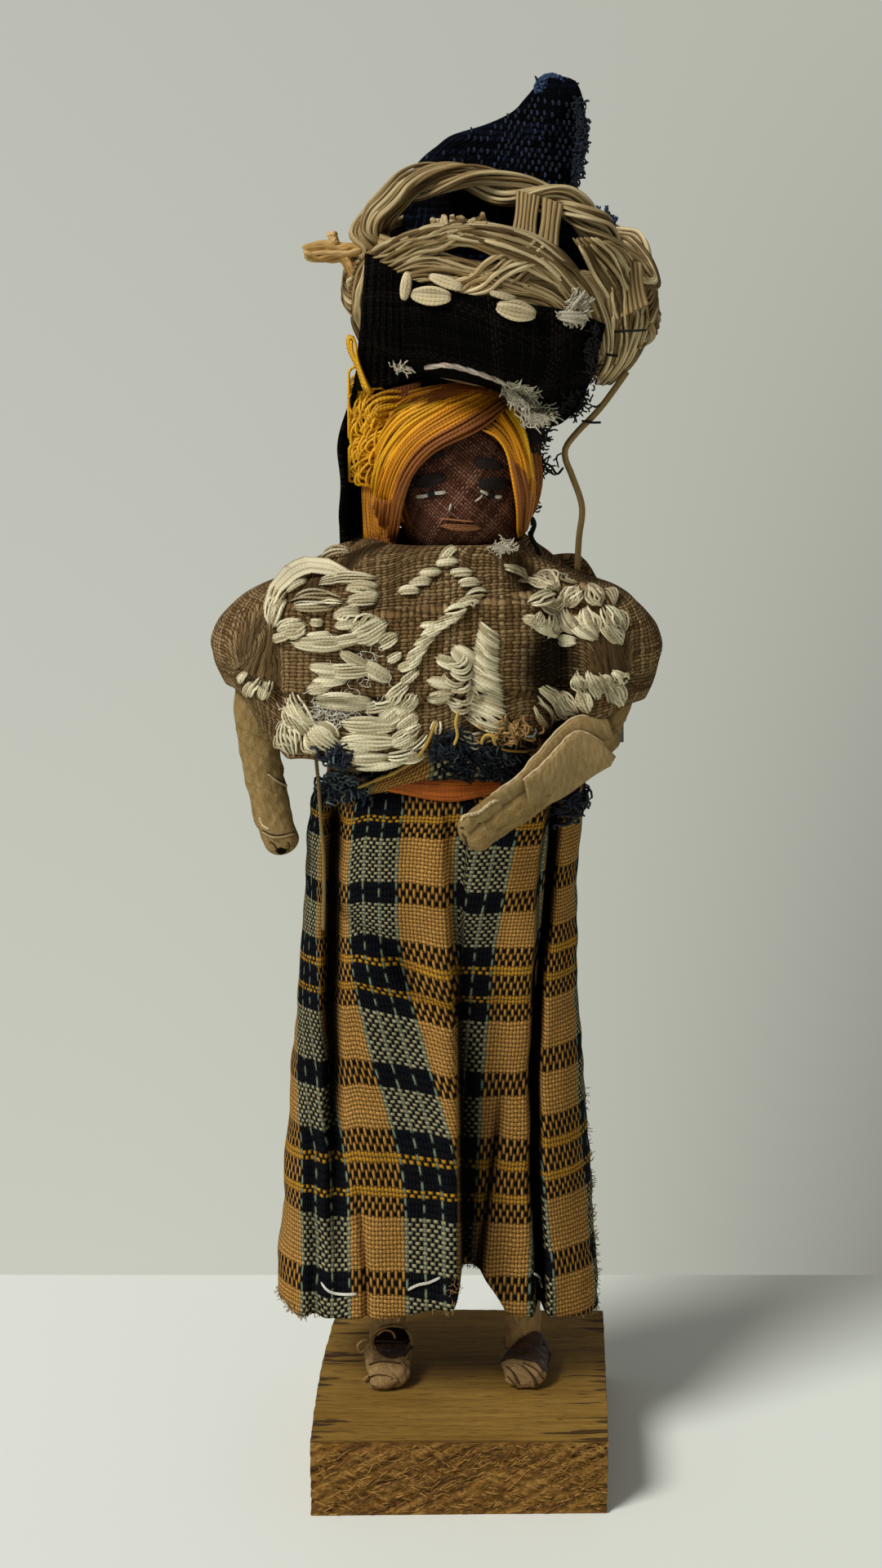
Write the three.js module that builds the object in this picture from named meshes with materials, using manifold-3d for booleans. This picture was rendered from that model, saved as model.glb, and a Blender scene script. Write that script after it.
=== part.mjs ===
// Cloth doll on a sawn wooden block, carrying a basket on its head.
// Millimetres, +Z up, the face looks along -Y, the doll's own right is at -X.
// The origin is the centre of the block's underside.

import * as THREE from 'three';
import { mergeVertices } from 'three/addons/utils/BufferGeometryUtils.js';
import Module from 'manifold-3d';

const wasm = await Module();
wasm.setup();

const { sin, cos, abs, sign, min, max, sqrt, exp, PI } = Math;
const RAD = PI / 180;
const V = (x, y, z) => new THREE.Vector3(x, y, z);

// Driving dimensions

const GAP = 0.3;                  // clear space between two pieces that touch in the real doll
const RUNNING_GAP = 0.3;          // clear space round a wire in its hole

const BLOCK_WIDTH = 49.1;
const BLOCK_DEPTH = 49;
const BLOCK_HEIGHT = 13.1;
const BLOCK_SKEW = 2.4;           // how far the back edge is sawn towards +X
const BLOCK_BULGE = 0.8;          // how far the rough right side swells
const BLOCK_FRONT_OVERHANG = 1;   // the doll stands this far behind the block's middle

const WIRE_DIAMETER = 1.6;
const WIRE_DEPTH_IN_BLOCK = 8;
const WIRE_DEPTH_IN_TORSO = 10;
const LEG_SPACING = 23.6;
const LEGS_X = -0.5;
const LEG_Y = 0.8;
const ANKLE_DIAMETER = 6.3;
const THIGH_DIAMETER = 7.4;
const FOOT_LENGTH = 12.6;
const FOOT_WIDTH = 7;
const FOOT_HEIGHT = 5.2;
const TOE_HEIGHT = 4.2;
const HEEL_OVERHANG = 0.65;       // how far the heel reaches behind the leg
const FOOT_SOCKET_DEPTH = 2.6;
const INSTEP_WRAP_THICKNESS = 0.8;
const INSTEP_WRAP_LENGTH = 5.4;

const HIP_HEIGHT = 90.9;          // from the block's top to the torso's underside
const TORSO_HEIGHT = 52.7;
const SASH_HEIGHT_ON_TORSO = 17.2;
const SHOULDER_DROP = 12.5;       // from the torso's top down to the shoulder wire
const HIP_HALF_WIDTH = 16.4;
const HIP_HALF_DEPTH = 6.2;
const CHEST_HALF_WIDTH = 19;
const CHEST_HALF_DEPTH = 10.6;
const NECK_HALF_WIDTH = 9;
const NECK_HALF_DEPTH = 6;
const BODY_X = -1.5;              // the waist sits a little to the doll's right
const CHEST_X = -3.7;

const SKIRT_THICKNESS = 1.2;
const SKIRT_HEM_CLEARANCE = 13.5; // from the block's top up to the hem at the sides
const SKIRT_FRONT_RISE = 2.6;
const SKIRT_HEM_HALF_WIDTH = 27.9;
const SKIRT_HEM_HALF_DEPTH = 15;
const SKIRT_HEM_X = -3.6;
const SKIRT_WAIST_DROP = 3.6;     // from the sash down to the widest place of the waist
const SKIRT_WAIST_HALF_WIDTH = 22.3;
const SKIRT_WAIST_HALF_DEPTH = 13.6;
const SKIRT_TOP_HEIGHT = 7.2;     // the cloth's raw top edge stands this far above the sash
const SKIRT_TOP_FLARE = 1.3;
const SASH_HALF_WIDTH = 19.4;     // the tied waist, measured on the skirt cloth under the sash
const SASH_HALF_DEPTH = 12;
const SASH_HEIGHT = 2.4;
const SASH_THICKNESS = 1.2;
const NOTCH_X = 4.3;
const NOTCH_HEIGHT = 10.5;
const NOTCH_HALF_WIDTH = 3.6;

const BLOUSE_THICKNESS = 1.1;
const BLOUSE_COLLAR_RISE = 0.9;   // the collar stands this far above the torso
const BLOUSE_NECK_HALF_WIDTH = 13.7;
const BLOUSE_NECK_HALF_DEPTH = 10.2;
const BLOUSE_HALF_WIDTH = 36.2;
const BLOUSE_HALF_DEPTH = 18.4;
const BLOUSE_TIP_DROP = 1.6;      // from the shoulder wire down to the sleeve's widest place
const SLEEVE_HEM_DROP = 7.6;
const BLOUSE_HEM_RIGHT_DROP = 18.6;
const BLOUSE_HEM_LEFT_DROP = 14.2;
const BLOUSE_HEM_OVER_ARM_DROP = 9.4;

const SLEEVE_ROOM = 7.1;          // from the top of each arm out to the tip of its sleeve
const SHOULDER_Y = -3;
const CROSSBAR_OVERHANG = 3.4;
const ARM_TOP_DIAMETER = 6.4;
const ARM_DIAMETER = 6.2;
const WRIST_DIAMETER = 5.6;
const ARM_LENGTH = 35;
const UPPER_ARM_TILT = 20;
const UPPER_ARM_LENGTH = 15;      // from the crossbar to the elbow's middle
const FOREARM_DIAMETER = 7.2;
const ELBOW_DIAMETER = 6.8;
const HAND_DIAMETER = 6.6;
const FOREARM_ACROSS = 23.2;      // from the elbow to the hand's end, across, forward and down
const FOREARM_FORWARD = 12.7;
const FOREARM_DROP = 14.1;
const FLAP_THICKNESS = 0.7;
const FLAP_HALF_WIDTH = 1.9;

const HEAD_X = 0.3;
const HEAD_Y = -1;
const HEAD_HALF_WIDTH = 11.2;
const HEAD_HALF_DEPTH = 11;
const HEAD_HALF_HEIGHT = 12.6;
const FACE_CLOTH_THICKNESS = 0.7;
const GATHER_RADIUS = 2.4;        // the opening left where the face cloth is gathered at the neck
const NECK_GAP = 0.5;
const HAIR_THICKNESS = 1.2;
const SWOOP_HALF_WIDTH = 4.2;
const SWOOP_HALF_THICKNESS = 1.3;
const TUFT_HALF_WIDTH = 3.2;
const TUFT_HALF_DEPTH = 4.6;
const TUFT_HALF_HEIGHT = 9;
const STITCH_THICKNESS = 0.45;

const PAD_THICKNESS = 1.8;        // of the folded cloth between the crown and the basket
const PAD_RADIUS = 8;
const PAD_X = 1.3;
const PAD_Y = 2;
const BASKET_X = 5;
const BASKET_Y = 2.2;
const BASKET_FORWARD_TILT = 10;
const BASKET_SIDE_TILT = 7;
const BASKET_HALF_WIDTH = 23.3;
const BASKET_HALF_DEPTH = 20.5;
const BASKET_HEIGHT = 20.4;
const BASKET_FOOT_RADIUS = 13;
const BASKET_MOUTH_RADIUS = 21;
const BASKET_WALL = 2;
const RIM_DIAMETER = 3.8;
const SLAT_THICKNESS = 1.1;
const BOW_LENGTH = 9.4;
const BOW_HALF_WIDTH = 2.2;

const BUNDLE_HALF_WIDTH = 14;
const BUNDLE_HALF_DEPTH = 8.5;
const BUNDLE_HEIGHT = 36.8;
const BUNDLE_FLOOR = 7.3;         // the bundle's underside, above the basket's underside

const HEADCLOTH_THICKNESS = 1.5;
const HEADCLOTH_MIN_RADIUS = 16.5;
const HEADCLOTH_SLACK = 0.75;     // the folded cloth doesn't hug the basket's wall everywhere
const DRAPE_THICKNESS = 1;
const DRAPE_X = -1.2;
const DRAPE_Y = 1;
const DRAPE_HALF_WIDTH = 18.2;
const DRAPE_HALF_DEPTH = 15.4;
const DRAPE_RISE = 1;             // from the blouse's collar up to the hanging cloth's lower edge

const RAFFIA_DIAMETER = 1;
const THREAD_DIAMETER = 0.6;

// Heights and places that follow from them

const TORSO_BOTTOM_Z = BLOCK_HEIGHT + HIP_HEIGHT;
const TORSO_TOP_Z = TORSO_BOTTOM_Z + TORSO_HEIGHT;
const SASH_Z = TORSO_BOTTOM_Z + SASH_HEIGHT_ON_TORSO;
const SHOULDER_Z = TORSO_TOP_Z - SHOULDER_DROP;
const SHOULDER_RIGHT_X = CHEST_X - (BLOUSE_HALF_WIDTH - SLEEVE_ROOM);
const SHOULDER_LEFT_X = CHEST_X + (BLOUSE_HALF_WIDTH - SLEEVE_ROOM);
const SKIRT_HEM_Z = BLOCK_HEIGHT + SKIRT_HEM_CLEARANCE;
const SKIRT_WAIST_Z = SASH_Z - SKIRT_WAIST_DROP;
const BLOUSE_NECK_Z = TORSO_TOP_Z + BLOUSE_COLLAR_RISE;
const HEAD_Z = TORSO_TOP_Z + NECK_GAP + HEAD_HALF_HEIGHT;
const CROWN_Z = HEAD_Z + HEAD_HALF_HEIGHT + GAP + HAIR_THICKNESS;
const BASKET_BOTTOM_Z = CROWN_Z + PAD_THICKNESS;

// Solids: closing, joining and cutting

const smooth = (x, low, high) => THREE.MathUtils.smoothstep(x, low, high);
const mix = THREE.MathUtils.lerp;
const superPower = (value, power) => sign(value) * abs(value) ** power;

function solidFrom(geometry) {
  const bare = geometry.clone();
  bare.deleteAttribute('normal');
  bare.deleteAttribute('uv');
  const merged = mergeVertices(bare, 1e-4);
  const vertProperties = new Float32Array(merged.attributes.position.array);
  const triVerts = new Uint32Array(merged.index.array);
  return new wasm.Manifold(new wasm.Mesh({ numProp: 3, vertProperties, triVerts }));
}

function geometryFrom(solid) {
  const mesh = solid.getMesh();
  const geometry = new THREE.BufferGeometry();
  geometry.setAttribute('position', new THREE.BufferAttribute(mesh.vertProperties, 3));
  geometry.setIndex(new THREE.BufferAttribute(mesh.triVerts, 1));
  geometry.computeVertexNormals();
  return geometry;
}

// A closed surface from points and triangles, with its faces turned outwards.
function closedGeometry(points, triangles) {
  let volume = 0;
  for (const [a, b, c] of triangles) {
    volume += points[a].dot(points[b].clone().cross(points[c]));
  }
  const index = triangles.flatMap(([a, b, c]) => (volume > 0 ? [a, b, c] : [a, c, b]));
  const geometry = new THREE.BufferGeometry();
  geometry.setAttribute('position', new THREE.Float32BufferAttribute(
    points.flatMap((p) => [p.x, p.y, p.z]), 3));
  geometry.setIndex(index);
  return geometry;
}

// Rings of equal length joined in a row, with a fan over each end.
function loft(rings) {
  const n = rings[0].length;
  const points = rings.flat();
  const triangles = [];
  for (let i = 0; i + 1 < rings.length; i += 1) {
    for (let j = 0; j < n; j += 1) {
      const k = (j + 1) % n;
      const a = i * n;
      const b = a + n;
      triangles.push([a + j, a + k, b + k], [a + j, b + k, b + j]);
    }
  }
  const last = (rings.length - 1) * n;
  const fan = (start, flip) => {
    const middle = V(0, 0, 0);
    for (let j = 0; j < n; j += 1) middle.addScaledVector(points[start + j], 1 / n);
    const centre = points.push(middle) - 1;
    for (let j = 0; j < n; j += 1) {
      const k = (j + 1) % n;
      triangles.push(flip ? [centre, start + k, start + j] : [centre, start + j, start + k]);
    }
  };
  fan(0, true);
  fan(last, false);
  return closedGeometry(points, triangles);
}

// Closed profiles set round a closed path, as a hoop of cloth or a tube ring is.
function hoop(profiles) {
  const columns = profiles.length;
  const n = profiles[0].length;
  const triangles = [];
  for (let i = 0; i < columns; i += 1) {
    const a = i * n;
    const b = ((i + 1) % columns) * n;
    for (let j = 0; j < n; j += 1) {
      const k = (j + 1) % n;
      triangles.push([a + j, b + j, b + k], [a + j, b + k, a + k]);
    }
  }
  return closedGeometry(profiles.flat(), triangles);
}

function ellipseRing(centre, across, up, halfAcross, halfUp, sides) {
  return Array.from({ length: sides }, (_, i) => {
    const t = (2 * PI * i) / sides;
    return centre.clone()
      .addScaledVector(across, halfAcross * cos(t))
      .addScaledVector(up, halfUp * sin(t));
  });
}

// A limb along a smooth path, with its own radius at each given point and rounded ends.
function limb(points, radii, sides = 12, steps = 10, roundEnds = [true, true]) {
  const curve = new THREE.CatmullRomCurve3(points);
  const rings = [];
  const addRing = (t, along, share) => {
    const place = t * (radii.length - 1);
    const i = min(radii.length - 2, Math.floor(place));
    const radius = mix(radii[i], radii[i + 1], place - i);
    const tangent = curve.getTangent(t).normalize();
    const across = V(0, 1, 0).cross(tangent).normalize();
    const up = tangent.clone().cross(across);
    const centre = curve.getPoint(t).addScaledVector(tangent, along * radius);
    rings.push(ellipseRing(centre, across, up, radius * share, radius * share, sides));
  };
  const domes = [75, 50, 25];
  if (roundEnds[0]) domes.forEach((a) => addRing(0, -sin(a * RAD), cos(a * RAD)));
  for (let i = 0; i <= steps; i += 1) addRing(i / steps, 0, 1);
  if (roundEnds[1]) domes.reverse().forEach((a) => addRing(1, sin(a * RAD), cos(a * RAD)));
  return loft(rings);
}

// A flat band of cloth or thread along a path, its flat side facing away from a middle point.
function band(points, middle, halfWidth, halfThickness, steps = 10, sides = 8) {
  const curve = new THREE.CatmullRomCurve3(points);
  const rings = [];
  for (let i = 0; i <= steps; i += 1) {
    const t = i / steps;
    const centre = curve.getPoint(t);
    const tangent = curve.getTangent(t).normalize();
    const outward = centre.clone().sub(middle).normalize();
    const across = tangent.clone().cross(outward).normalize();
    const up = across.clone().cross(tangent).normalize();
    const taper = typeof halfWidth === 'function' ? halfWidth(t) : halfWidth;
    rings.push(ellipseRing(centre, across, up, taper, halfThickness, sides));
  }
  return loft(rings);
}

function rod(from, to, diameter, sides = 12) {
  const length = from.distanceTo(to);
  const geometry = new THREE.CylinderGeometry(diameter / 2, diameter / 2, length, sides);
  const turn = new THREE.Quaternion().setFromUnitVectors(
    V(0, 1, 0), to.clone().sub(from).normalize());
  geometry.applyQuaternion(turn);
  const middle = from.clone().add(to).multiplyScalar(0.5);
  return geometry.translate(middle.x, middle.y, middle.z);
}

function cordGeometry(points, diameter, steps) {
  const sides = 8;
  const section = new THREE.Shape(Array.from({ length: sides }, (_, i) => {
    const t = (2 * PI * i) / sides;
    return new THREE.Vector2((diameter / 2) * cos(t), (diameter / 2) * sin(t));
  }));
  const extrudePath = new THREE.CatmullRomCurve3(points);
  return new THREE.ExtrudeGeometry(section, { extrudePath, steps });
}

// The value of a row of [place, value, ...] stops at a place between them.
function between(stops, place) {
  let i = 0;
  while (i < stops.length - 2 && place > stops[i + 1][0]) i += 1;
  const [from, to] = [stops[i], stops[i + 1]];
  const share = THREE.MathUtils.clamp((place - from[0]) / (to[0] - from[0]), 0, 1);
  return from.slice(1).map((value, k) => mix(value, to[k + 1], share));
}

const doll = new THREE.Group();

function add(name, shape, color, roughness) {
  const geometry = shape.isBufferGeometry ? shape : geometryFrom(shape);
  const material = new THREE.MeshStandardMaterial({ color, roughness, metalness: 0 });
  const mesh = new THREE.Mesh(geometry, material);
  mesh.name = name;
  doll.add(mesh);
  return mesh;
}

const PAPER = 0x9b7a52;
const BROWN_WRAP = 0x4a2f28;
const WOOD = 0x8a6238;
const WIRE = 0x6b6762;
const RAFFIA = 0xa88a5e;
const BLACK_CLOTH = 0x14110f;
const GOLD = 0xd9951a;
const IVORY = 0xd8ccb0;

// The block, with a blind hole for each leg wire

const holeDiameter = WIRE_DIAMETER + 2 * RUNNING_GAP;
const legs = { right: LEGS_X - LEG_SPACING / 2, left: LEGS_X + LEG_SPACING / 2 };

function blockGeometry() {
  const front = -BLOCK_DEPTH / 2 - BLOCK_FRONT_OVERHANG;
  const back = front + BLOCK_DEPTH;
  const half = BLOCK_WIDTH / 2;
  const outline = new THREE.Shape();
  outline.moveTo(-half, front);
  outline.lineTo(half, front + BLOCK_BULGE);
  outline.lineTo(half + BLOCK_SKEW, back - BLOCK_BULGE);
  outline.lineTo(-half + BLOCK_SKEW, back);
  outline.quadraticCurveTo(-half - BLOCK_BULGE, (front + back) / 2, -half, front);
  return new THREE.ExtrudeGeometry(outline, {
    depth: BLOCK_HEIGHT, bevelEnabled: false, curveSegments: 6,
  });
}

const wireBottomZ = BLOCK_HEIGHT - WIRE_DEPTH_IN_BLOCK;
let block = solidFrom(blockGeometry());
for (const x of Object.values(legs)) {
  const bottom = V(x, LEG_Y, wireBottomZ - GAP);
  const top = V(x, LEG_Y, BLOCK_HEIGHT + 1);
  block = block.subtract(solidFrom(rod(bottom, top, holeDiameter)));
}
add('base_block', block, WOOD, 0.75);

// Feet, legs and the wires through them

const heelY = LEG_Y + ANKLE_DIAMETER / 2 + HEEL_OVERHANG;
const footSole = BLOCK_HEIGHT + GAP;
const footTop = footSole + FOOT_HEIGHT;
const legBottom = footTop - FOOT_SOCKET_DEPTH;
const legTop = TORSO_BOTTOM_Z - GAP;

// A foot is a flat-soled roll of paper, lower and rounder at the toe.
function footGeometry(x, grow = 0, from = 0, to = 1) {
  const stops = [
    [0, 0.45, 0.7], [0.12, 0.9, 1], [0.45, 1, 1], [0.75, 0.94, 0.9], [0.93, 0.8, 0.8], [1, 0.5, 0.55],
  ];
  const rings = [];
  const steps = 8;
  const sides = 12;
  for (let i = 0; i <= steps; i += 1) {
    const t = mix(from, to, i / steps);
    const [wide, high] = between(stops, t);
    const y = heelY - FOOT_LENGTH * t;
    const halfWidth = (FOOT_WIDTH / 2) * wide + grow;
    const height = mix(FOOT_HEIGHT, TOE_HEIGHT, t) * high;
    rings.push(Array.from({ length: sides }, (_, j) => {
      const a = (2 * PI * j) / sides;
      const z = footSole + height / 2 + (height / 2 + grow) * superPower(sin(a), 0.75);
      return V(x + halfWidth * superPower(cos(a), 0.75), y, z);
    }));
  }
  return loft(rings);
}

// A tube of wrapped paper round the leg's wire.
function legGeometry(x) {
  const profile = [
    [holeDiameter / 2, legBottom],
    [ANKLE_DIAMETER / 2, legBottom],
    [ANKLE_DIAMETER / 2, footTop + ANKLE_DIAMETER],
    [THIGH_DIAMETER / 2, legTop - 2 * THIGH_DIAMETER],
    [THIGH_DIAMETER / 2 - GAP, legTop],
    [holeDiameter / 2, legTop],
    [holeDiameter / 2, legBottom],
  ].map(([r, z]) => new THREE.Vector2(r, z));
  return new THREE.LatheGeometry(profile, 14).rotateX(PI / 2).translate(x, LEG_Y, 0);
}

for (const [side, x] of Object.entries(legs)) {
  const wireTop = V(x, LEG_Y, TORSO_BOTTOM_Z + WIRE_DEPTH_IN_TORSO);
  add(`leg_wire_${side}`, rod(V(x, LEG_Y, wireBottomZ), wireTop, WIRE_DIAMETER), WIRE, 0.45);
  const socketTop = V(x, LEG_Y, footTop + 1);
  const socket = rod(V(x, LEG_Y, legBottom - GAP), socketTop, ANKLE_DIAMETER + 2 * GAP, 16);
  const foot = solidFrom(footGeometry(x))
    .subtract(solidFrom(socket))
    .subtract(solidFrom(rod(V(x, LEG_Y, 0), socketTop, holeDiameter)));
  add(`foot_${side}`, foot, PAPER, 0.85);
  add(`leg_${side}`, legGeometry(x), PAPER, 0.85);
}

// A brown strip folded over the left instep, in front of the ankle.
function instepWrap() {
  const back = (heelY - LEG_Y + ANKLE_DIAMETER / 2 + GAP) / FOOT_LENGTH;
  const front = back + INSTEP_WRAP_LENGTH / FOOT_LENGTH;
  const outer = solidFrom(footGeometry(legs.left, GAP + INSTEP_WRAP_THICKNESS, back, front));
  const inner = solidFrom(footGeometry(legs.left, GAP, back - 0.1, front + 0.1));
  const ground = new THREE.BoxGeometry(FOOT_WIDTH * 2, FOOT_LENGTH * 3, FOOT_HEIGHT)
    .translate(legs.left, 0, footSole + FOOT_HEIGHT * 0.3 - FOOT_HEIGHT / 2);
  return outer.subtract(inner).subtract(solidFrom(ground));
}
add('instep_wrap_left', instepWrap(), BROWN_WRAP, 0.9);

// The clothes' section is a rounded box round the body.
const CLOTHES_POWER = 0.92;

function sectionPoint(centreX, halfWidth, halfDepth, angle, z, power = 1) {
  const x = centreX + halfWidth * superPower(cos(angle), power);
  return V(x, halfDepth * superPower(sin(angle), power), z);
}

// Stuffed torso, with the wires of the legs, the arms and the neck run into it

const underSash = SKIRT_THICKNESS + GAP;
const torsoLevels = [
  [TORSO_BOTTOM_Z, HIP_HALF_WIDTH, HIP_HALF_DEPTH, LEGS_X],
  [SASH_Z - 9, HIP_HALF_WIDTH, HIP_HALF_DEPTH + 1.6, BODY_X],
  [SASH_Z - 1.5, SASH_HALF_WIDTH - underSash, SASH_HALF_DEPTH - underSash, BODY_X],
  [SASH_Z + 1.5, SASH_HALF_WIDTH - underSash, SASH_HALF_DEPTH - underSash, BODY_X],
  [SHOULDER_Z - 12, CHEST_HALF_WIDTH - 1.5, CHEST_HALF_DEPTH - 0.4, mix(BODY_X, CHEST_X, 0.5)],
  [SHOULDER_Z - 4, CHEST_HALF_WIDTH, CHEST_HALF_DEPTH, CHEST_X],
  [SHOULDER_Z + 3.5, CHEST_HALF_WIDTH - 2, CHEST_HALF_DEPTH - 1, CHEST_X],
  [TORSO_TOP_Z - 2.6, NECK_HALF_WIDTH + 2.6, NECK_HALF_DEPTH + 1.6, CHEST_X],
  [TORSO_TOP_Z, NECK_HALF_WIDTH, NECK_HALF_DEPTH, CHEST_X],
];
const torsoRings = torsoLevels.map(([z, halfWidth, halfDepth, x]) => Array.from(
  { length: 22 }, (_, i) => sectionPoint(x, halfWidth, halfDepth, (2 * PI * i) / 22, z, CLOTHES_POWER)));

const crossbarFrom = V(SHOULDER_RIGHT_X - CROSSBAR_OVERHANG, SHOULDER_Y, SHOULDER_Z);
const crossbarTo = V(SHOULDER_LEFT_X + CROSSBAR_OVERHANG, SHOULDER_Y, SHOULDER_Z);
const crossbarHole = solidFrom(rod(
  crossbarFrom.clone().add(V(-5, 0, 0)), crossbarTo.clone().add(V(5, 0, 0)), holeDiameter));

const neckWireFrom = V(HEAD_X, HEAD_Y, TORSO_TOP_Z - WIRE_DEPTH_IN_TORSO * 0.8);
const neckWireTo = V(HEAD_X, HEAD_Y, HEAD_Z);
const neckBore = solidFrom(rod(
  neckWireFrom.clone().add(V(0, 0, -GAP)), neckWireTo.clone().add(V(0, 0, GAP)), holeDiameter));

let torso = solidFrom(loft(torsoRings)).subtract(crossbarHole).subtract(neckBore);
for (const x of Object.values(legs)) {
  const bottom = V(x, LEG_Y, TORSO_BOTTOM_Z - 1);
  const top = V(x, LEG_Y, TORSO_BOTTOM_Z + WIRE_DEPTH_IN_TORSO + GAP);
  torso = torso.subtract(solidFrom(rod(bottom, top, holeDiameter)));
}
add('torso', torso, 0xb7a88a, 0.9);
add('shoulder_wire', rod(crossbarFrom, crossbarTo, WIRE_DIAMETER), WIRE, 0.45);
add('neck_wire', rod(neckWireFrom, neckWireTo, WIRE_DIAMETER), WIRE, 0.45);

// Skirt: one cloth wrapped round, with pressed-in folds that drift towards the front as they fall

const SKIRT_COLUMNS = 44;
// Each fold: angle at the waist, angle at the hem, depth, half width in degrees, lowest height.
const skirtFolds = [
  { waist: -27, hem: -50, depth: 3.4, spread: 6, until: SKIRT_HEM_Z },
  { waist: -91, hem: -80, depth: 2, spread: 6, until: SKIRT_HEM_Z },
  { waist: -152, hem: -132, depth: 3, spread: 7, until: mix(SKIRT_HEM_Z, SKIRT_WAIST_Z, 0.5) },
  { waist: 40, hem: 48, depth: 2.2, spread: 8, until: SKIRT_HEM_Z },
  { waist: 92, hem: 90, depth: 2.2, spread: 8, until: SKIRT_HEM_Z },
  { waist: 140, hem: 133, depth: 2.2, spread: 8, until: SKIRT_HEM_Z },
];
// From hem to waist: how far up, then how far the width, depth and middle have changed.
const skirtFall = [
  [0, 0, 0, 0], [0.39, 0.45, 0.15, 0], [0.76, 0.93, 0.65, 0.2], [0.95, 0.98, 0.86, 0.67], [1, 1, 1, 1],
];
const skirtShape = [
  ...skirtFall.map(([up, width, depth, middle]) => [
    mix(SKIRT_HEM_Z, SKIRT_WAIST_Z, up),
    mix(SKIRT_HEM_HALF_WIDTH, SKIRT_WAIST_HALF_WIDTH, width),
    mix(SKIRT_HEM_HALF_DEPTH, SKIRT_WAIST_HALF_DEPTH, depth),
    mix(SKIRT_HEM_X, BODY_X, middle),
  ]),
  [SASH_Z - SASH_HEIGHT / 2, SASH_HALF_WIDTH, SASH_HALF_DEPTH, BODY_X],
  [SASH_Z + SASH_HEIGHT / 2, SASH_HALF_WIDTH, SASH_HALF_DEPTH, BODY_X],
  [SASH_Z + SKIRT_TOP_HEIGHT, SASH_HALF_WIDTH + SKIRT_TOP_FLARE, SASH_HALF_DEPTH + SKIRT_TOP_FLARE, BODY_X],
];

function foldDepth(angle, z) {
  const fall = THREE.MathUtils.clamp((SKIRT_WAIST_Z - z) / (SKIRT_WAIST_Z - SKIRT_HEM_Z), 0, 1);
  const atWaist = smooth(SKIRT_WAIST_Z - z, -1, 9);
  return skirtFolds.reduce((sum, fold) => {
    const centre = mix(fold.waist, fold.hem, fall) * RAD;
    const turn = abs(((angle - centre + 3 * PI) % (2 * PI)) - PI);
    const ends = smooth(z, fold.until - 12, fold.until + 12);
    const fade = fold.until > SKIRT_HEM_Z ? ends : 1;
    return sum + fold.depth * atWaist * fade * exp(-((turn / (fold.spread * RAD)) ** 2));
  }, 0);
}

function skirtPoint(angle, z, inset) {
  const [halfWidth, halfDepth, x] = between(skirtShape, z);
  const inwards = foldDepth(angle, z) + inset;
  return sectionPoint(x, halfWidth - inwards, halfDepth - inwards, angle, z, CLOTHES_POWER);
}

function skirtHem(angle) {
  const front = max(0, -sin(angle));
  const x = SKIRT_HEM_X + SKIRT_HEM_HALF_WIDTH * cos(angle);
  const notch = front > 0 ? NOTCH_HEIGHT * exp(-(((x - NOTCH_X) / NOTCH_HALF_WIDTH) ** 2)) : 0;
  return SKIRT_HEM_Z + SKIRT_FRONT_RISE * front ** 2 + notch;
}

const skirtHeights = [0, 0.1, 0.24, 0.4, 0.56, 0.72, 0.86, 1];
const aboveWaist = skirtShape.slice(5).map(([z]) => z);

function skirtGeometry() {
  return hoop(Array.from({ length: SKIRT_COLUMNS }, (_, i) => {
    const angle = (2 * PI * i) / SKIRT_COLUMNS;
    const hem = skirtHem(angle);
    const heights = [...skirtHeights.map((t) => mix(hem, SKIRT_WAIST_Z, t)), ...aboveWaist];
    const outside = heights.map((z) => skirtPoint(angle, z, 0));
    const inside = heights.map((z) => skirtPoint(angle, z, SKIRT_THICKNESS)).reverse();
    return [...outside, ...inside];
  }));
}
add('skirt', skirtGeometry(), 0x8a6a3c, 0.9);

// Floss sash tied round the skirt's waist

function sashGeometry() {
  const columns = 32;
  return hoop(Array.from({ length: columns }, (_, i) => {
    const angle = (2 * PI * i) / columns;
    const corner = (out, up) => sectionPoint(
      BODY_X, SASH_HALF_WIDTH + out, SASH_HALF_DEPTH + out, angle, SASH_Z + up, CLOTHES_POWER);
    const half = SASH_HEIGHT / 2 - GAP;
    const out = GAP + SASH_THICKNESS;
    return [
      corner(GAP, -half), corner(out - 0.3, -half), corner(out, 0),
      corner(out - 0.3, half), corner(GAP, half),
    ];
  }));
}
add('waist_sash', sashGeometry(), 0xc4701c, 0.7);

// Arms: wrapped wires that hang from the shoulder wire and bend forward

const shoulderRight = V(SHOULDER_RIGHT_X, SHOULDER_Y, SHOULDER_Z);
const shoulderLeft = V(SHOULDER_LEFT_X, SHOULDER_Y, SHOULDER_Z);

const armRight = limb([
  shoulderRight,
  shoulderRight.clone().add(V(-0.4, -0.4, -0.23 * ARM_LENGTH)),
  shoulderRight.clone().add(V(0, -0.9, -0.47 * ARM_LENGTH)),
  shoulderRight.clone().add(V(2.6, -1.3, -0.87 * ARM_LENGTH)),
  shoulderRight.clone().add(V(3.7, -1.5, -ARM_LENGTH)),
], [ARM_TOP_DIAMETER, ARM_DIAMETER, ARM_DIAMETER, WRIST_DIAMETER, WRIST_DIAMETER].map((d) => d / 2));
add('arm_right', solidFrom(armRight).subtract(crossbarHole), PAPER, 0.85);

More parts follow.
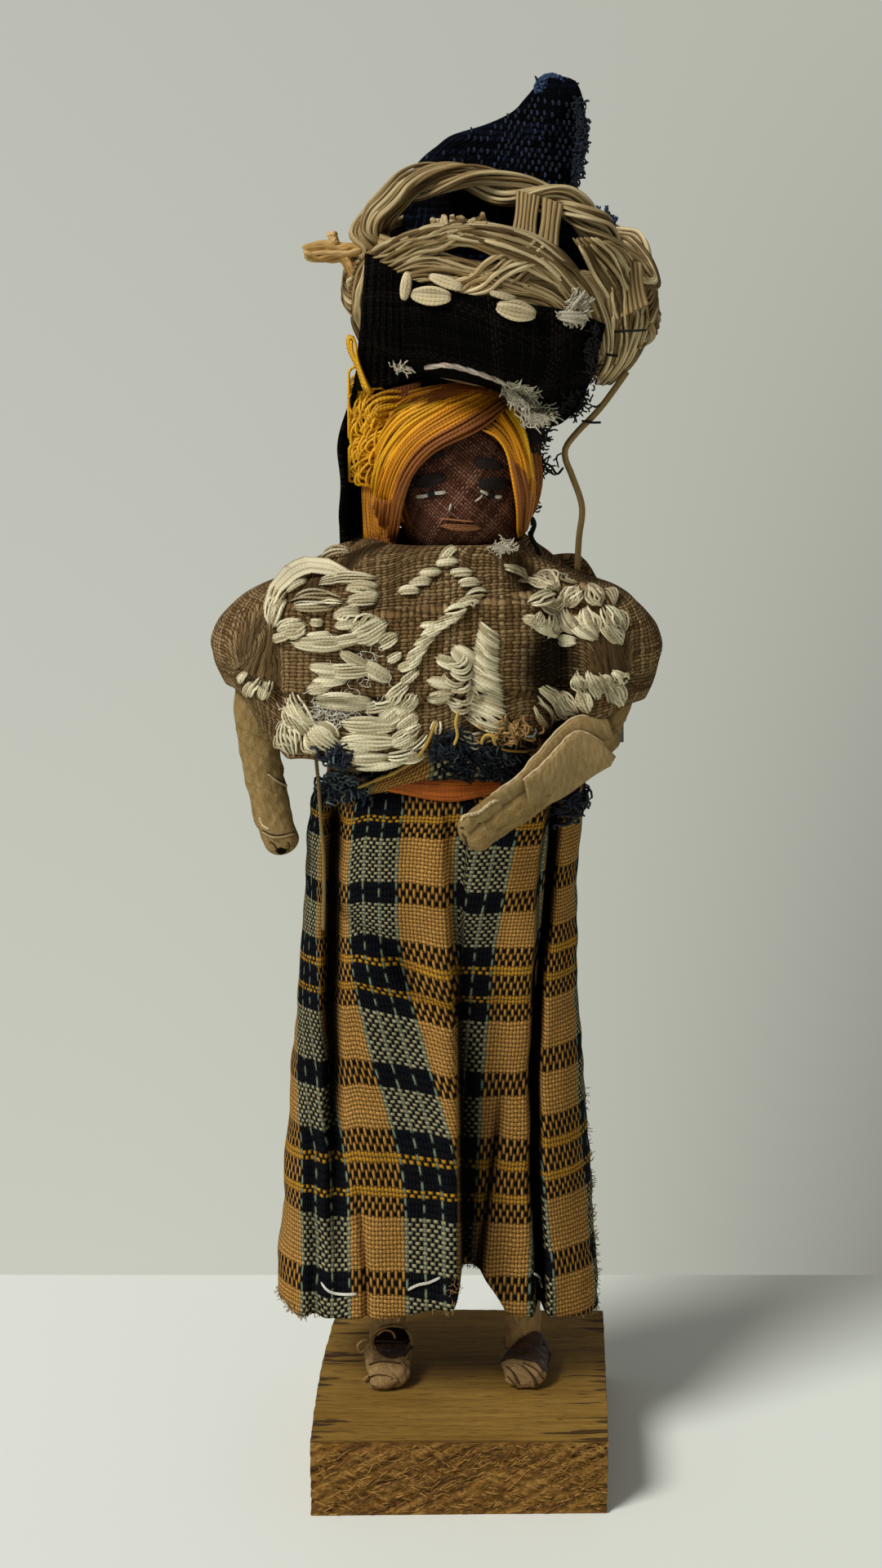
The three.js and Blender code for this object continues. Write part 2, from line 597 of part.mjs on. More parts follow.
const armDown = V(0, -sin(UPPER_ARM_TILT * RAD), -cos(UPPER_ARM_TILT * RAD));
const alongArm = (distance) => shoulderLeft.clone().addScaledVector(armDown, distance);
const elbow = alongArm(UPPER_ARM_LENGTH);
const upperArmEnd = UPPER_ARM_LENGTH - ELBOW_DIAMETER / 2 - 2 * GAP;
const elbowWireStart = WIRE_DIAMETER / 2 + 2 * GAP + RUNNING_GAP;
const elbowWireEnd = UPPER_ARM_LENGTH + ELBOW_DIAMETER / 2 - 1;
const elbowBore = solidFrom(rod(
  alongArm(elbowWireStart - GAP), alongArm(elbowWireEnd + GAP), holeDiameter));

const upperArm = limb(
  [shoulderLeft, alongArm(upperArmEnd / 2), alongArm(upperArmEnd)],
  [ARM_TOP_DIAMETER / 2, ARM_DIAMETER / 2, ARM_DIAMETER / 2], 12, 4, [true, false]);
add('upper_arm_left', solidFrom(upperArm).subtract(crossbarHole).subtract(elbowBore), PAPER, 0.85);
add('arm_wire_left', rod(alongArm(elbowWireStart), alongArm(elbowWireEnd), WIRE_DIAMETER), WIRE, 0.45);

const forearmReach = V(-FOREARM_ACROSS, -FOREARM_FORWARD, -FOREARM_DROP);
const handLeft = elbow.clone().add(forearmReach);
const forearmPoints = [elbow, elbow.clone().lerp(handLeft, 0.5), handLeft];
const forearmRadii = [ELBOW_DIAMETER / 2, FOREARM_DIAMETER / 2, HAND_DIAMETER / 2];
const forearm = solidFrom(limb(forearmPoints, forearmRadii, 14, 8));
add('forearm_left', forearm.subtract(elbowBore), PAPER, 0.85);

// A loose flap of the forearm's wrap stands up along its top.
function wrapFlap(from, to, lean) {
  const across = forearmReach.clone().normalize();
  const up = V(0, lean, 1).cross(across).cross(across).multiplyScalar(-1).normalize();
  const thick = across.clone().cross(up).normalize();
  const rings = [];
  const steps = 8;
  for (let i = 0; i <= steps; i += 1) {
    const t = i / steps;
    const swell = sin(PI * mix(0.12, 0.88, t));
    const radius = FOREARM_DIAMETER / 2 - GAP + FLAP_HALF_WIDTH * swell;
    const centre = elbow.clone().lerp(handLeft, mix(from, to, t)).addScaledVector(up, radius);
    rings.push(ellipseRing(centre, up, thick, FLAP_HALF_WIDTH * swell, FLAP_THICKNESS / 2, 8));
  }
  return loft(rings);
}
const armRoom = solidFrom(limb(forearmPoints, forearmRadii.map((r) => r + GAP), 14, 8));
add('wrap_flap_left', solidFrom(wrapFlap(0.12, 0.72, -1.1)).subtract(armRoom), PAPER, 0.9);

// Blouse: a short wide cloth over the shoulders, open at the neck, the sleeves and the hem

const BLOUSE_COLUMNS = 48;
const BLOUSE_TIP_Z = SHOULDER_Z - BLOUSE_TIP_DROP;
const SLEEVE_HEM_Z = SHOULDER_Z - SLEEVE_HEM_DROP;
const BLOUSE_FRONT_HEM_Z = SHOULDER_Z - BLOUSE_HEM_RIGHT_DROP;
// From hem to collar: half width, half depth, then the height at the sleeve and at the front.
const collarWidth = (share) => mix(BLOUSE_HALF_WIDTH, BLOUSE_NECK_HALF_WIDTH, share);
const collarDepth = (share) => mix(BLOUSE_HALF_DEPTH, BLOUSE_NECK_HALF_DEPTH, share);
const collarRise = (share) => mix(BLOUSE_TIP_Z, BLOUSE_NECK_Z, share);
const blouseLevels = [
  { width: BLOUSE_HALF_WIDTH - 1.4, depth: BLOUSE_HALF_DEPTH - 0.8, side: SLEEVE_HEM_Z },
  {
    width: BLOUSE_HALF_WIDTH - 0.5, depth: BLOUSE_HALF_DEPTH,
    side: mix(SLEEVE_HEM_Z, BLOUSE_TIP_Z, 0.53), front: mix(BLOUSE_FRONT_HEM_Z, BLOUSE_TIP_Z, 0.46),
  },
  {
    width: BLOUSE_HALF_WIDTH, depth: BLOUSE_HALF_DEPTH - 0.2,
    side: BLOUSE_TIP_Z, front: mix(BLOUSE_FRONT_HEM_Z, BLOUSE_TIP_Z, 0.85),
  },
  { width: collarWidth(0.12), depth: collarDepth(0.15), side: collarRise(0.33), front: collarRise(0.23) },
  { width: collarWidth(0.39), depth: collarDepth(0.32), side: collarRise(0.67), front: collarRise(0.56) },
  { width: collarWidth(0.7), depth: collarDepth(0.58), side: collarRise(0.88), front: collarRise(0.83) },
  {
    width: BLOUSE_NECK_HALF_WIDTH, depth: BLOUSE_NECK_HALF_DEPTH,
    side: BLOUSE_NECK_Z, front: BLOUSE_NECK_Z,
  },
];
const blouseFolds = [
  { x: 15, depth: 2.6, spread: 3 },
  { x: -29, depth: 1.2, spread: 2.4 },
];

function blousePoint(angle, level, inset) {
  const reach = sectionPoint(CHEST_X, level.width - inset, level.depth - inset, angle, 0, 0.7);
  const sideways = abs(reach.x - CHEST_X) / BLOUSE_HALF_WIDTH;
  const asSleeve = smooth(sideways, 0.66, 0.88);
  const frontDrop = mix(BLOUSE_HEM_RIGHT_DROP, BLOUSE_HEM_LEFT_DROP, smooth(reach.x, -5, 4));
  const hem = SHOULDER_Z - mix(frontDrop, BLOUSE_HEM_OVER_ARM_DROP, smooth(reach.x, 12, 19));
  const z = mix(level.front ?? hem, level.side, asSleeve);
  const belowNeck = smooth(BLOUSE_NECK_Z - z, 3, 12);
  const crease = sin(angle) < 0 ? blouseFolds.reduce(
    (sum, fold) => sum + fold.depth * exp(-(((reach.x - fold.x) / fold.spread) ** 2)), 0) : 0;
  return V(reach.x, reach.y + crease * belowNeck, z - inset * smooth(z, SLEEVE_HEM_Z, BLOUSE_NECK_Z));
}

function blouseGeometry() {
  return hoop(Array.from({ length: BLOUSE_COLUMNS }, (_, i) => {
    const angle = (2 * PI * i) / BLOUSE_COLUMNS;
    const outside = blouseLevels.map((level) => blousePoint(angle, level, 0));
    const inside = blouseLevels.map((level) => blousePoint(angle, level, BLOUSE_THICKNESS));
    return [...outside, ...inside.reverse()];
  }));
}
add('blouse', blouseGeometry(), 0x7d6350, 0.9);

// Head: stuffing in a gathered face cloth, on the neck wire

const headMiddle = V(HEAD_X, HEAD_Y, HEAD_Z);

function headEgg(grow, widthSegments = 20, heightSegments = 12) {
  const [a, b, c] = [HEAD_HALF_WIDTH, HEAD_HALF_DEPTH, HEAD_HALF_HEIGHT].map((half) => half + grow);
  return new THREE.SphereGeometry(1, widthSegments, heightSegments)
    .rotateX(PI / 2).scale(a, b, c).translate(HEAD_X, HEAD_Y, HEAD_Z);
}

const stuffing = solidFrom(headEgg(-FACE_CLOTH_THICKNESS - GAP)).subtract(neckBore);
const gather = new THREE.CylinderGeometry(GATHER_RADIUS, GATHER_RADIUS, 8, 16).rotateX(PI / 2)
  .translate(HEAD_X, HEAD_Y, HEAD_Z - HEAD_HALF_HEIGHT);
const faceCloth = solidFrom(headEgg(0))
  .subtract(solidFrom(headEgg(-FACE_CLOTH_THICKNESS)))
  .subtract(solidFrom(gather));
add('head_padding', stuffing, 0xc9bfae, 0.95);
add('face_cloth', faceCloth, 0x4d3230, 0.9);

// The place on the face cloth's front, at a width and height from the head's middle.
function onFace(x, z, out) {
  const u = x / HEAD_HALF_WIDTH;
  const w = z / HEAD_HALF_HEIGHT;
  const skin = V(x, -HEAD_HALF_DEPTH * sqrt(1 - u * u - w * w), z).add(headMiddle);
  return skin.addScaledVector(skin.clone().sub(headMiddle).normalize(), out);
}

// Stitches: place of each from the head's middle, its length, its width and its slope in degrees.
const stitches = {
  brow_right: [-2.5, -0.9, 4.6, 1.3, -3],
  brow_mark_right: [-0.9, 3.1, 1.3, 0.8, 0],
  brow_upper_left: [7, 1.9, 3.6, 1.2, -14],
  brow_lower_left: [7.6, -1.2, 3.8, 1.2, -6],
  eye_white_outer_right: [-3.3, -3.4, 1.9, 0.7, 8],
  eye_pupil_right: [-1.5, -2.9, 1.2, 0.9, 0],
  eye_white_inner_right: [0.2, -2.7, 1.9, 0.7, 8],
  eye_white_inner_left: [5.3, -2.5, 1.4, 0.6, -25],
  eye_pupil_left: [7.1, -3, 1, 0.9, 0],
  eye_white_outer_left: [8.5, -3.3, 1.1, 0.6, -8],
  eye_slant_left: [4.7, -4.2, 1.3, 0.4, 42],
  nose_stitch: [0.7, -5.3, 0.9, 0.4, 80],
  mouth_bar: [2.6, -7.9, 5.8, 0.9, -2],
};

for (const [name, [x, z, length, width, slope]] of Object.entries(stitches)) {
  const out = GAP + STITCH_THICKNESS / 2;
  const end = (side) => onFace(
    x + side * (length / 2) * cos(slope * RAD), z + side * (length / 2) * sin(slope * RAD), out);
  const path = [end(-1), onFace(x, z, out), end(1)];
  const geometry = band(path, headMiddle, width / 2, STITCH_THICKNESS / 2, 3, 5);
  const color = name.startsWith('eye_') && !name.includes('pupil') ? 0xd6cdbb : 0x1d1414;
  add(name, geometry, name === 'mouth_bar' ? 0xa5714a : color, 0.8);
}

// Hair: a cap of floss over the crown and the back, two swoops in front and a tuft of loops

const cutter = 5 * HEAD_HALF_HEIGHT;   // the side of a cutting box, wider than the head
const capInner = GAP;
const capOuter = capInner + HAIR_THICKNESS;
const faceWindow = new THREE.BoxGeometry(cutter, cutter, cutter)
  .translate(0, -cutter / 2, 0)
  .rotateX(52 * RAD)
  .translate(HEAD_X, HEAD_Y - HEAD_HALF_DEPTH / 2, HEAD_Z + HEAD_HALF_HEIGHT * 0.27);
const neckRoom = new THREE.BoxGeometry(cutter, cutter, cutter)
  .translate(0, 0, HEAD_Z - HEAD_HALF_HEIGHT * 0.83 - cutter / 2);
const hairCap = solidFrom(headEgg(capOuter))
  .subtract(solidFrom(headEgg(capInner)))
  .subtract(solidFrom(faceWindow))
  .subtract(solidFrom(neckRoom));
add('hair_cap', hairCap, GOLD, 0.6);

// A place over the front hair, as shares of the head's half width and half height.
const swoopOut = capOuter + GAP + SWOOP_HALF_THICKNESS;
function onHead(u, w) {
  const forward = sqrt(max(1 - u * u - w * w, 0));
  return headMiddle.clone().add(V(
    u * (HEAD_HALF_WIDTH + swoopOut), -forward * (HEAD_HALF_DEPTH + swoopOut),
    w * (HEAD_HALF_HEIGHT + swoopOut)));
}
const swoopRight = [
  onHead(0.3, 0.66), onHead(-0.09, 0.53), onHead(-0.49, 0.24), onHead(-0.77, -0.18), onHead(-0.89, -0.57),
];
const swoopLeft = [onHead(0.48, 0.57), onHead(0.65, 0.34), onHead(0.79, 0.01), onHead(0.86, -0.31)];
const swoopRoom = (points, halfWidth) => solidFrom(
  band(points, headMiddle, halfWidth, SWOOP_HALF_THICKNESS + GAP, 10, 10));
const swoopRightSolid = solidFrom(
  band(swoopRight, headMiddle, SWOOP_HALF_WIDTH, SWOOP_HALF_THICKNESS, 10, 10));
add('hair_swoop_right', swoopRightSolid, GOLD, 0.6);
add('hair_swoop_left', solidFrom(
  band(swoopLeft, headMiddle, SWOOP_HALF_WIDTH * 0.62, SWOOP_HALF_THICKNESS, 8, 10))
  .subtract(swoopRoom(swoopRight, SWOOP_HALF_WIDTH + GAP)), GOLD, 0.6);

const tuft = new THREE.SphereGeometry(1, 16, 10)
  .scale(TUFT_HALF_WIDTH, TUFT_HALF_DEPTH, TUFT_HALF_HEIGHT)
  .translate(HEAD_X - HEAD_HALF_WIDTH - TUFT_HALF_WIDTH + 0.5, HEAD_Y - 2.4, HEAD_Z + 0.8);
add('hair_tuft', solidFrom(tuft)
  .subtract(solidFrom(headEgg(capOuter + GAP)))
  .subtract(swoopRoom(swoopRight, SWOOP_HALF_WIDTH + GAP)), GOLD, 0.6);

// Basket: a bowl of raffia, tilted forward and to its left, carried on a cloth pad

const basketTurn = new THREE.Matrix4().makeRotationY(BASKET_SIDE_TILT * RAD)
  .multiply(new THREE.Matrix4().makeRotationX(BASKET_FORWARD_TILT * RAD));
const basketPlace = new THREE.Matrix4()
  .makeTranslation(BASKET_X, BASKET_Y, BASKET_BOTTOM_Z)
  .multiply(basketTurn)
  .multiply(new THREE.Matrix4().makeScale(1, BASKET_HALF_DEPTH / BASKET_HALF_WIDTH, 1));

const basketProfile = [
  [0, BASKET_FOOT_RADIUS],
  [3.5, BASKET_HALF_WIDTH - 4],
  [8.5, BASKET_HALF_WIDTH - 0.4],
  [12.5, BASKET_HALF_WIDTH],
  [BASKET_HEIGHT, BASKET_MOUTH_RADIUS],
];
const basketRadius = (height) => between(basketProfile, height)[0];

function bowlGeometry(grow) {
  const outside = basketProfile.map(([z, r], i) => [r + grow, i === 0 ? -grow : z]);
  const floor = BASKET_WALL;
  const inside = [[0, floor], [BASKET_FOOT_RADIUS - 1, floor],
    ...basketProfile.slice(1).map(([z, r], i) => [r - BASKET_WALL, i === 0 ? z + 1 : z])].reverse();
  const filled = [[0, BASKET_HEIGHT]];
  const profile = [[0, -grow], ...outside, ...(grow ? filled : inside)];
  const lathe = new THREE.LatheGeometry(profile.map(([r, z]) => new THREE.Vector2(r, z)), 36);
  return lathe.rotateX(PI / 2).applyMatrix4(basketPlace);
}
const basketRoom = solidFrom(bowlGeometry(GAP));
add('basket_bowl', bowlGeometry(0), RAFFIA, 0.85);

const rimRadius = BASKET_MOUTH_RADIUS - 1;
const rimHeight = BASKET_HEIGHT + GAP + RIM_DIAMETER / 2;
add('basket_rim', new THREE.TorusGeometry(rimRadius, RIM_DIAMETER / 2, 8, 36)
  .translate(0, 0, rimHeight).applyMatrix4(basketPlace), RAFFIA, 0.85);

// Things laid on the basket are set out by angle round it, height up it and distance off it.
function onBasket(angle, height, radius) {
  return V(radius * cos(angle * RAD), radius * sin(angle * RAD), height).applyMatrix4(basketPlace);
}

// A strip laid round the basket, from one angle to another, with its lower and upper edge
// and its inner and outer distance given along the way.
function strip(fromAngle, toAngle, steps, edges, distance, thickness, levels = 4) {
  const rings = [];
  for (let i = 0; i <= steps; i += 1) {
    const t = i / steps;
    const angle = mix(fromAngle, toAngle, t);
    const [low, high] = between(edges, t);
    const heights = Array.from({ length: levels }, (_, k) => mix(low, high, k / (levels - 1)));
    const inner = heights.map((z) => onBasket(angle, z, distance(z)));
    const outer = heights.map((z) => onBasket(angle, z, distance(z) + thickness)).reverse();
    rings.push([...inner, ...outer]);
  }
  return loft(rings);
}

const clearOfBasket = (z) => basketRadius(z) + GAP;
add('basket_slats_side', strip(
  -36, -8, 6, [[0, 11, 20.5], [1, 8.5, 18]], clearOfBasket, SLAT_THICKNESS, 6), 0xb99a68, 0.8);

const slatsFront = band([
  onBasket(-72, rimHeight + 2.7, rimRadius + 0.6),
  onBasket(-70, rimHeight + 3.2, rimRadius - 4),
  onBasket(-68, rimHeight + 3.8, rimRadius - 8),
  onBasket(-65, rimHeight + 4.2, rimRadius - 11),
], V(BASKET_X, BASKET_Y, BASKET_BOTTOM_Z), 4, SLAT_THICKNESS / 2, 8, 8);
add('basket_slats_front', slatsFront, 0xb99a68, 0.8);

// The knot of leftover raffia on the basket's right side
const bowHeight = BASKET_HEIGHT - 2;
const bowRoot = onBasket(196, bowHeight, basketRadius(bowHeight) - 1);
const bowPath = [0, 0.3, 0.7, 1].map((t) => bowRoot.clone().add(V(-BOW_LENGTH * t, -0.6 * t, 0.3 * t)));
const bow = band(bowPath, bowRoot.clone().add(V(0, 40, 0)),
  (t) => BOW_HALF_WIDTH * mix(0.5, 1, sin(PI * min(1, t * 1.15))), 0.7, 6, 8);
add('basket_bow', solidFrom(bow).subtract(basketRoom), 0xb99a68, 0.8);

// The bundled cloth that fills the basket and stands out of it
// Levels: share of its height, sideways and backward shift, share of its half width and depth.
const bundleLevels = [
  [0, 1.5, 1.4, 0.79, 0.9], [0.19, 2, 1.8, 1, 1], [0.38, 2, 2, 1.02, 0.99], [0.545, 1.4, 2.4, 0.97, 0.92],
  [0.68, 1.6, 2.8, 0.83, 0.7], [0.78, 3.6, 2.8, 0.69, 0.54], [0.843, 8.4, 2.8, 0.4, 0.42],
  [0.925, 10.2, 2.8, 0.27, 0.33], [1, 9.8, 2.8, 0.14, 0.19],
];
const bundleRings = bundleLevels.map(([up, x, y, wide, deep]) => ellipseRing(
  V(BASKET_X + x, BASKET_Y + y, BASKET_BOTTOM_Z + BUNDLE_FLOOR + BUNDLE_HEIGHT * up),
  V(1, 0, 0), V(0, 1, 0), BUNDLE_HALF_WIDTH * wide, BUNDLE_HALF_DEPTH * deep, 18));
add('bundle_cloth', loft(bundleRings), 0x12161f, 0.95);

// The pad between the crown and the basket, cut to both
const padTop = BASKET_BOTTOM_Z + PAD_RADIUS / 2;
const pad = rod(V(PAD_X, PAD_Y, HEAD_Z), V(PAD_X, PAD_Y, padTop), 2 * PAD_RADIUS, 24);
const capRoom = solidFrom(headEgg(capOuter + GAP));
add('headcloth_pad', solidFrom(pad).subtract(capRoom).subtract(basketRoom), BLACK_CLOTH, 0.95);

// Headcloth: a folded black cloth across the front of the basket, lower at its left end
const headclothEdges = [
  [0, -1.5, 18.5], [0.12, -1.2, 18.2], [0.35, 1.5, 16.5], [0.58, 0.5, 13.6],
  [0.74, -3.5, 11.5], [0.86, -5.5, 10], [1, 3.5, 10.5],
];
const headclothDistance = (z) => max(basketRadius(z), HEADCLOTH_MIN_RADIUS) + HEADCLOTH_SLACK;
const headcloth = strip(-158, -38, 14, headclothEdges, headclothDistance, HEADCLOTH_THICKNESS, 8);
add('headcloth', solidFrom(headcloth).subtract(basketRoom), BLACK_CLOTH, 0.95);

// White brocade lining turned out under the headcloth's low left corner
const lining = band([
  headMiddle.clone().add(V(7.7, -14.2, 12.2)),
  headMiddle.clone().add(V(10.3, -14.4, 9.2)),
  headMiddle.clone().add(V(13.3, -13.4, 5.8)),
], headMiddle, (t) => mix(1.4, 3, sin(PI * t)), 0.5, 6, 8);
add('headcloth_lining', lining, IVORY, 0.9);

// The headcloth's long tail hangs behind the head, from the basket down to the shoulders
function drapeGeometry() {
  const rings = [];
  const steps = 14;
  const heights = [BLOUSE_NECK_Z + DRAPE_RISE, HEAD_Z, BASKET_BOTTOM_Z + BASKET_HEIGHT / 3];
  for (let i = 0; i <= steps; i += 1) {
    const angle = mix(22, 196, i / steps) * RAD;
    const place = (inset, z) => V(DRAPE_X, DRAPE_Y, 0)
      .add(sectionPoint(0, DRAPE_HALF_WIDTH - inset, DRAPE_HALF_DEPTH - inset, angle, z));
    const outside = heights.map((z) => place(0, z));
    const inside = heights.map((z) => place(DRAPE_THICKNESS, z)).reverse();
    rings.push([...outside, ...inside]);
  }
  return loft(rings);
}
add('headcloth_drape', solidFrom(drapeGeometry()).subtract(basketRoom), BLACK_CLOTH, 0.95);

// Loose ends: a raffia tie that hangs from the basket to the shoulder, and a thread at the waist
const raffiaRoute = [
  V(26, -4, 185.9), V(22, -4.2, 180.4), V(18.4, -4.3, 176.6), V(16.6, -4.3, 174.2),
  V(16.6, -4.2, 172.2), V(17.6, -4, 169.8), V(19.3, -3.8, 164.8), V(18.9, -3.6, 159.8),
  V(18.7, -3.4, 154.6),
];
add('raffia_tie', cordGeometry(raffiaRoute, RAFFIA_DIAMETER, 16), RAFFIA, 0.8);

const threadRoute = [
  V(-23.2, -5.9, 127.4), V(-23.1, -6.1, 124), V(-22.8, -6.4, 120.5), V(-22.6, -6.7, 117),
  V(-22.4, -7.1, 113.5), V(-22.1, -7.6, 110), V(-22, -8, 106.5), V(-22, -8.3, 103),
  V(-22.1, -8.6, 99.5), V(-22.2, -8.8, 96.4),
];
add('waist_thread', cordGeometry(threadRoute, THREAD_DIAMETER, 22), 0xb99b3f, 0.8);

export default doll;
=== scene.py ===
# %% [markdown]
# # A cloth doll with a basket on its head
#
# The doll is wire, paper and cloth on a sawn block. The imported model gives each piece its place, and
# this lesson makes what the eye sees: cloth with its weave, floss, raffia, wrapped paper and wood.
# Sizes below are in millimetres, because that is how a doll is measured, and become metres at the end.

# %% Load the frame
import math

import bpy
import numpy as np
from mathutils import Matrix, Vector
from mathutils.bvhtree import BVHTree


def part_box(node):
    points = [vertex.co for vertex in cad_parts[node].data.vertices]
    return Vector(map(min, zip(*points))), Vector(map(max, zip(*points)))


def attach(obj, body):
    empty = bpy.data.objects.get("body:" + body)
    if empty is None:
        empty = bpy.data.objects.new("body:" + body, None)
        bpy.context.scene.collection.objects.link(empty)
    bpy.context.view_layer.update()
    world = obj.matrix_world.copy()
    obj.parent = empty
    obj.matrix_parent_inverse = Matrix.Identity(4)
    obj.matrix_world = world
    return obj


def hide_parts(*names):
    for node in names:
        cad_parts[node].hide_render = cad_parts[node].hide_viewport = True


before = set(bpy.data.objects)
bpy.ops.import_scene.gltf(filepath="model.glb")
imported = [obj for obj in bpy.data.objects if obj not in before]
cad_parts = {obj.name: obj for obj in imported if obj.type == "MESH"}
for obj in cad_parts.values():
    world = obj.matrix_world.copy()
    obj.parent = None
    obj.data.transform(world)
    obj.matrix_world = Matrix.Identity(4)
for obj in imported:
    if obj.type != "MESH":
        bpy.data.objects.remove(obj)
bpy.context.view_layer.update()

MM = 0.001

# %% [markdown]
# ## The camera
#
# The picture was taken with a long lens from a little above the waist. A camera with the same place,
# tilt and lens lets each piece be set against the picture. `seen` turns a place in the 1080 by 1919
# picture into a line of sight, which is how a stitch finds its place on the cloth that carries it.

# %% Camera
PHOTO_WIDTH, PHOTO_HEIGHT = 1080, 1919
FOCAL = 2884.0
PITCH = math.radians(13.85)
CAMERA_PLACE = np.array([-3.0, -375.9, 211.4])
PIXELS_PER_MM = 7.75      # in the picture, at the doll

bpy.ops.object.camera_add(location=CAMERA_PLACE * MM, rotation=(math.pi / 2 - PITCH, 0, 0))
camera = bpy.context.object
camera.name = "photo_camera"
camera.data.sensor_width = 36
camera.data.lens = FOCAL / PHOTO_HEIGHT * camera.data.sensor_width
camera.data.clip_start, camera.data.clip_end = 0.01, 20
bpy.context.scene.camera = camera


def seen(across, down):
    """The line of sight through a place in the picture."""
    a, b = (across - PHOTO_WIDTH / 2) / FOCAL, (PHOTO_HEIGHT / 2 - down) / FOCAL
    cosine, sine = math.cos(PITCH), math.sin(PITCH)
    return np.array([a, cosine + b * sine, b * cosine - sine])


def at_depth(across, down, depth):
    """The point that shows there, at a given distance behind the doll's middle."""
    line = seen(across, down)
    return CAMERA_PLACE + line * (depth - CAMERA_PLACE[1]) / line[1]


print("lens", round(camera.data.lens, 2), "mm")

# %% [markdown]
# ## Helpers for meshes
#
# Cloth is a grid whose points are moved into place by a rule, as a sculptor would push them, and then
# given a wall. Thread, floss and raffia are thin tubes along paths. Each keeps a UV map in millimetres,
# so that a weave or a groove has its real size and follows the surface.

# %% Helpers: selecting, editing and closing


def deselect():
    if bpy.context.object and bpy.context.object.mode != "OBJECT":
        bpy.ops.object.mode_set(mode="OBJECT")
    bpy.ops.object.select_all(action="DESELECT")


def pick(piece):
    deselect()
    piece.select_set(True)
    bpy.context.view_layer.objects.active = piece


def finish_modifiers(piece):
    pick(piece)
    for modifier in list(piece.modifiers):
        bpy.ops.object.modifier_apply(modifier=modifier.name)


def edit_all(piece, *steps):
    """Edit mode on the whole piece: each step is an operator's name and its settings."""
    pick(piece)
    bpy.ops.object.mode_set(mode="EDIT")
    bpy.ops.mesh.select_mode(type="VERT")
    bpy.ops.mesh.select_all(action="SELECT")
    for name, settings in steps:
        getattr(bpy.ops.mesh, name)(**settings)
    bpy.ops.object.mode_set(mode="OBJECT")


def read(rows, what, width=3):
    flat = np.empty(len(rows) * width, dtype=int if what == "vertex_index" else float)
    rows.foreach_get(what, flat)
    return flat


def points_of(piece):
    return read(piece.data.vertices, "co").reshape(-1, 3) / MM


def move_points(piece, points):
    piece.data.vertices.foreach_set("co", (np.asarray(points) * MM).ravel())
    piece.data.update()


def face_out(piece, middle):
    """Turn the faces over if most of them look towards the middle line."""
    normals, centres = (read(piece.data.polygons, what).reshape(-1, 3) for what in ("normal", "center"))
    away = centres / MM - np.asarray(middle(centres / MM))
    if (normals * away).sum() < 0:
        edit_all(piece, ("flip_normals", {}))


def paint_with(piece, material):
    piece.data.materials.clear()
    piece.data.materials.append(material)


def give(piece, material, body="doll", node_name=None):
    """A piece's material and body, and the node that it is seen in place of."""
    paint_with(piece, material)
    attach(piece, body)
    if node_name:
        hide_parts(node_name)
    return piece


# %% Helper: cloth from a grid


def upright(x, y):
    """A middle line that stands at x, y."""
    return lambda centres: np.stack([np.full(len(centres), x), np.full(len(centres), y), centres[:, 2]], 1)


def by_share(width, height, start=0.0):
    """A flat measure: so many millimetres across and up."""
    return lambda across, up, _: ((across - start) * width, (up - start) * height)


def cloth(name, columns, rows, place, measure=None, wall=0.0, middle=None, deep=None):
    """A grid moved to place(across, up), both from 0 to 1, with a wall behind it.

    measure gives the UV in millimetres; without it the cloth's own lengths do. deep tells how far
    each point lies in a fold or hollow, which the cloth's material paints as shade."""
    deselect()
    bpy.ops.mesh.primitive_grid_add(x_subdivisions=columns, y_subdivisions=rows, size=1)
    piece = bpy.context.object
    piece.name = piece.data.name = name
    mesh = piece.data
    flat = points_of(piece) * MM
    across, up = np.round(flat[:, 0] + 0.5, 6), np.round(flat[:, 1] + 0.5, 6)
    points = place(across, up)
    if measure is None:
        order = np.lexsort((across, up))
        ordered = points[order].reshape(rows + 1, columns + 1, 3)
        along = np.zeros((rows + 1, columns + 1))
        along[:, 1:] = np.cumsum(np.linalg.norm(np.diff(ordered, axis=1), axis=2), axis=1)
        along -= along[:, [columns // 2]]
        rise = np.zeros((rows + 1, columns + 1))
        rise[1:] = np.cumsum(np.linalg.norm(np.diff(ordered, axis=0), axis=2), axis=0)
        u, v = np.empty(len(order)), np.empty(len(order))
        u[order], v[order] = along.ravel(), rise.ravel()
    else:
        u, v = measure(across, up, points)
    move_points(piece, points)
    corners = read(mesh.loops, "vertex_index", 1)
    mesh.uv_layers.active.data.foreach_set("uv", np.stack([u[corners], v[corners]], 1).ravel())
    if deep is not None:
        mesh.attributes.new("deep", "FLOAT", "POINT").data.foreach_set("value", deep(across, up, points))
    edit_all(piece, ("remove_doubles", {"threshold": 1e-6}))
    if middle is not None:
        face_out(piece, middle)
    if wall:
        solid = piece.modifiers.new("wall", "SOLIDIFY")
        solid.thickness, solid.offset = wall * MM, -1
        finish_modifiers(piece)
    pick(piece)
    bpy.ops.object.shade_smooth()
    print(name, len(piece.data.polygons), "faces")
    return piece


# %% Helper: threads along paths


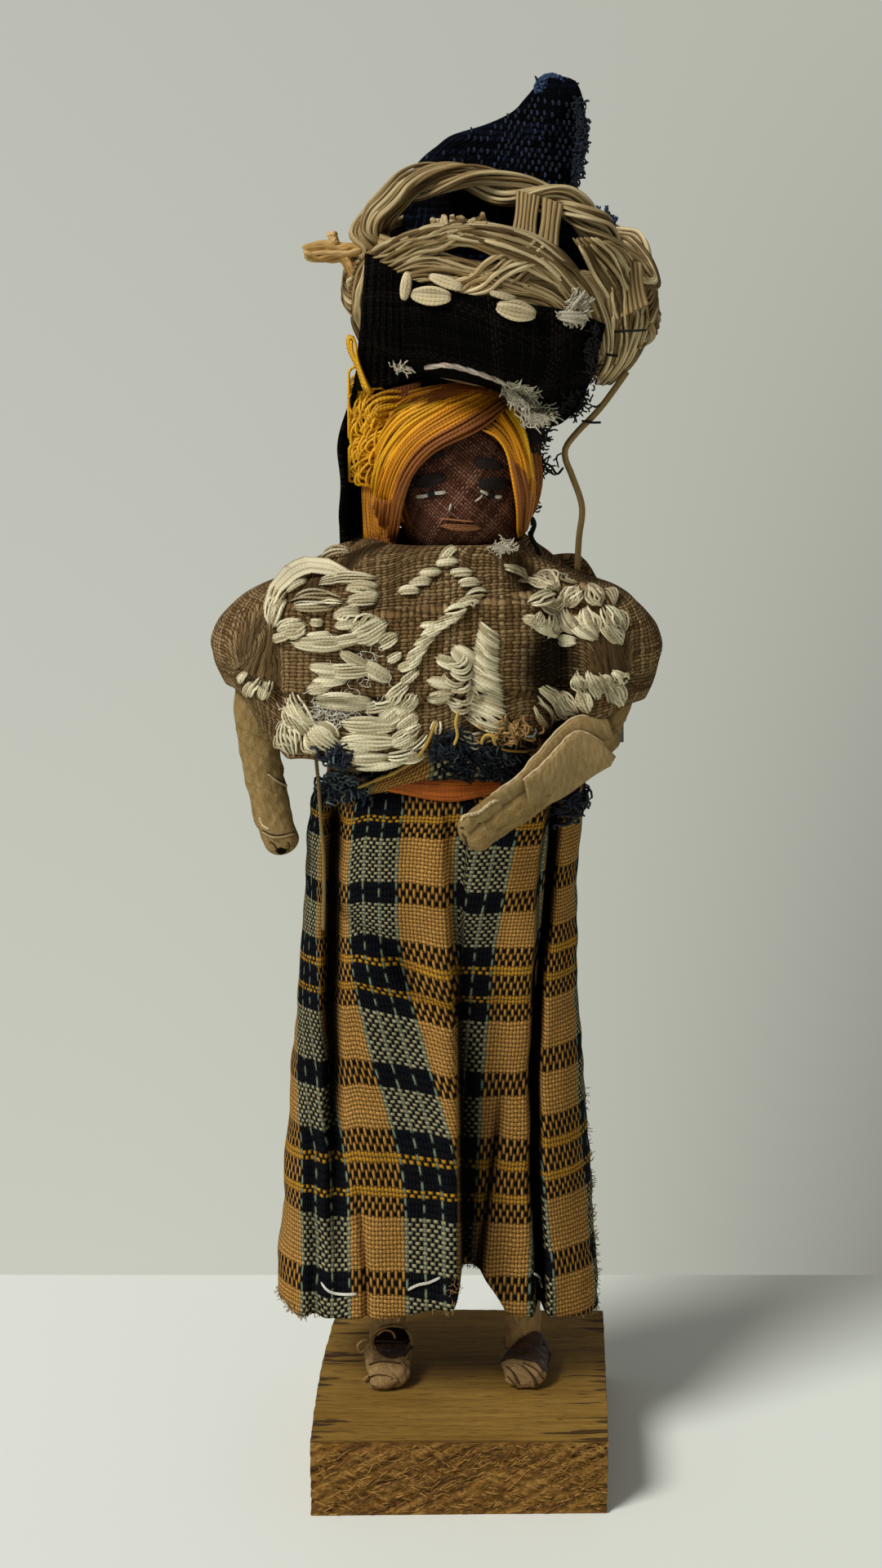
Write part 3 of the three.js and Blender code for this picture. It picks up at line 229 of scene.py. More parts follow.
def resample(points, count):
    """A smooth line through the points, with evenly spaced places on it."""
    points = np.asarray(points, float)
    ends = np.vstack([2 * points[0] - points[1], points, 2 * points[-1] - points[-2]])
    fine = []
    for i in range(1, len(ends) - 2):
        a, b, c, d = ends[i - 1], ends[i], ends[i + 1], ends[i + 2]
        t = np.linspace(0, 1, 24, endpoint=False)[:, None]
        fine.append(0.5 * (2 * b + (c - a) * t + (2 * a - 5 * b + 4 * c - d) * t**2
                           + (3 * b - a - 3 * c + d) * t**3))
    fine = np.vstack(fine + [points[-1:]])
    run = np.concatenate([[0], np.cumsum(np.linalg.norm(np.diff(fine, axis=0), axis=1))])
    even = np.linspace(0, run[-1], count)
    return np.stack([np.interp(even, run, fine[:, k]) for k in range(3)], 1)


def traced(route, count):
    """Evenly spaced places on a smooth line through places in the picture."""
    return resample([(*place, 0) for place in route], count)[:, :2]


def length_of(points):
    return float(np.linalg.norm(np.diff(points, axis=0), axis=1).sum())


def threads(name, paths, radius, sides=5, oval=1.0, tone=None, ends=0.55):
    """One mesh of tubes. paths is threads x points x 3, radius one number, or one for each point."""
    paths = np.asarray(paths, float)
    count, steps, _ = paths.shape
    radius = np.broadcast_to(np.asarray(radius, float), (count, steps)).copy()
    radius[:, 0] *= ends
    radius[:, -1] *= ends
    tangent = np.gradient(paths, axis=1)
    tangent /= np.linalg.norm(tangent, axis=2, keepdims=True) + 1e-12
    normal = np.empty_like(paths)
    start = np.cross(tangent[:, 0], np.where(np.abs(tangent[:, 0, 2:3]) < 0.8, [0, 0, 1], [0, 1, 0]))
    normal[:, 0] = start / np.linalg.norm(start, axis=1, keepdims=True)
    for k in range(1, steps):
        moved = normal[:, k - 1] - tangent[:, k] * (normal[:, k - 1] * tangent[:, k]).sum(1, keepdims=True)
        normal[:, k] = moved / (np.linalg.norm(moved, axis=1, keepdims=True) + 1e-12)
    side = np.cross(tangent, normal)
    turn = np.arange(sides) * 2 * np.pi / sides
    ring = (normal[:, :, None] * np.cos(turn)[None, None, :, None]
            + side[:, :, None] * (oval * np.sin(turn))[None, None, :, None])
    points = paths[:, :, None] + ring * radius[:, :, None, None]
    index = np.arange(count * steps * sides).reshape(count, steps, sides)
    following = np.roll(index, -1, axis=2)
    quads = np.stack([index[:, :-1], following[:, :-1], following[:, 1:], index[:, 1:]], -1).reshape(-1, 4)
    caps = np.concatenate([index[:, 0, ::-1], index[:, -1]])
    mesh = bpy.data.meshes.new(name)
    mesh.from_pydata((points.reshape(-1, 3) * MM).tolist(), [], quads.tolist() + caps.tolist())
    run = np.zeros((count, steps))
    run[:, 1:] = np.cumsum(np.linalg.norm(np.diff(paths, axis=1), axis=2), axis=1)
    around = np.broadcast_to(np.arange(sides) / sides, (count, steps, sides)).ravel()
    along = np.repeat(run.ravel(), sides)
    corners = read(mesh.loops, "vertex_index", 1)
    layer = mesh.uv_layers.new(name="UVMap")
    layer.data.foreach_set("uv", np.stack([around[corners], along[corners]], 1).ravel())
    shade = mesh.attributes.new("tone", "FLOAT", "POINT")
    tone = np.linspace(0, 1, count) * 7.31 % 1 if tone is None else np.asarray(tone, float)
    shade.data.foreach_set("value", np.repeat(tone, steps * sides))
    piece = bpy.data.objects.new(name, mesh)
    bpy.context.scene.collection.objects.link(piece)
    pick(piece)
    bpy.ops.object.shade_smooth()
    print(name, count, "threads,", len(mesh.polygons), "faces")
    return piece


def curve_through(places, values, at):
    """Smooth values between given ones, as a bent lath gives them."""
    places, values = np.asarray(places, float), np.asarray(values, float)
    slopes = np.gradient(values, places)
    at = np.clip(at, places[0], places[-1])
    i = np.clip(np.searchsorted(places, at, side="right") - 1, 0, len(places) - 2)
    width = places[i + 1] - places[i]
    t = (at - places[i]) / width
    return (values[i] * (1 + 2 * t) * (1 - t) ** 2 + slopes[i] * width * t * (1 - t) ** 2
            + values[i + 1] * t**2 * (3 - 2 * t) - slopes[i + 1] * width * t**2 * (1 - t))


def step(value, low, high):
    """A smooth step from 0 at low to 1 at high."""
    t = np.clip((value - low) / (high - low), 0, 1)
    return t * t * (3 - 2 * t)


def wrinkle(points, size, seed=0.0):
    """Soft noise for a row of points, the same on every run."""
    x, y, z = (points[:, k] / size for k in range(3))
    waves = (np.sin(1.7 * x + 2.3 * z + seed) + np.sin(2.9 * z - 1.3 * y + 1.7 * seed)
             + np.sin(2.1 * y + 1.9 * x - 0.7 * z + 2.9 * seed) + np.sin(3.7 * x - 2.7 * z + 4.1 * seed))
    return waves / 4


def surface_of(piece):
    """What lines of sight and nearest points are looked up in."""
    mesh = piece.data
    return BVHTree.FromPolygons([v.co[:] for v in mesh.vertices], [p.vertices[:] for p in mesh.polygons])


def landed(surface, across, down, lift=0.0):
    """Where the line of sight through a place in the picture meets a surface, lifted off it."""
    start = Vector(CAMERA_PLACE * MM)
    surfaces = surface if isinstance(surface, tuple) else (surface,)
    hits = [each.ray_cast(start, Vector(seen(across, down)).normalized()) for each in surfaces]
    hits = [each for each in hits if each[0] is not None]
    if not hits:
        return None
    hit, normal, _, _ = min(hits, key=lambda each: each[3])
    if normal.dot(start - hit) < 0:
        normal = -normal
    return np.array(hit + normal * lift * MM) / MM


chance = np.random.default_rng(7)


def strands(name, paths, radius, sides, finish, slot, tones=(0, 1), node_name=None, **shape):
    """Threads with a tone of their own each, finished and given."""
    piece = threads(name, paths, radius, sides, tone=chance.uniform(*tones, len(paths)), **shape)
    return give(piece, finish, node_name=node_name)


print("helpers ready")

# %% [markdown]
# ## Helpers for materials
#
# Each helper adds its nodes to the tree that was opened last. A material's colours are given as they
# look in a picture, and its relief in millimetres.

# %% Helpers: nodes


shading = None      # the node tree that is being built


def open_tree(tree):
    """Nodes made from here on go into this tree."""
    global shading
    shading = tree
    return tree


def link(value, socket):
    """Join a socket to another one, or give it a constant."""
    if isinstance(value, bpy.types.NodeSocket):
        shading.links.new(value, socket)
    else:
        socket.default_value = value


def node(kind, inputs=None, **settings):
    made = shading.nodes.new("ShaderNode" + kind)
    for name, value in settings.items():
        setattr(made, name, value)
    for socket, value in (inputs or {}).items():
        link(value, made.inputs[socket])
    return made


def maths(operation, *values):
    return node("Math", dict(enumerate(values)), operation=operation).outputs[0]


def blended(share, first, second, kind="MIX"):
    return node("Mix", {0: share, 6: first, 7: second}, data_type="RGBA", blend_type=kind).outputs[2]


def mixed(first, much, second, less):
    """Two values added, each with its own weight."""
    return maths("MULTIPLY_ADD", first, much, maths("MULTIPLY", second, less))


def scaled(vector, sizes):
    return node("VectorMath", {0: vector, 1: sizes}, operation="MULTIPLY").outputs[0]


def either(share, first, second):
    return node("Mix", {0: share, 2: first, 3: second}, data_type="FLOAT").outputs[0]


def place_in(kind):
    """A texture place, such as Object or UV."""
    return node("TexCoord").outputs[kind]


def parts_of(vector):
    return node("SeparateXYZ", {0: vector}).outputs


def from_range(value, low, high, first=0.0, last=1.0):
    """A value's share between low and high, spread from first to last."""
    return node("MapRange", {0: value, 1: low, 2: high, 3: first, 4: last}).outputs[0]


def painted_on(name):
    """A value that each point of the mesh carries."""
    return node("Attribute", attribute_name=name).outputs["Fac"]


def ramp(share, stops, interpolation="LINEAR"):
    made = node("ValToRGB", {0: share})
    made.color_ramp.interpolation = interpolation
    elements = made.color_ramp.elements
    while len(elements) < len(stops):
        elements.new(0.5)
    for element, (place, colour) in zip(elements, stops):
        element.position = place
        element.color = colour
    return made.outputs[0]


def paint(red, green, blue):
    """A colour as a picture gives it, 0 to 255, turned into the light that it stands for."""
    parts = [c / 255 for c in (red, green, blue)]
    return (*[c / 12.92 if c <= 0.04045 else ((c + 0.055) / 1.055) ** 2.4 for c in parts], 1)


def painted(share, places, *colours):
    """Colours as a picture gives them, one after another along a share."""
    return ramp(share, [(place, paint(*colour)) for place, colour in zip(places, colours)])


def grey(value):
    return (value, value, value, 1)


def material(name, roughness=0.8, specular=0.3, sheen=0.0):
    made = bpy.data.materials.new(name)
    made.use_nodes = True
    shader = open_tree(made.node_tree).nodes["Principled BSDF"]
    shader.inputs["Roughness"].default_value = roughness
    shader.inputs["Specular IOR Level"].default_value = specular
    shader.inputs["Sheen Weight"].default_value = sheen
    return made, shader


def bump(shader, height, distance):
    """Relief, with its depth in millimetres."""
    relief = node("Bump", {"Height": height, "Distance": distance * MM, "Strength": 1.0}).outputs[0]
    link(relief, shader.inputs["Normal"])


def group(name, inputs, outputs):
    """Opens a node group, and gives what its lines start from and what they end in."""
    tree = open_tree(bpy.data.node_groups.new(name, "ShaderNodeTree"))
    for socket, (kind, value) in inputs.items():
        made = tree.interface.new_socket(socket, in_out="INPUT", socket_type="NodeSocket" + kind)
        if value is not None:
            made.default_value = value
    for socket, kind in outputs.items():
        tree.interface.new_socket(socket, in_out="OUTPUT", socket_type="NodeSocket" + kind)
    entry, leave = tree.nodes.new("NodeGroupInput"), tree.nodes.new("NodeGroupOutput")
    return entry.outputs, leave.inputs


def use(name, inputs):
    return node("Group", inputs, node_tree=bpy.data.node_groups[name]).outputs


def mapped(vector, scale):
    return node("Mapping", {"Vector": vector, "Scale": scale}).outputs[0]


def noise(vector, scale, detail=3.0, roughness=0.55):
    return node("TexNoise", {"Vector": vector, "Scale": scale, "Detail": detail,
                             "Roughness": roughness}).outputs[0]


def darker(colour, *shades):
    """A colour times one grey after another."""
    for shade in shades:
        level = node("CombineColor", {0: shade, 1: shade, 2: shade}).outputs[0]
        colour = blended(1.0, colour, level, "MULTIPLY")
    return colour


def mottled(colour, size, depth):
    return darker(colour, use("Mottle", {"Size": size, "Depth": depth})["Shade"])


# %% Node groups: strands along a piece, and a soft mottle
given, result = group("Strands", {"Place": ("Vector", None), "Width": ("Float", 0.5),
                                  "Length": ("Float", 12.0)}, {"Height": "Float", "Tone": "Float"})
spread = node("CombineXYZ", {0: maths("DIVIDE", 1.0, given["Width"]),
                             1: maths("DIVIDE", 1.0, given["Length"]), 2: 1.0}).outputs[0]
lined = scaled(given["Place"], spread)
ridges = noise(lined, 1.0, 2.0)
fibres = noise(scaled(lined, (4.0, 2.0, 1.0)), 1.0, 2.0)
folded = maths("ABSOLUTE", maths("MULTIPLY_ADD", ridges, 2.0, -1.0))
link(maths("MULTIPLY_ADD", fibres, 0.35, folded), result["Height"])
link(mixed(fibres, 0.5, ridges, 0.5), result["Tone"])

given, result = group("Mottle", {"Size": ("Float", 6.0), "Depth": ("Float", 0.3)}, {"Shade": "Float"})
broad = noise(place_in("Object"), maths("DIVIDE", 1000.0, given["Size"]), 4.0)
centred = maths("MULTIPLY_ADD", broad, 2.0, -1.0)
link(maths("MULTIPLY_ADD", centred, given["Depth"], 1.0), result["Shade"])
print("materials ready")

# %% [markdown]
# ## Floor and light
#
# A pale floor ends a little behind the doll, and behind it stands a plain grey. The light is soft
# and comes from the upper left, a little from the front, so that the shadow falls to the right.
# The grey behind is seen by the camera only, and is painted darker towards its lower right as shadow;
# the sky that lights the doll is a plain white.

# %% Floor
FLOOR_FRONT, FLOOR_BACK, FLOOR_SIDE = -1600, 65.0, 1500

bpy.ops.mesh.primitive_plane_add(size=1)
floor = bpy.context.object
floor.name = "floor"
move_points(floor, [(x, y, 0) for y in (FLOOR_FRONT, FLOOR_BACK) for x in (-FLOOR_SIDE, FLOOR_SIDE)])
floor_paint, shader = material("floor_paint", 0.7, 0.2)
# Painted shade: the floor is painted a little darker towards the right, away from the light.
shade = from_range(parts_of(place_in("Object"))[0], -0.1, 0.13)
link(blended(shade, paint(238, 240, 231), paint(226, 229, 216)), shader.inputs["Base Color"])
floor.data.materials.append(floor_paint)

# %% Light
SUN_STRENGTH = 2.8
SUN_HEADING = (0.66, 0.56, -0.88)
SUN_SOFTNESS = math.radians(21)
SKY_STRENGTH = 0.235
SKY_WHITE = (0.98, 0.99, 0.96, 1)

bpy.ops.object.light_add(type="SUN")
sun = bpy.context.object
sun.name = "soft_window"
sun.rotation_euler = Vector(SUN_HEADING).to_track_quat("-Z", "Y").to_euler()
sun.data.energy = SUN_STRENGTH
sun.data.angle = SUN_SOFTNESS

world = bpy.data.worlds.new("studio")
bpy.context.scene.world = world
world.use_nodes = True
end = open_tree(world.node_tree).nodes["World Output"]
direction = parts_of(place_in("Generated"))
# Painted shadow: the grey behind is darker towards its lower right, where the shadow falls, and lighter at its
# lower left.
across, height = from_range(direction[0], -0.19, 0.19), from_range(direction[2], -0.42, 0.1)
lower = blended(maths("POWER", across, 2.6), paint(201, 203, 190), paint(138, 138, 129))
upper = blended(across, paint(188, 190, 181), paint(180, 182, 170))
wall_grey = blended(maths("POWER", height, 0.7), lower, upper)
sky = node("Background", {0: SKY_WHITE, 1: SKY_STRENGTH}).outputs[0]
wall = node("Background", {0: wall_grey, 1: 1.0}).outputs[0]
straight = node("LightPath").outputs["Is Camera Ray"]
link(node("MixShader", {0: straight, 1: sky, 2: wall}).outputs[0], end.inputs["Surface"])
bpy.context.scene.view_settings.view_transform = "Standard"
print("floor to", FLOOR_BACK, "mm behind, sun", SUN_STRENGTH)


# %% [markdown]
# ## The two loose ends
#
# A strip of raffia hangs from the basket to the shoulder, and a thread of yellow floss hangs at the
# waist. They are thin tubes along the routes that the imported model has. They come first.

# %% Raffia and thread finishes


def raffia(name, deep, middle, pale, width=0.35, length=9.0, relief=0.22, spread=0.0):
    made, shader = material(name, 0.72, 0.25)
    lines = use("Strands", {"Place": place_in("UV"), "Width": width, "Length": length})
    own = maths("SUBTRACT", painted_on("tone"), 0.5)
    tone = maths("MULTIPLY_ADD", own, spread, lines["Tone"])
    colour = painted(tone, (0.3, 0.48, 0.68), deep, middle, pale)
    link(mottled(colour, 7.0, 0.34), shader.inputs["Base Color"])
    bump(shader, lines["Height"], relief)
    return made


def dyed_thread(name, deep, pale, roughness=0.6, sheen=0.0, twist=0.32, relief=0.05):
    """Floss: each thread has its own tone; its twist shows in relief, and as painted shade in the grooves between
    plies.
    """
    made, shader = material(name, roughness, 0.35, sheen)
    around, along, _ = parts_of(place_in("UV"))
    turns = maths("ADD", around, maths("DIVIDE", along, twist * 4))
    ply = maths("SINE", maths("MULTIPLY", turns, 2 * math.pi * 2))
    ply = maths("MULTIPLY_ADD", ply, 0.5, 0.5)
    colour = blended(mixed(ply, 0.25, painted_on("tone"), 0.8), paint(*deep), paint(*pale))
    link(mottled(colour, 4.0, 0.3), shader.inputs["Base Color"])
    bump(shader, ply, relief)
    return made


raffia_strip = raffia("raffia_strip", (96, 74, 36), (134, 108, 62), (170, 144, 92), 0.2, 20.0, 0.12)
yellow_thread = dyed_thread("yellow_thread", (104, 84, 24), (158, 130, 52), sheen=0.3)

# %% Raffia tie and waist thread
RAFFIA_DIAMETER = 1.0
THREAD_DIAMETER = 0.6
raffia_route = [
    (26, -4, 185.9), (22, -4.2, 180.4), (18.4, -4.3, 176.6), (16.6, -4.3, 174.2), (16.6, -4.2, 172.2),
    (17.6, -4, 169.8), (19.3, -3.8, 164.8), (18.9, -3.6, 159.8), (18.7, -3.4, 154.6),
]
thread_route = [
    (-23.2, -5.9, 127.4), (-23.1, -6.1, 124), (-22.8, -6.4, 120.5), (-22.6, -6.7, 117),
    (-22.4, -7.1, 113.5), (-22.1, -7.6, 110), (-22, -8, 106.5), (-22, -8.3, 103), (-22.1, -8.6, 99.5),
    (-22.2, -8.8, 96.4),
]


def hanging_cord(name, route, diameter, finish, node_name):
    path = resample(route, 40)
    piece = give(threads(name, [path], diameter / 2, sides=8, ends=0.98), finish, "doll", node_name)
    print(name, round(length_of(path), 1), "mm long")


hanging_cord("raffia_tie_strip", raffia_route, RAFFIA_DIAMETER, raffia_strip, "raffia_tie")
hanging_cord("waist_floss", thread_route, THREAD_DIAMETER, yellow_thread, "waist_thread")

# %% [markdown]
# ## The skirt
#
# One hand-woven plaid cloth is wrapped round and tied. Cloth simulation would fold it where it liked,
# while the real one is pressed into a few deep folds, so the folds are drawn: each is a line from
# waist to hem that pushes the cloth inwards. The plaid isn't a picture. Coloured warps run down and
# coloured picks run across, and a plain weave decides which of the two shows at each crossing, so
# stripes mix as they do on a loom.

# %% Node group: plain weave
given, result = group("Weave", {"Warp": ("Float", None), "Weft": ("Float", None),
                                "Wobble": ("Float", 0.35), "Narrow": ("Float", 0.4)},
                      {"Over": "Float", "Height": "Float", "Thread": "Float", "Fibre": "Float",
                       "Warp": "Float", "Weft": "Float"})
flat = node("CombineXYZ", {0: given["Warp"], 1: given["Weft"], 2: 0.0}).outputs[0]
drift = parts_of(node("TexNoise", {"Vector": flat, "Scale": 0.4, "Detail": 2.0}).outputs["Color"])
warp, weft = (maths("ADD", given[way], maths("MULTIPLY", maths("SUBTRACT", drift[k], 0.5), given["Wobble"]))
              for k, way in enumerate(("Warp", "Weft")))
warp_index, weft_index = maths("FLOOR", warp), maths("FLOOR", weft)
over = maths("FLOORED_MODULO", maths("ADD", warp_index, weft_index), 2.0)


def hump(place):
    return maths("SINE", maths("MULTIPLY", maths("FRACT", place), math.pi))


warp_hump, weft_hump = hump(warp), hump(weft)
high_warp = maths("MULTIPLY", warp_hump, maths("MULTIPLY_ADD", weft_hump, 0.5, 0.5))
high_weft = maths("MULTIPLY", weft_hump, maths("MULTIPLY_ADD", warp_hump, 0.5, 0.5))
# Where the upper thread is too narrow to cover the crossing, the lower one shows beside it.
shows = maths("GREATER_THAN", either(over, high_weft, high_warp), given["Narrow"])
buried = maths("SUBTRACT", 1.0, shows)
over = maths("ABSOLUTE", maths("SUBTRACT", over, buried))
own = either(over, maths("MULTIPLY", weft_index, 1.37), maths("MULTIPLY", warp_index, 2.11))
along_warp = noise(node("CombineXYZ", {0: maths("MULTIPLY", warp, 5.0), 1: weft}).outputs[0], 1.2)
along_weft = noise(node("CombineXYZ", {0: warp, 1: maths("MULTIPLY", weft, 5.0)}).outputs[0], 1.2)
link(over, result["Over"])
height = maths("POWER", either(over, high_weft, high_warp), 0.6)
link(either(buried, height, maths("MULTIPLY", height, 0.35)), result["Height"])
link(node("TexWhiteNoise", {"W": own}, noise_dimensions="1D").outputs[0], result["Thread"])
link(either(over, along_weft, along_warp), result["Fibre"])
link(warp_index, result["Warp"])
link(weft_index, result["Weft"])

given, result = group("Cloth shade", {"Height": ("Float", 0.5), "Thread": ("Float", 0.5),
                                      "Fibre": ("Float", 0.5), "Gap": ("Float", 0.25)},
                      {"Shade": "Float", "Relief": "Float"})
# Painted shade: each thread is darker down its sides, and the gaps between threads are darkest, down to Gap.
rounded = from_range(given["Height"], 0.0, 0.75, given["Gap"], 1.0)
uneven = maths("MULTIPLY_ADD", given["Thread"], 0.24, 0.88)
fuzzy = maths("MULTIPLY_ADD", given["Fibre"], 0.5, 0.75)
link(maths("MULTIPLY", maths("MULTIPLY", rounded, uneven), fuzzy), result["Shade"])
link(maths("MULTIPLY_ADD", given["Fibre"], 0.25, given["Height"]), result["Relief"])


def finish_cloth(shader, weave, colour, gap, relief, worn=None, folds=None):
    """Paint shade between a cloth's threads and deep in its folds, darken it where it is worn,
    and raise the threads.
    """
    finished = use("Cloth shade", {"Gap": gap, **{key: weave[key] for key in ("Height", "Thread", "Fibre")}})
    colour = darker(colour, finished["Shade"])
    if worn:
        colour = mottled(colour, *worn)
    if folds:
        # Painted shade: the deeper a point lies in a fold or hollow, the darker it is painted.
        colour = darker(colour, from_range(painted_on("deep"), 0.1, folds[0], 1.0, folds[1]))
    link(colour, shader.inputs["Base Color"])
    bump(shader, finished["Relief"], relief)


def woven(name, specular, pitches, wobble, own, places, colours, gap, relief, worn=None, folds=None, turned=0.0):
    """A cloth of one colour. Pitches are in millimetres; own is each thread's share in the tone.
    gap is how dark the painted shade between threads goes.
    """
    made, shader = material(name, 0.95, specular)
    place = place_in("UV")
    if turned:
        place = node("Mapping", {"Vector": place, "Rotation": (0, 0, turned)}).outputs[0]
    warp, weft, _ = parts_of(place)
    weave = use("Weave", {"Warp": maths("DIVIDE", warp, pitches[0]), "Weft": maths("DIVIDE", weft, pitches[1]),
                          "Wobble": wobble})
    tones = mixed(weave["Thread"], own, weave["Fibre"], 1 - own)
    finish_cloth(shader, weave, painted(tones, places, *colours), gap, relief, worn, folds)
    return made


print("weave ready")

# %% Plaid
WARP_PITCH = 0.64
WARP_REPEAT = 31
WEFT_REPEAT = 32.3
PICKS = 38
TAN, DARK_TAN, BLACK, NAVY = paint(184, 138, 76), paint(172, 124, 58), paint(18, 14, 10), paint(9, 15, 27)
PALE, YELLOW, SPECK = paint(108, 122, 104), paint(176, 128, 28), paint(150, 152, 118)
# Ends of one warp repeat, and picks of one weft repeat with the millimetres that they take
warp_ends = [(1, PALE), (4, NAVY), (1, PALE), (4, NAVY), (1, PALE), (4, NAVY), (1, PALE), (15, DARK_TAN)]
weft_picks = [(12, 8.6, TAN), (3, 4.0, BLACK), (10, 6.8, TAN), (3, 3.5, BLACK), (2, 1.6, YELLOW),
              (3, 3.6, BLACK), (2, 1.3, YELLOW), (3, 2.9, BLACK)]

plaid, shader = material("plaid_cloth", 0.95, 0.06)
uv = parts_of(place_in("UV"))
down = maths("DIVIDE", maths("MULTIPLY", uv[1], -1.0), WEFT_REPEAT)
pick_stops, picks_done, run = [(0.0, grey(0.0))], 0, 0.0
for count, millimetres, _ in weft_picks:
    picks_done, run = picks_done + count, run + millimetres
    pick_stops.append((run / WEFT_REPEAT, grey(picks_done / PICKS)))
picks = ramp(maths("FRACT", down), pick_stops)
picks = maths("MULTIPLY", maths("ADD", picks, maths("FLOOR", down)), float(PICKS))
weave = use("Weave", {"Warp": maths("DIVIDE", uv[0], WARP_PITCH), "Weft": picks,
                      "Wobble": 0.5})


def stripes(index, repeat, rows):
    stops, done = [], 0
    for count, colour in rows:
        stops.append((done / repeat, colour))
        done += count
    place = maths("FRACT", maths("DIVIDE", maths("ADD", index, 0.5), float(repeat)))
    return ramp(place, stops, "CONSTANT")


warp_colour = stripes(weave["Warp"], WARP_REPEAT, warp_ends)
weft_colour = stripes(weave["Weft"], PICKS, [(count, colour) for count, _, colour in weft_picks])
# Beside the dark ends the tan picks show as pale specks.
dark_ends = stripes(weave["Warp"], WARP_REPEAT, [(16, grey(1.0)), (15, grey(0.0))])
tan_picks = stripes(weave["Weft"], PICKS, [(count, grey(float(colour == TAN)))
                                           for count, _, colour in weft_picks])
weft_colour = blended(maths("MULTIPLY", maths("MULTIPLY", dark_ends, tan_picks), 0.75),
                      weft_colour, SPECK)
colour = blended(weave["Over"], weft_colour, warp_colour)
# Painted shade between the threads, and deep in the folds down to nearly black.
finish_cloth(shader, weave, colour, 0.1, 0.4, (16.0, 0.22), (0.75, 0.03))
print("plaid of", WARP_REPEAT, "ends and", PICKS, "picks")

# %% Skirt
SKIRT_WALL = 0.9
SKIRT_LEVELS = np.array([  # height, half width, half depth, middle
    (26.6, 27.9, 15, -3.6), (62.1, 25.4, 14.8, -3.6), (95.8, 22.7, 14.1, -3.18), (113.05, 22.4, 13.8, -2.2),
    (117.6, 22.3, 13.6, -1.5), (120.0, 19.6, 12.1, -1.5), (122.4, 19.4, 12, -1.5), (128.4, 20.7, 13.3, -1.5)])
SKIRT_TOP = SKIRT_LEVELS[-1, 0]
SKIRT_HALF = (25.4, 14.8)      # half its width and depth, half way up
HEM_HEIGHT, HEM_HALF_WIDTH, _, HEM_MIDDLE = SKIRT_LEVELS[0]
HEM_PERIMETER = 146.0
SASH_TOP, SASH_LOW = 121, 113      # the folds fade out between these heights


def section(centre, half_width, half_depth, angle, power=0.92):
    """A rounded box round the body."""
    cosine, sine = np.cos(angle), np.sin(angle)
    return (centre + half_width * np.sign(cosine) * np.abs(cosine) ** power,
            half_depth * np.sign(sine) * np.abs(sine) ** power)


def even_angles(across, half_width, half_depth, power=0.92):
    """Angles from the middle of the back, round by the doll's right, that keep columns evenly spaced."""
    fine = np.linspace(90, 450, 1441)
    x, y = section(0, half_width, half_depth, np.radians(fine), power)
    run = np.concatenate([[0], np.cumsum(np.hypot(np.diff(x), np.diff(y)))])
    return np.radians(np.interp(across * run[-1], run, fine))


# Each drawn fold: its line as (height, x) pairs, its depth as (height, depth) pairs, how sharp it is
# on its left and on its right.
skirt_folds = [
    ([(26, -20.4), (62, -20.8), (83, -21.0), (103, -20.6), (117, -20.2)],
     [(26, 0), (40, 1.6), (60, 3.6), (75, 5.4), (90, 6.0), (117, 5.0)], 1.3, 1.4),
    ([(26, 0.6), (36, 0.4), (69, -0.1), (94, -1.3), (106, -2.1), (117, -2.4)],
     [(26, 5.6), (50, 5.4), (75, 4.8), (90, 3.6), (104, 2.0), (117, 1.4)], 0.4, 5.2),
    ([(26, 13.9), (38, 13.6), (51, 12.7), (75, 12.4), (89, 13.1), (96, 13.9), (105, 14.8), (117, 15.2)],
     [(26, 6.5), (61, 7.5), (84, 8.0), (117, 7)], 0.75, 0.85),
    ([(83, -1.5), (84.4, -2.5), (86.4, -7.3), (94, -11.8), (100.2, -20.1)],
     [(82, 0), (84.5, 1.3), (94, 1.7), (100, 1.5), (102, 0)], 1.2, 3.2),
    ([(26, -15.6), (36, -15.6), (46, -16.2), (54, -17)], [(26, 1.6), (46, 1.3), (54, 0)], 0.5, 0.7),
    ([(26, 3), (39, 3.6), (54, 5.4), (69, 7.2)], [(26, 1.5), (60, 1.4), (72, 0)], 0.7, 0.7),
    ([(26, -9), (60, -10.5), (90, -9), (117, -8)], [(26, 0.8), (60, 0.6), (100, 0.8), (117, 1.0)], 3.2, 3.2),
    ([(26, 8), (60, 6.2), (85, 6), (117, 6)], [(26, 0.7), (60, 0.8), (100, 0.5), (117, 0.9)], 2.2, 2.0),
    ([(26, -24.5), (60, -24.5), (90, -24)], [(26, 1.8), (60, 1.4), (90, 0.4)], 1.2, 1.4),
]
back_folds = [(48, 40, 2.2), (90, 92, 2.4), (133, 140, 2.2), (112, 116, 1.0), (68, 66, 1.1)]


def fold_push(x, z, front):
    """How far the drawn folds push the cloth in."""
    push = np.zeros_like(x)
    for line, depth, left, right in skirt_folds:
        where = x - np.interp(z, *zip(*line))
        amount = np.interp(z, *zip(*depth))
        if right > 4:      # a pressed edge: the left side stands proud of the right
            shape = step(where, -0.5, left) * np.exp(-np.maximum(where, 0) / right)
            shape -= 0.3 * np.exp(-((where + 1.4) / 2.2) ** 2)
        else:
            shape = np.exp(-(where / np.where(where < 0, left, right)) ** 2)
        push = push + np.where(front, amount * shape, 0)
    return push * step(z, SASH_TOP, SASH_LOW)


def at_levels(levels, place, count):
    """The first values of a table of levels, smoothed between them."""
    return [curve_through(levels[:, 0], levels[:, k + 1], place) for k in range(count)]


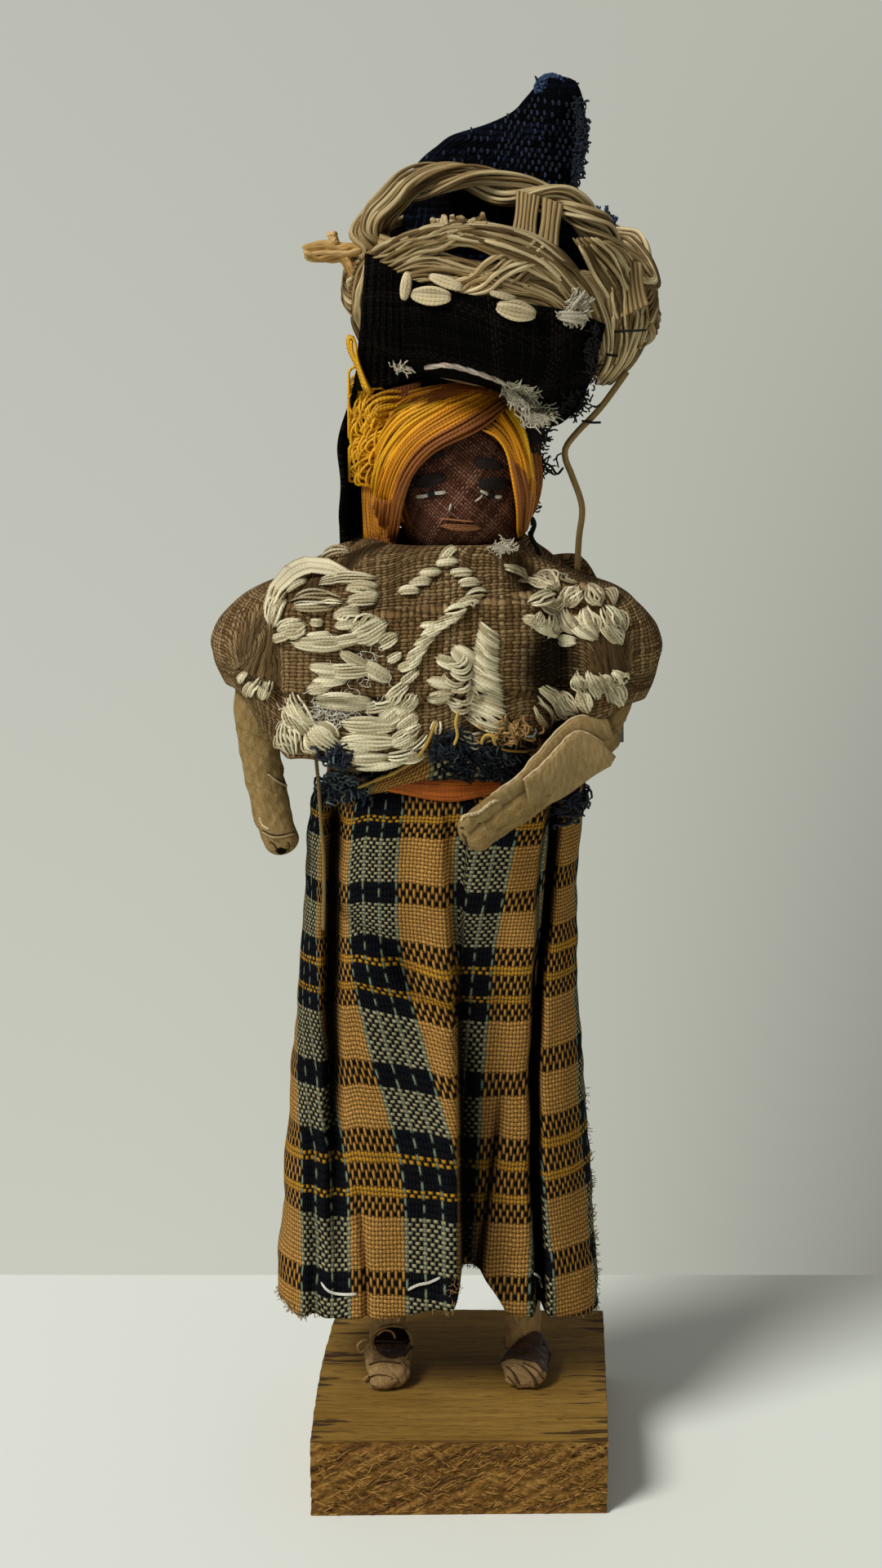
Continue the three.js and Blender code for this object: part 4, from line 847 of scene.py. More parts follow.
def skirt_place(angle, z):
    half_width, half_depth, middle = at_levels(SKIRT_LEVELS, z, 3)
    x, y = section(middle, half_width, half_depth, angle)
    below_sash = step(z, SASH_TOP, SASH_LOW)
    push = np.zeros_like(x)
    for hem, waist, depth in back_folds:
        here = np.radians(np.interp(z, (26, 117), (hem, waist)))
        turn = np.abs((angle - here + np.pi) % (2 * np.pi) - np.pi)
        push = push + depth * below_sash * np.exp(-(turn / np.radians(7)) ** 2)
    points = np.stack([x, y, z], 1)
    push = push + 0.4 * below_sash * wrinkle(points, 7.0, 1.0) + 0.16 * wrinkle(points, 2.6, 4.0)
    outward = np.stack([np.cos(angle) / half_width, np.sin(angle) / half_depth], 1)
    outward /= np.linalg.norm(outward, axis=1, keepdims=True)
    points[:, :2] -= outward * push[:, None]
    points[:, 1] += fold_push(x, z, y < 0)
    return points


def skirt_hem(angle):
    front = np.maximum(0, -np.sin(angle))
    x = HEM_MIDDLE + HEM_HALF_WIDTH * np.cos(angle)
    notch = (2.2 * step(x, -10, -1.6) + 7.2 * step(x, -1.6, 0.9)) * np.clip((7.2 - x) / 6.3, 0, 1) ** 0.8
    corner = 2.2 * step(x, -26.5, -31.5)
    return HEM_HEIGHT + 3.7 * front**2 + corner + np.where(np.sin(angle) < 0, notch, 0)


def skirt_cloth(across, up):
    angle = even_angles(across, *SKIRT_HALF)
    hem = skirt_hem(angle)
    return skirt_place(angle, hem + (SKIRT_TOP - hem) * up)


def skirt_measure(across, up, points):
    """Warps lean as the cloth does on each side of the pressed edge, and picks sag in between."""
    z = points[:, 2]
    half_width, half_depth = at_levels(SKIRT_LEVELS, z, 2)
    x = (across - 0.5) * HEM_PERIMETER * (half_width + half_depth) / (HEM_HALF_WIDTH + 15) - 3.4
    near = np.where(across < 0.5, np.exp(-((across - 0.5) / 0.24) ** 4), 1.0)
    edge, outer = step(x, 0.1, 0.9), step(x, 13.4, 14.2)
    lean_left = curve_through([26, 38, 56, 77, 94, 113, 128], [-0.5, -0.3, 0.5, 6.3, 11.1, 12.3, 12.5], z)
    lean_right = np.interp(z, (26, 67, 94, 113), (18.5, 16.5, 14.5, 11.7))
    lean_outer = np.interp(z, (26, 38, 67, 113), (22.5, 23.2, 26.4, 25.8))
    lean = lean_left * (1 - edge) + lean_right * edge * (1 - outer) + lean_outer * outer
    sag = 2.9 * np.sin(np.pi * np.clip((z - 48.5) / 64.6, -0.3, 1.2))
    sag -= 0.2 * (x + 12) * np.exp(-((z - 84) / 13) ** 2) * step(x, -24, -20) * (1 - edge)
    drop = 1.8 * edge - 3.2 * outer + 1.6 * step(x, -17, -22)
    return x + lean * near + 9.2, z - 113.1 - sag + drop + 0.4 * wrinkle(points, 14.0, 2.0)


# How deep each point lies in a drawn fold, which the plaid paints as shade.
def skirt_deep(across, up, points):
    angle = even_angles(across, *SKIRT_HALF)
    half_width, half_depth, middle = at_levels(SKIRT_LEVELS, points[:, 2], 3)
    x, y = section(middle, half_width, half_depth, angle)
    return np.clip(fold_push(x, points[:, 2], y < 0) / 5.2, 0, 1)


skirt = cloth("skirt_cloth", 330, 100, skirt_cloth, skirt_measure, SKIRT_WALL, upright(-2.5, 0), skirt_deep)
give(skirt, plaid, node_name="skirt")

# %% [markdown]
# ## The blouse
#
# A coarse brown cloth lies over the shoulders like a small poncho, full at the sleeves and tucked in
# at the waist. Its pattern is brocade: bundles of soft ivory thread that pass over the cloth and dive
# back in. A texture would look printed, so each float is a bundle of real threads that lands on the
# cloth along lines of sight, and bows up off it.

# %% Brown weave
# Painted shade between the threads, and in the hollow beside the left sleeve.
blouse_weave = woven("brocade_cloth", 0.06, (1.08, 0.6), 0.9, 0.6, (0.15, 0.5, 0.85),
                     [(92, 68, 38), (126, 98, 62), (158, 132, 92)], 0.12, 0.5, (11.0, 0.2), (0.9, 0.12))

# %% Blouse
BLOUSE_WALL = 0.9
BLOUSE_MIDDLE, BLOUSE_HALF, BLOUSE_POWER = -3.7, (36, 18), 0.75
BLOUSE_LEVELS = np.array([  # share, half width, half depth, height at the sleeve, height in front
    (0.0, 34.4, 16.9, 136.6, 0), (0.1, 35.3, 18.1, 138.4, 131.0), (0.25, 36.0, 18.5, 141.0, 137.0),
    (0.38, 36.2, 18.2, 143.6, 142.0), (0.5, 34.0, 17.3, 147.4, 146.4), (0.64, 28.6, 16.0, 152.0, 150.8),
    (0.77, 21.3, 13.9, 155.6, 154.8), (0.88, 15.2, 12.4, 157.9, 158.6), (0.94, 12.2, 10.6, 158.2, 159.6),
    (1.0, 8.4, 7.4, 156.6, 157.6)])
blouse_creases = [  # x at the collar, x at the hem, depth, half width
    (11, 16.2, 4.6, 3.2), (-17, -29.2, 1.5, 1.9), (2, 3, 0.7, 2.6), (-9, -13, 0.6, 3.0), (19, 27, 0.8, 2.2)]
back_creases = [(-20, 1.4), (-8, 1.0), (6, 1.3), (19, 1.2)]      # x, depth


def blouse_hem(x):
    drop = 18.6 - 4.4 * step(x, -5, 4)
    drop = drop + (12.2 - drop) * step(x, 12, 19)
    return 144.2 - drop - 0.9 * np.sin(x / 3.1) * step(x, 12, 6)


def blouse_cloth(across, up):
    half_width, half_depth, side, front = at_levels(BLOUSE_LEVELS, up, 4)
    angle = even_angles(across, *BLOUSE_HALF, BLOUSE_POWER)
    x, y = section(BLOUSE_MIDDLE + 2.6 * step(up, 0.84, 1.0), half_width, half_depth, angle, BLOUSE_POWER)
    sideways = step(np.abs(x - BLOUSE_MIDDLE) / BLOUSE_LEVELS[:, 1].max(), 0.64, 0.9)
    hem = blouse_hem(x)
    front = hem + (np.where(up < 0.1, 131 * up / 0.1 + hem * (1 - up / 0.1), front) - hem)
    front = front + (hem - 125.6) * (1 - step(up, 0.0, 0.35)) * step(up, 0.0, 0.1)
    side = side - 2.4 * step(x, 5, 24) * (1 - step(up, 0, 0.45))
    z = front * (1 - sideways) + side * sideways
    push = np.zeros_like(x)
    below_neck = step(up, 1.0, 0.72)
    for top, bottom, depth, spread in blouse_creases:
        where = x - (bottom + (top - bottom) * step(up, 0.1, 1.0))
        push += np.where(np.sin(angle) < 0, depth * np.exp(-(where / spread) ** 2), 0)
    for place, depth in back_creases:
        push += np.where(np.sin(angle) > 0, depth * np.exp(-((x - place) / 2.8) ** 2), 0)
    points = np.stack([x, y, z], 1)
    push = below_neck * push + 0.35 * wrinkle(points, 6.0, 3.0) + 0.12 * wrinkle(points, 2.2, 1.0)
    outward = np.stack([np.cos(angle), np.sin(angle)], 1) / BLOUSE_HALF
    outward /= np.linalg.norm(outward, axis=1, keepdims=True)
    points[:, :2] -= outward * push[:, None]
    return points


def blouse_hollow_shade(across, up, points):
    """Painted shade for the hollow beside the left sleeve, which no light reaches."""
    x, z = points[:, 0], points[:, 2]
    hollow = np.exp(-((x - 14.0) / 4.9) ** 2 - ((z - 141.5) / 5.6) ** 2)
    return np.clip(1.5 * hollow, 0, 1) * (points[:, 1] < 0)


blouse = cloth("blouse_cloth", 260, 110, blouse_cloth, None, BLOUSE_WALL, upright(BLOUSE_MIDDLE, 0), blouse_hollow_shade)
give(blouse, blouse_weave, node_name="blouse")

# %% Ivory floats
ivory_floss = dyed_thread("ivory_brocade", (134, 110, 58), (255, 246, 208))
white_floss = dyed_thread("white_thread", (176, 168, 146), (244, 240, 226))
blouse_surface = surface_of(blouse)


FLOAT_STEPS = 9


def float_threads(surface, middle, length, height, tilt, count, lift=0.85, bow=0.0, pinch=0.4):
    """Threads side by side over the cloth, placed as the picture shows them."""
    made = []
    lean = math.radians(tilt)
    for k in range(count):
        off = ((k + 0.5) / count - 0.5) * height
        short = 1 - 0.22 * (2 * off / max(height, 1)) ** 2
        shift = chance.uniform(-0.06, 0.06) * length
        path = []
        for t in np.linspace(-1, 1, FLOAT_STEPS):
            a = t * length / 2 * short + shift
            b = off * (1 - pinch * t * t) + bow * (1 - t * t)
            point = landed(surface, middle[0] + a * math.cos(lean) + b * math.sin(lean),
                           middle[1] - a * math.sin(lean) + b * math.cos(lean),
                           0.12 + lift * (1 - t * t))
            if point is None:
                break
            path.append(point)
        # A thread that the line of sight only grazes would run far back, so it is left out.
        if len(path) == FLOAT_STEPS and length_of(path) < 2.2 * length / PIXELS_PER_MM + 1.5:
            made.append(path)
    return made


CROP_CORNER, CROP_SCALE = (220, 640), 2.45


def in_crop(x, y):
    """A place in the enlarged view of the blouse that the floats were noted in."""
    return CROP_CORNER[0] + x / CROP_SCALE, CROP_CORNER[1] + y / CROP_SCALE


def noted_floats(table, corner, scale, lift=0.85, more=1.0, pinch=0.4):
    """Floats noted in an enlarged view of the picture, that starts at a corner of it."""
    made = []
    for x, y, length, height, tilt, count in table:
        made += float_threads(blouse_surface, (corner[0] + x / scale, corner[1] + y / scale), length / scale,
                              height / scale, tilt, round(more * count), lift, pinch=pinch)
    return made


# place, length, height, tilt, threads: all as they show, in the enlarged view
blouse_floats = [
    (500, 172, 175, 40, 4, 4), (412, 240, 145, 72, 2, 7), (550, 200, 92, 44, -4, 4), (545, 237, 92, 40, 4, 4),
    (505, 274, 84, 40, 6, 4), (570, 318, 112, 70, 26, 6), (292, 262, 100, 60, 68, 5), (300, 225, 70, 50, 60, 4),
    (345, 322, 72, 42, 8, 4), (435, 355, 150, 38, 2, 4), (505, 440, 152, 52, 2, 5), (560, 600, 150, 50, 0, 4),
    (575, 650, 160, 60, -2, 5), (600, 545, 110, 42, 12, 4), (655, 505, 90, 46, 40, 4),
    (435, 640, 110, 64, -42, 5),
    (560, 705, 140, 38, 0, 3), (662, 690, 90, 36, 14, 3), (720, 655, 70, 34, 42, 3), (470, 96, 90, 30, 14, 3),
    (1068, 190, 112, 40, -18, 4), (1085, 225, 80, 40, 20, 4), (1120, 175, 70, 46, -60, 4),
    (1130, 245, 62, 52, 30, 5), (1185, 222, 62, 54, 38, 5), (1243, 215, 62, 56, -58, 5),
    (1108, 300, 84, 42, 78, 4), (1168, 292, 88, 46, -62, 4), (1226, 292, 84, 48, -72, 4),
    (1292, 290, 92, 56, -66, 5), (1205, 482, 84, 26, -68, 2), (1240, 488, 92, 30, -70, 3),
    (1275, 492, 92, 30, -68, 3), (1312, 500, 84, 34, -62, 3), (1325, 462, 40, 30, -30, 2),
    (1217, 540, 60, 34, -74, 3), (228, 492, 60, 24, 60, 2), (266, 500, 60, 26, 70, 2), (880, 645, 66, 56, 10, 4),
    (1130, 562, 84, 70, -60, 5), (1012, 152, 80, 30, -28, 3), (330, 640, 110, 60, -84, 5),
    (700, 620, 60, 30, 30, 3),
    (365, 560, 120, 60, -60, 4), (770, 610, 40, 40, 80, 3)]
zigzag = [(800, 118), (750, 150), (725, 180), (690, 206), (845, 150), (870, 182), (890, 215), (865, 240),
          (830, 262), (810, 285), (780, 303), (755, 325), (735, 352), (712, 385), (700, 418), (690, 460),
          (805, 95)]

floats = noted_floats(blouse_floats, CROP_CORNER, CROP_SCALE)
for k, (x, y) in enumerate(zigzag):
    tilt = 4 if k < 6 else min(46, 8 + 3.2 * (k - 6))      # its lower part leans more and more
    floats += float_threads(blouse_surface, in_crop(x, y), 68 / CROP_SCALE, 30 / CROP_SCALE, tilt, 4, 0.75)
for k in range(19):
    y = 322 + 15.5 * k
    x = 930 - 0.03 * (y - 322) - 8 * math.sin((y - 322) / 90)
    floats += float_threads(blouse_surface, in_crop(x, y), (74 + 4.0 * k) / CROP_SCALE, 24 / CROP_SCALE, -36 + k, 3,
                            1.2)
for k in range(8):
    floats += float_threads(blouse_surface, in_crop(828 + 9 * (k % 3), 400 + 20 * k), 76 / CROP_SCALE,
                            18 / CROP_SCALE, 28 - 12 * (k % 4), 2, 1.3, bow=9)

# The long bundle that arcs over the right shoulder
for k in range(14):
    share = k / 13
    arc = [(252 + 30 * share, 262 - 20 * share), (285 + 30 * share, 190 + 22 * share),
           (350 + 14 * share, 138 + 42 * share), (430, 116 + 44 * share), (515 - 10 * share, 146 + 26 * share)]
    line = traced(arc, 11)
    path = [landed(blouse_surface, *in_crop(x, y), 0.15 + 1.1 * math.sin(math.pi * i / 10))
            for i, (x, y) in enumerate(line)]
    if all(point is not None for point in path) and np.abs(np.diff(path, axis=0)).max() < 5.0:
        floats.append([path[round(i * 1.25)] for i in range(FLOAT_STEPS)])


# More of them, as they show in the enlarged view of the lower blouse
fine_floats = [
    (505, 25, 112, 84, 22, 7), (268, 18, 78, 56, 24, 5), (240, 52, 60, 30, 20, 3), (640, 140, 62, 30, 22, 4),
    (664, 105, 62, 32, 32, 4), (692, 70, 56, 28, 34, 4), (715, 12, 64, 26, 6, 4), (390, 150, 118, 40, -3, 5),
    (392, 190, 104, 34, 2, 4), (420, 252, 150, 54, 0, 6), (352, 70, 150, 46, -2, 5), (520, 330, 170, 60, -2, 8),
    (510, 382, 172, 52, 3, 7), (505, 428, 150, 36, -2, 5), (588, 290, 86, 76, 38, 8),
    (352, 372, 76, 110, -44, 10),
    (262, 372, 60, 96, -64, 7), (628, 372, 92, 56, 30, 6), (640, 318, 82, 56, 40, 6), (642, 262, 74, 52, 44, 5),
    (600, 232, 66, 36, 40, 4), (652, 430, 96, 34, 12, 4), (560, 458, 156, 22, 8, 3), (300, 300, 120, 30, -30, 4),
    (748, 196, 90, 40, -12, 5), (745, 240, 84, 40, 10, 5), (820, 110, 90, 60, -38, 6), (770, 130, 84, 40, -20, 5),
    (830, 378, 74, 66, -24, 7), (1110, 262, 130, 84, -46, 8), (1070, 300, 90, 50, -60, 5),
    (1190, 198, 56, 50, -58, 4), (1240, 204, 70, 40, -62, 4), (1282, 206, 76, 36, -62, 4),
    (1306, 246, 60, 36, -50, 4), (1206, 252, 70, 50, -72, 5), (1306, 176, 46, 34, -46, 4),
    (1078, 22, 96, 48, -22, 5), (1132, 8, 90, 50, 32, 5), (1204, 22, 104, 60, -42, 6), (1290, 34, 96, 60, -52, 6),
    (144, 214, 58, 34, 66, 4), (182, 222, 58, 30, 70, 4), (120, 180, 40, 24, 60, 3), (1150, 60, 60, 40, -10, 4),
    (1040, 0, 70, 40, -20, 4), (580, 60, 70, 50, 30, 4), (440, 60, 120, 40, 10, 4), (470, 120, 110, 40, -28, 4)]
floats += noted_floats(fine_floats, (252.6, 760), 2.6, 0.7, 1.35)

# The dense ones at the doll's right shoulder and the worn patch below them
shoulder_floats = [
    (580, 118, 120, 36, 6, 5), (585, 160, 120, 40, 12, 5), (525, 215, 95, 34, 14, 5), (530, 250, 95, 34, 10, 5),
    (600, 262, 112, 46, 24, 6), (626, 300, 92, 34, 34, 5), (335, 270, 84, 66, 30, 7), (415, 244, 50, 30, 0, 4),
    (275, 205, 112, 48, 66, 7), (335, 112, 92, 44, 30, 6), (452, 322, 190, 56, 6, 9), (482, 432, 136, 56, -2, 7),
    (632, 425, 124, 62, -26, 9), (425, 484, 90, 44, 12, 5), (540, 540, 180, 56, 2, 8),
    (442, 655, 100, 110, -46, 12),
    (722, 560, 96, 50, 30, 6), (345, 600, 130, 84, -58, 9), (700, 372, 60, 34, 30, 4), (420, 290, 90, 26, 4, 4)]
floats += noted_floats(shoulder_floats, (250, 680), 3, 0.6)

# The leaf-shaped ones at the doll's left shoulder and sleeve, in a darker copy of the floss as painted shade
sleeve_floats = [
    (430, 95, 90, 58, -42, 7), (490, 88, 90, 66, -30, 8), (575, 130, 76, 66, 62, 8), (645, 122, 80, 58, -58, 7),
    (500, 162, 70, 56, -20, 6), (455, 205, 60, 36, 60, 5), (510, 228, 66, 40, -52, 5), (572, 215, 84, 52, -60, 7),
    (635, 208, 92, 62, -64, 8), (712, 212, 96, 70, -58, 9), (385, 50, 70, 24, -34, 4), (560, 72, 80, 36, -20, 5),
    (694, 136, 60, 46, -60, 5), (602, 402, 56, 34, -56, 5), (652, 408, 74, 40, -60, 6),
    (702, 432, 104, 48, -58, 7),
    (612, 462, 76, 32, -64, 5), (732, 385, 40, 28, 0, 4), (500, 512, 110, 54, -48, 7), (560, 468, 96, 70, -50, 8)]
shaded_sleeve_floats = noted_floats(sleeve_floats, (480, 680), 2.6, 0.8, pinch=0.8)
shaded_sleeve_floss = dyed_thread("sleeve_floss_painted_shade", (96, 76, 42), (226, 212, 172), 0.7)
strands("blouse_sleeve_floats", shaded_sleeve_floats, 0.21, 5, shaded_sleeve_floss, "ivory_brocade", (0.1, 1))
strands("blouse_floats", floats, 0.21, 5, ivory_floss, "ivory_brocade", (0.1, 1))

# %% Lint on the worn place


def lint(middle, spread, count, length, lift, steps=7):
    """Fine fibres that have worked loose and curl over the cloth."""
    made = []
    while len(made) < count:
        x, y = middle[0] + chance.normal() * spread[0], middle[1] + chance.normal() * spread[1]
        heading, path = chance.uniform(0, 2 * math.pi), []
        for k in range(steps):
            rise = lift * chance.uniform(0.1, 1) * math.sin(math.pi * k / (steps - 1))
            point = landed(blouse_surface, x, y, 0.15 + rise)
            if point is None:
                break
            path.append(point)
            heading += chance.normal() * 0.6
            x, y = x + math.cos(heading) * length, y + math.sin(heading) * length
        count -= len(path) != steps
        if len(path) == steps:
            made.append(path)
    return made


worn_lint = lint(in_crop(470, 560), (24, 9), 130, 3.2, 0.9) + lint(in_crop(560, 430), (18, 18), 34, 3.4, 1.0)
lint_fibre = dyed_thread("lint_fibre", (196, 190, 168), (244, 240, 222), 0.7, relief=0.0)
strands("blouse_lint", worn_lint, 0.055, 3, lint_fibre, "white_thread", (0.6, 1))

# %% [markdown]
# ## The waist
#
# Orange floss is tied round the waist and holds the skirt. Above it the skirt's raw top edge stands
# up, turned over on one side where its stripes run slantwise, and frayed to a fluff of dark threads
# on the other. The fluff is many short curled threads that follow the cloth below them; each starts
# on a line of sight, so it lies where the picture shows it.

# %% Sash of floss
orange_floss = dyed_thread("orange_floss", (112, 48, 0), (222, 118, 24), 0.5)
SASH_STRANDS = 52
SASH_MIDDLE, SASH_HALF_WIDTH, SASH_HALF_DEPTH, SASH_HEIGHT = -1.5, 19.4, 12.1, 121.3
sash_lines = []
around = np.radians(np.linspace(90, 450, 121))
for k in range(SASH_STRANDS):
    place = 2 * (k + 0.5) / SASH_STRANDS - 1
    x, y = section(SASH_MIDDLE, SASH_HALF_WIDTH, SASH_HALF_DEPTH, around)
    fullness = np.where(y < 0, np.exp(-((x + 2.0) / 6.6) ** 2), 0)
    out = 0.35 + (0.3 + 0.75 * fullness) * math.sqrt(max(0, 1 - place * place))
    x, y = x + out * np.cos(around), y + out * np.sin(around)
    z = SASH_HEIGHT + place * (0.55 + 1.25 * fullness) + 0.14 * np.sin(7 * around + 2.4 * k) - 0.4 * fullness
    sash_lines.append(np.stack([x, y, z], 1))
strands("sash_floss", sash_lines, 0.17, 5, orange_floss, "orange_floss", node_name="waist_sash")

# %% Turned edge
turned_top = np.array([(440, 961), (470, 948), (497, 936), (514, 922), (524, 907), (531, 893)], float)
turned_low = np.array([(452, 973), (476, 969), (500, 963), (530, 957), (562, 953), (600, 951)], float)
skirt_surface = surface_of(skirt)


def nearer(across, down, lift):
    """On whichever of the blouse and the skirt the picture shows there."""
    places = [landed(surface, across, down, lift) for surface in (skirt_surface, blouse_surface)]
    places = [place for place in places if place is not None]
    return min(places, key=lambda place: place[1]) if places else None


def along_line(line, share):
    """Places in the picture, by their share of a line's noted places."""
    shares = np.linspace(0, 1, len(line))
    return np.stack([np.interp(share, shares, line[:, k]) for k in (0, 1)], -1)


def turned_place(across, up):
    points = []
    for share, rise in zip(across, up):
        low, top = along_line(turned_low, share), along_line(turned_top, share)
        px, py = low + (top - low) * rise
        base = nearer(*(low + (top - low) * 0.25), 0)
        points.append(at_depth(px, py, base[1] - 0.7 - 0.9 * math.sin(math.pi * min(1, rise * 1.1))))
    return np.array(points)


def turned_measure(across, up, points):
    return 10.4 + 17 * across - 3 * up, -16.2 - 4.4 * up + 1.5 * across


turned = cloth("turned_edge", 60, 14, turned_place, turned_measure, 0.5, upright(SASH_MIDDLE, 0))
give(turned, plaid)

# %% Frayed threads


def curled(land, middle, spread, count, length, lift, least, steps=8, curl=0.55, heading=None):
    """Short curled threads round a place in the picture. land(x, y, lift, rise) gives each point."""
    made = []
    for _ in range(count):
        x, y = middle[0] + chance.normal() * spread[0], middle[1] + chance.normal() * spread[1]
        facing = chance.uniform(0, 2 * math.pi) if heading is None else heading + chance.normal() * 0.5
        path, rise = [], lift * chance.uniform(least, 1)
        for k in range(steps):
            point = land(x, y, 0.2 + rise * math.sin(math.pi * (k + 0.5) / steps), rise)
            if point is None:
                break
            path.append(point)
            facing += chance.normal() * curl
            x, y = x + math.cos(facing) * length, y + math.sin(facing) * length
        if len(path) == steps:
            made.append(path)
    return made


def frays(middle, spread, count, length, lift, steps=8):
    """Curled threads that lie on the blouse or the skirt."""
    made = curled(lambda x, y, up, rise: nearer(x, y, up), middle, spread, count, length, lift, 0.2, steps)
    return [path for path in made if np.ptp(np.array(path)[:, 1]) < 5]


navy_fray = dyed_thread("navy_fray", (6, 8, 14), (34, 44, 58), 0.8)
blue_fray = dyed_thread("blue_fray", (44, 56, 62), (116, 130, 130), 0.85)
ochre_fray = dyed_thread("ochre_fray", (104, 72, 30), (190, 152, 92), 0.8)
pale_fray = dyed_thread("pale_fray", (120, 116, 96), (196, 192, 168), 0.8)
navy_threads = (frays((552, 922), (8, 13), 150, 2.6, 1.6) + frays((600, 930), (26, 11), 330, 2.6, 1.6)
                + frays((640, 935), (14, 10), 120, 2.6, 1.4) + frays((410, 932), (9, 8), 100, 2.4, 1.2)
                + frays((420, 962), (18, 8), 150, 2.4, 1.2) + frays((560, 948), (34, 4), 130, 2.4, 0.9))
blue_threads = (frays((412, 948), (9, 10), 120, 2.2, 1.5) + frays((428, 962), (12, 6), 90, 2.2, 1.5)
                + frays((618, 918), (18, 9), 50, 2.6, 1.8))
ochre_threads = (frays((628, 896), (15, 6), 110, 2.4, 1.8) + frays((652, 908), (8, 7), 50, 2.4, 1.6)
                 + frays((520, 952), (22, 5), 50, 1.8, 0.7))
pale_threads = frays((600, 948), (30, 5), 60, 1.3, 0.8, 5) + frays((612, 930), (24, 10), 46, 1.3, 1.5, 5)
strands("waist_fray_navy", navy_threads, 0.2, 4, navy_fray, "plaid_cloth")
strands("waist_fray_blue", blue_threads, 0.15, 4, blue_fray, "plaid_cloth")
strands("waist_fray_ochre", ochre_threads, 0.19, 4, ochre_fray, "plaid_cloth")
strands("waist_fray_pale", pale_threads, 0.17, 4, pale_fray, "plaid_cloth")

# %% Loose threads at the waist
gold_edge = dyed_thread("gold_edge_thread", (132, 96, 22), (206, 168, 74))
edge_lines = []
for side in (-0.7, 0.7):
    line = traced([(438, 964), (460, 955), (482, 946), (503, 934), (518, 918), (526, 903), (531, 889), (535, 882)],
                  26)
    edge_lines.append([at_depth(x, y + side * math.sin(0.9 * k), nearer(x, y + 6, 0)[1] - 2.0)
                       for k, (x, y) in enumerate(line)])
for route in ([(596, 917), (590, 910), (594, 900), (603, 901), (606, 910), (620, 918), (648, 920)],
              [(561, 870), (558, 885), (560, 900), (556, 912)]):
    line = traced(route, 26)
    edge_lines.append([at_depth(x, y, nearer(x, y, 0)[1] - 2.2) for x, y in line])
give(threads("waist_loose_threads", edge_lines, 0.24, 6, tone=np.linspace(0.4, 0.9, len(edge_lines))), gold_edge)

# %% Hem stitches and skirt fluff
stitches = []
for route in ([(395, 1569), (404, 1580), (420, 1583), (437, 1582)],
              [(500, 1577), (512, 1571), (526, 1568), (540, 1562)],
              [(652, 1558), (660, 1563), (666, 1574)],
              [(700, 1575), (712, 1571), (724, 1570), (735, 1567)],
              [(560, 1588), (564, 1566), (571, 1550), (578, 1545)],
              [(622, 1600), (604, 1576), (590, 1556), (580, 1547)]):
    for off in (0.0, 1.3):
        line = traced(route, 12) + (0, off)
        path = [landed(skirt_surface, x, y, 0.3) for x, y in line]
        if all(point is not None for point in path):
            stitches.append(path)
strands("hem_stitches", stitches, 0.17, 5, white_floss, "white_thread", (0.4, 0.8))


def edge_fluff(places, count, reach, heading, steps=6):
    """Short hairs that stand off an edge of the skirt."""
    made = []
    for _ in range(count):
        start = places[int(chance.integers(len(places)))]
        way = np.array(heading, float) + chance.normal(0, 0.5, 3)
        way /= np.linalg.norm(way)
        path = [np.array(start)]
        for _ in range(steps - 1):
            way = way + chance.normal(0, 0.35, 3)
            way /= np.linalg.norm(way)
            path.append(path[-1] + way * reach * chance.uniform(0.5, 1) / steps)
        made.append(path)
    return made


skirt_points = points_of(skirt)
hem_places = [(x, y, z) for x, y, z in skirt_points if z < skirt_hem(math.atan2(y, x - HEM_MIDDLE)) + 0.6]
side_places = [(x, y, z) for x, y, z in skirt_points if x > 21.5 and y < 6 and z > 28]
fluff = edge_fluff(hem_places, 700, 1.5, (0, -0.4, -1)) + edge_fluff(side_places, 260, 1.6, (1, -0.3, 0.1))
strands("skirt_fluff", fluff, 0.07, 3, ochre_fray, "plaid_cloth", (0.1, 0.9))
lump = frays((715, 962), (9, 12), 150, 2.4, 1.8) + frays((706, 985), (10, 8), 60, 2.4, 1.4)
strands("skirt_fray_dark", lump, 0.2, 4, navy_fray, "plaid_cloth")
lump = frays((712, 958), (8, 12), 60, 2.2, 2.2)
strands("skirt_fray_ochre", lump, 0.17, 4, ochre_fray, "plaid_cloth", (0, 0.7))

# %% [markdown]
# ## Arms of wound paper
#
# Strips of crepe paper are wound round the wires. Each limb is a tube whose turns overlap, so its
# surface steps up at every turn, and the strip's edge shows as a slanting line of painted shade.

# %% Paper finish
given, result = group("Wound paper", {"Pitch": ("Float", 9.0), "Around": ("Float", 20.0)},
                      {"Ledge shade": "Float", "Height": "Float", "Fibre": "Float"})
uv_place = place_in("UV")
round_it, up_it, _ = parts_of(uv_place)
wander = noise(uv_place, 0.35, 2.0)
turn = maths("ADD", maths("DIVIDE", up_it, given["Pitch"]), maths("DIVIDE", round_it, given["Around"]))
turn = maths("MULTIPLY_ADD", wander, 0.35, turn)
ledge = maths("FRACT", turn)
link(from_range(ledge, 0.0, 0.03, 1.0, 0.0), result["Ledge shade"])
crepe = noise(mapped(uv_place, (0.55, 0.22, 1)), 2.4, 5.0, 0.6)
pulp = noise(uv_place, 7.0, 3.0)
link(maths("ADD", maths("MULTIPLY", ledge, 1.2), maths("MULTIPLY_ADD", pulp, 0.25, crepe)), result["Height"])
link(mixed(pulp, 0.5, crepe, 0.5), result["Fibre"])


def paper(name, deep, middle, pale, pitch=9.0, around=20.0, relief=0.3):
    made, shader = material(name, 0.9, 0.1)
    wound = use("Wound paper", {"Pitch": pitch, "Around": around})
    colour = painted(wound["Fibre"], (0.3, 0.5, 0.7), deep, middle, pale)
    # Painted shade: a dark line where each turn steps over the one below.
    colour = blended(maths("MULTIPLY", wound["Ledge shade"], 0.5), colour, paint(*[c * 0.5 for c in deep]))
    link(mottled(colour, 9.0, 0.28), shader.inputs["Base Color"])
    bump(shader, wound["Height"], relief)
    return made


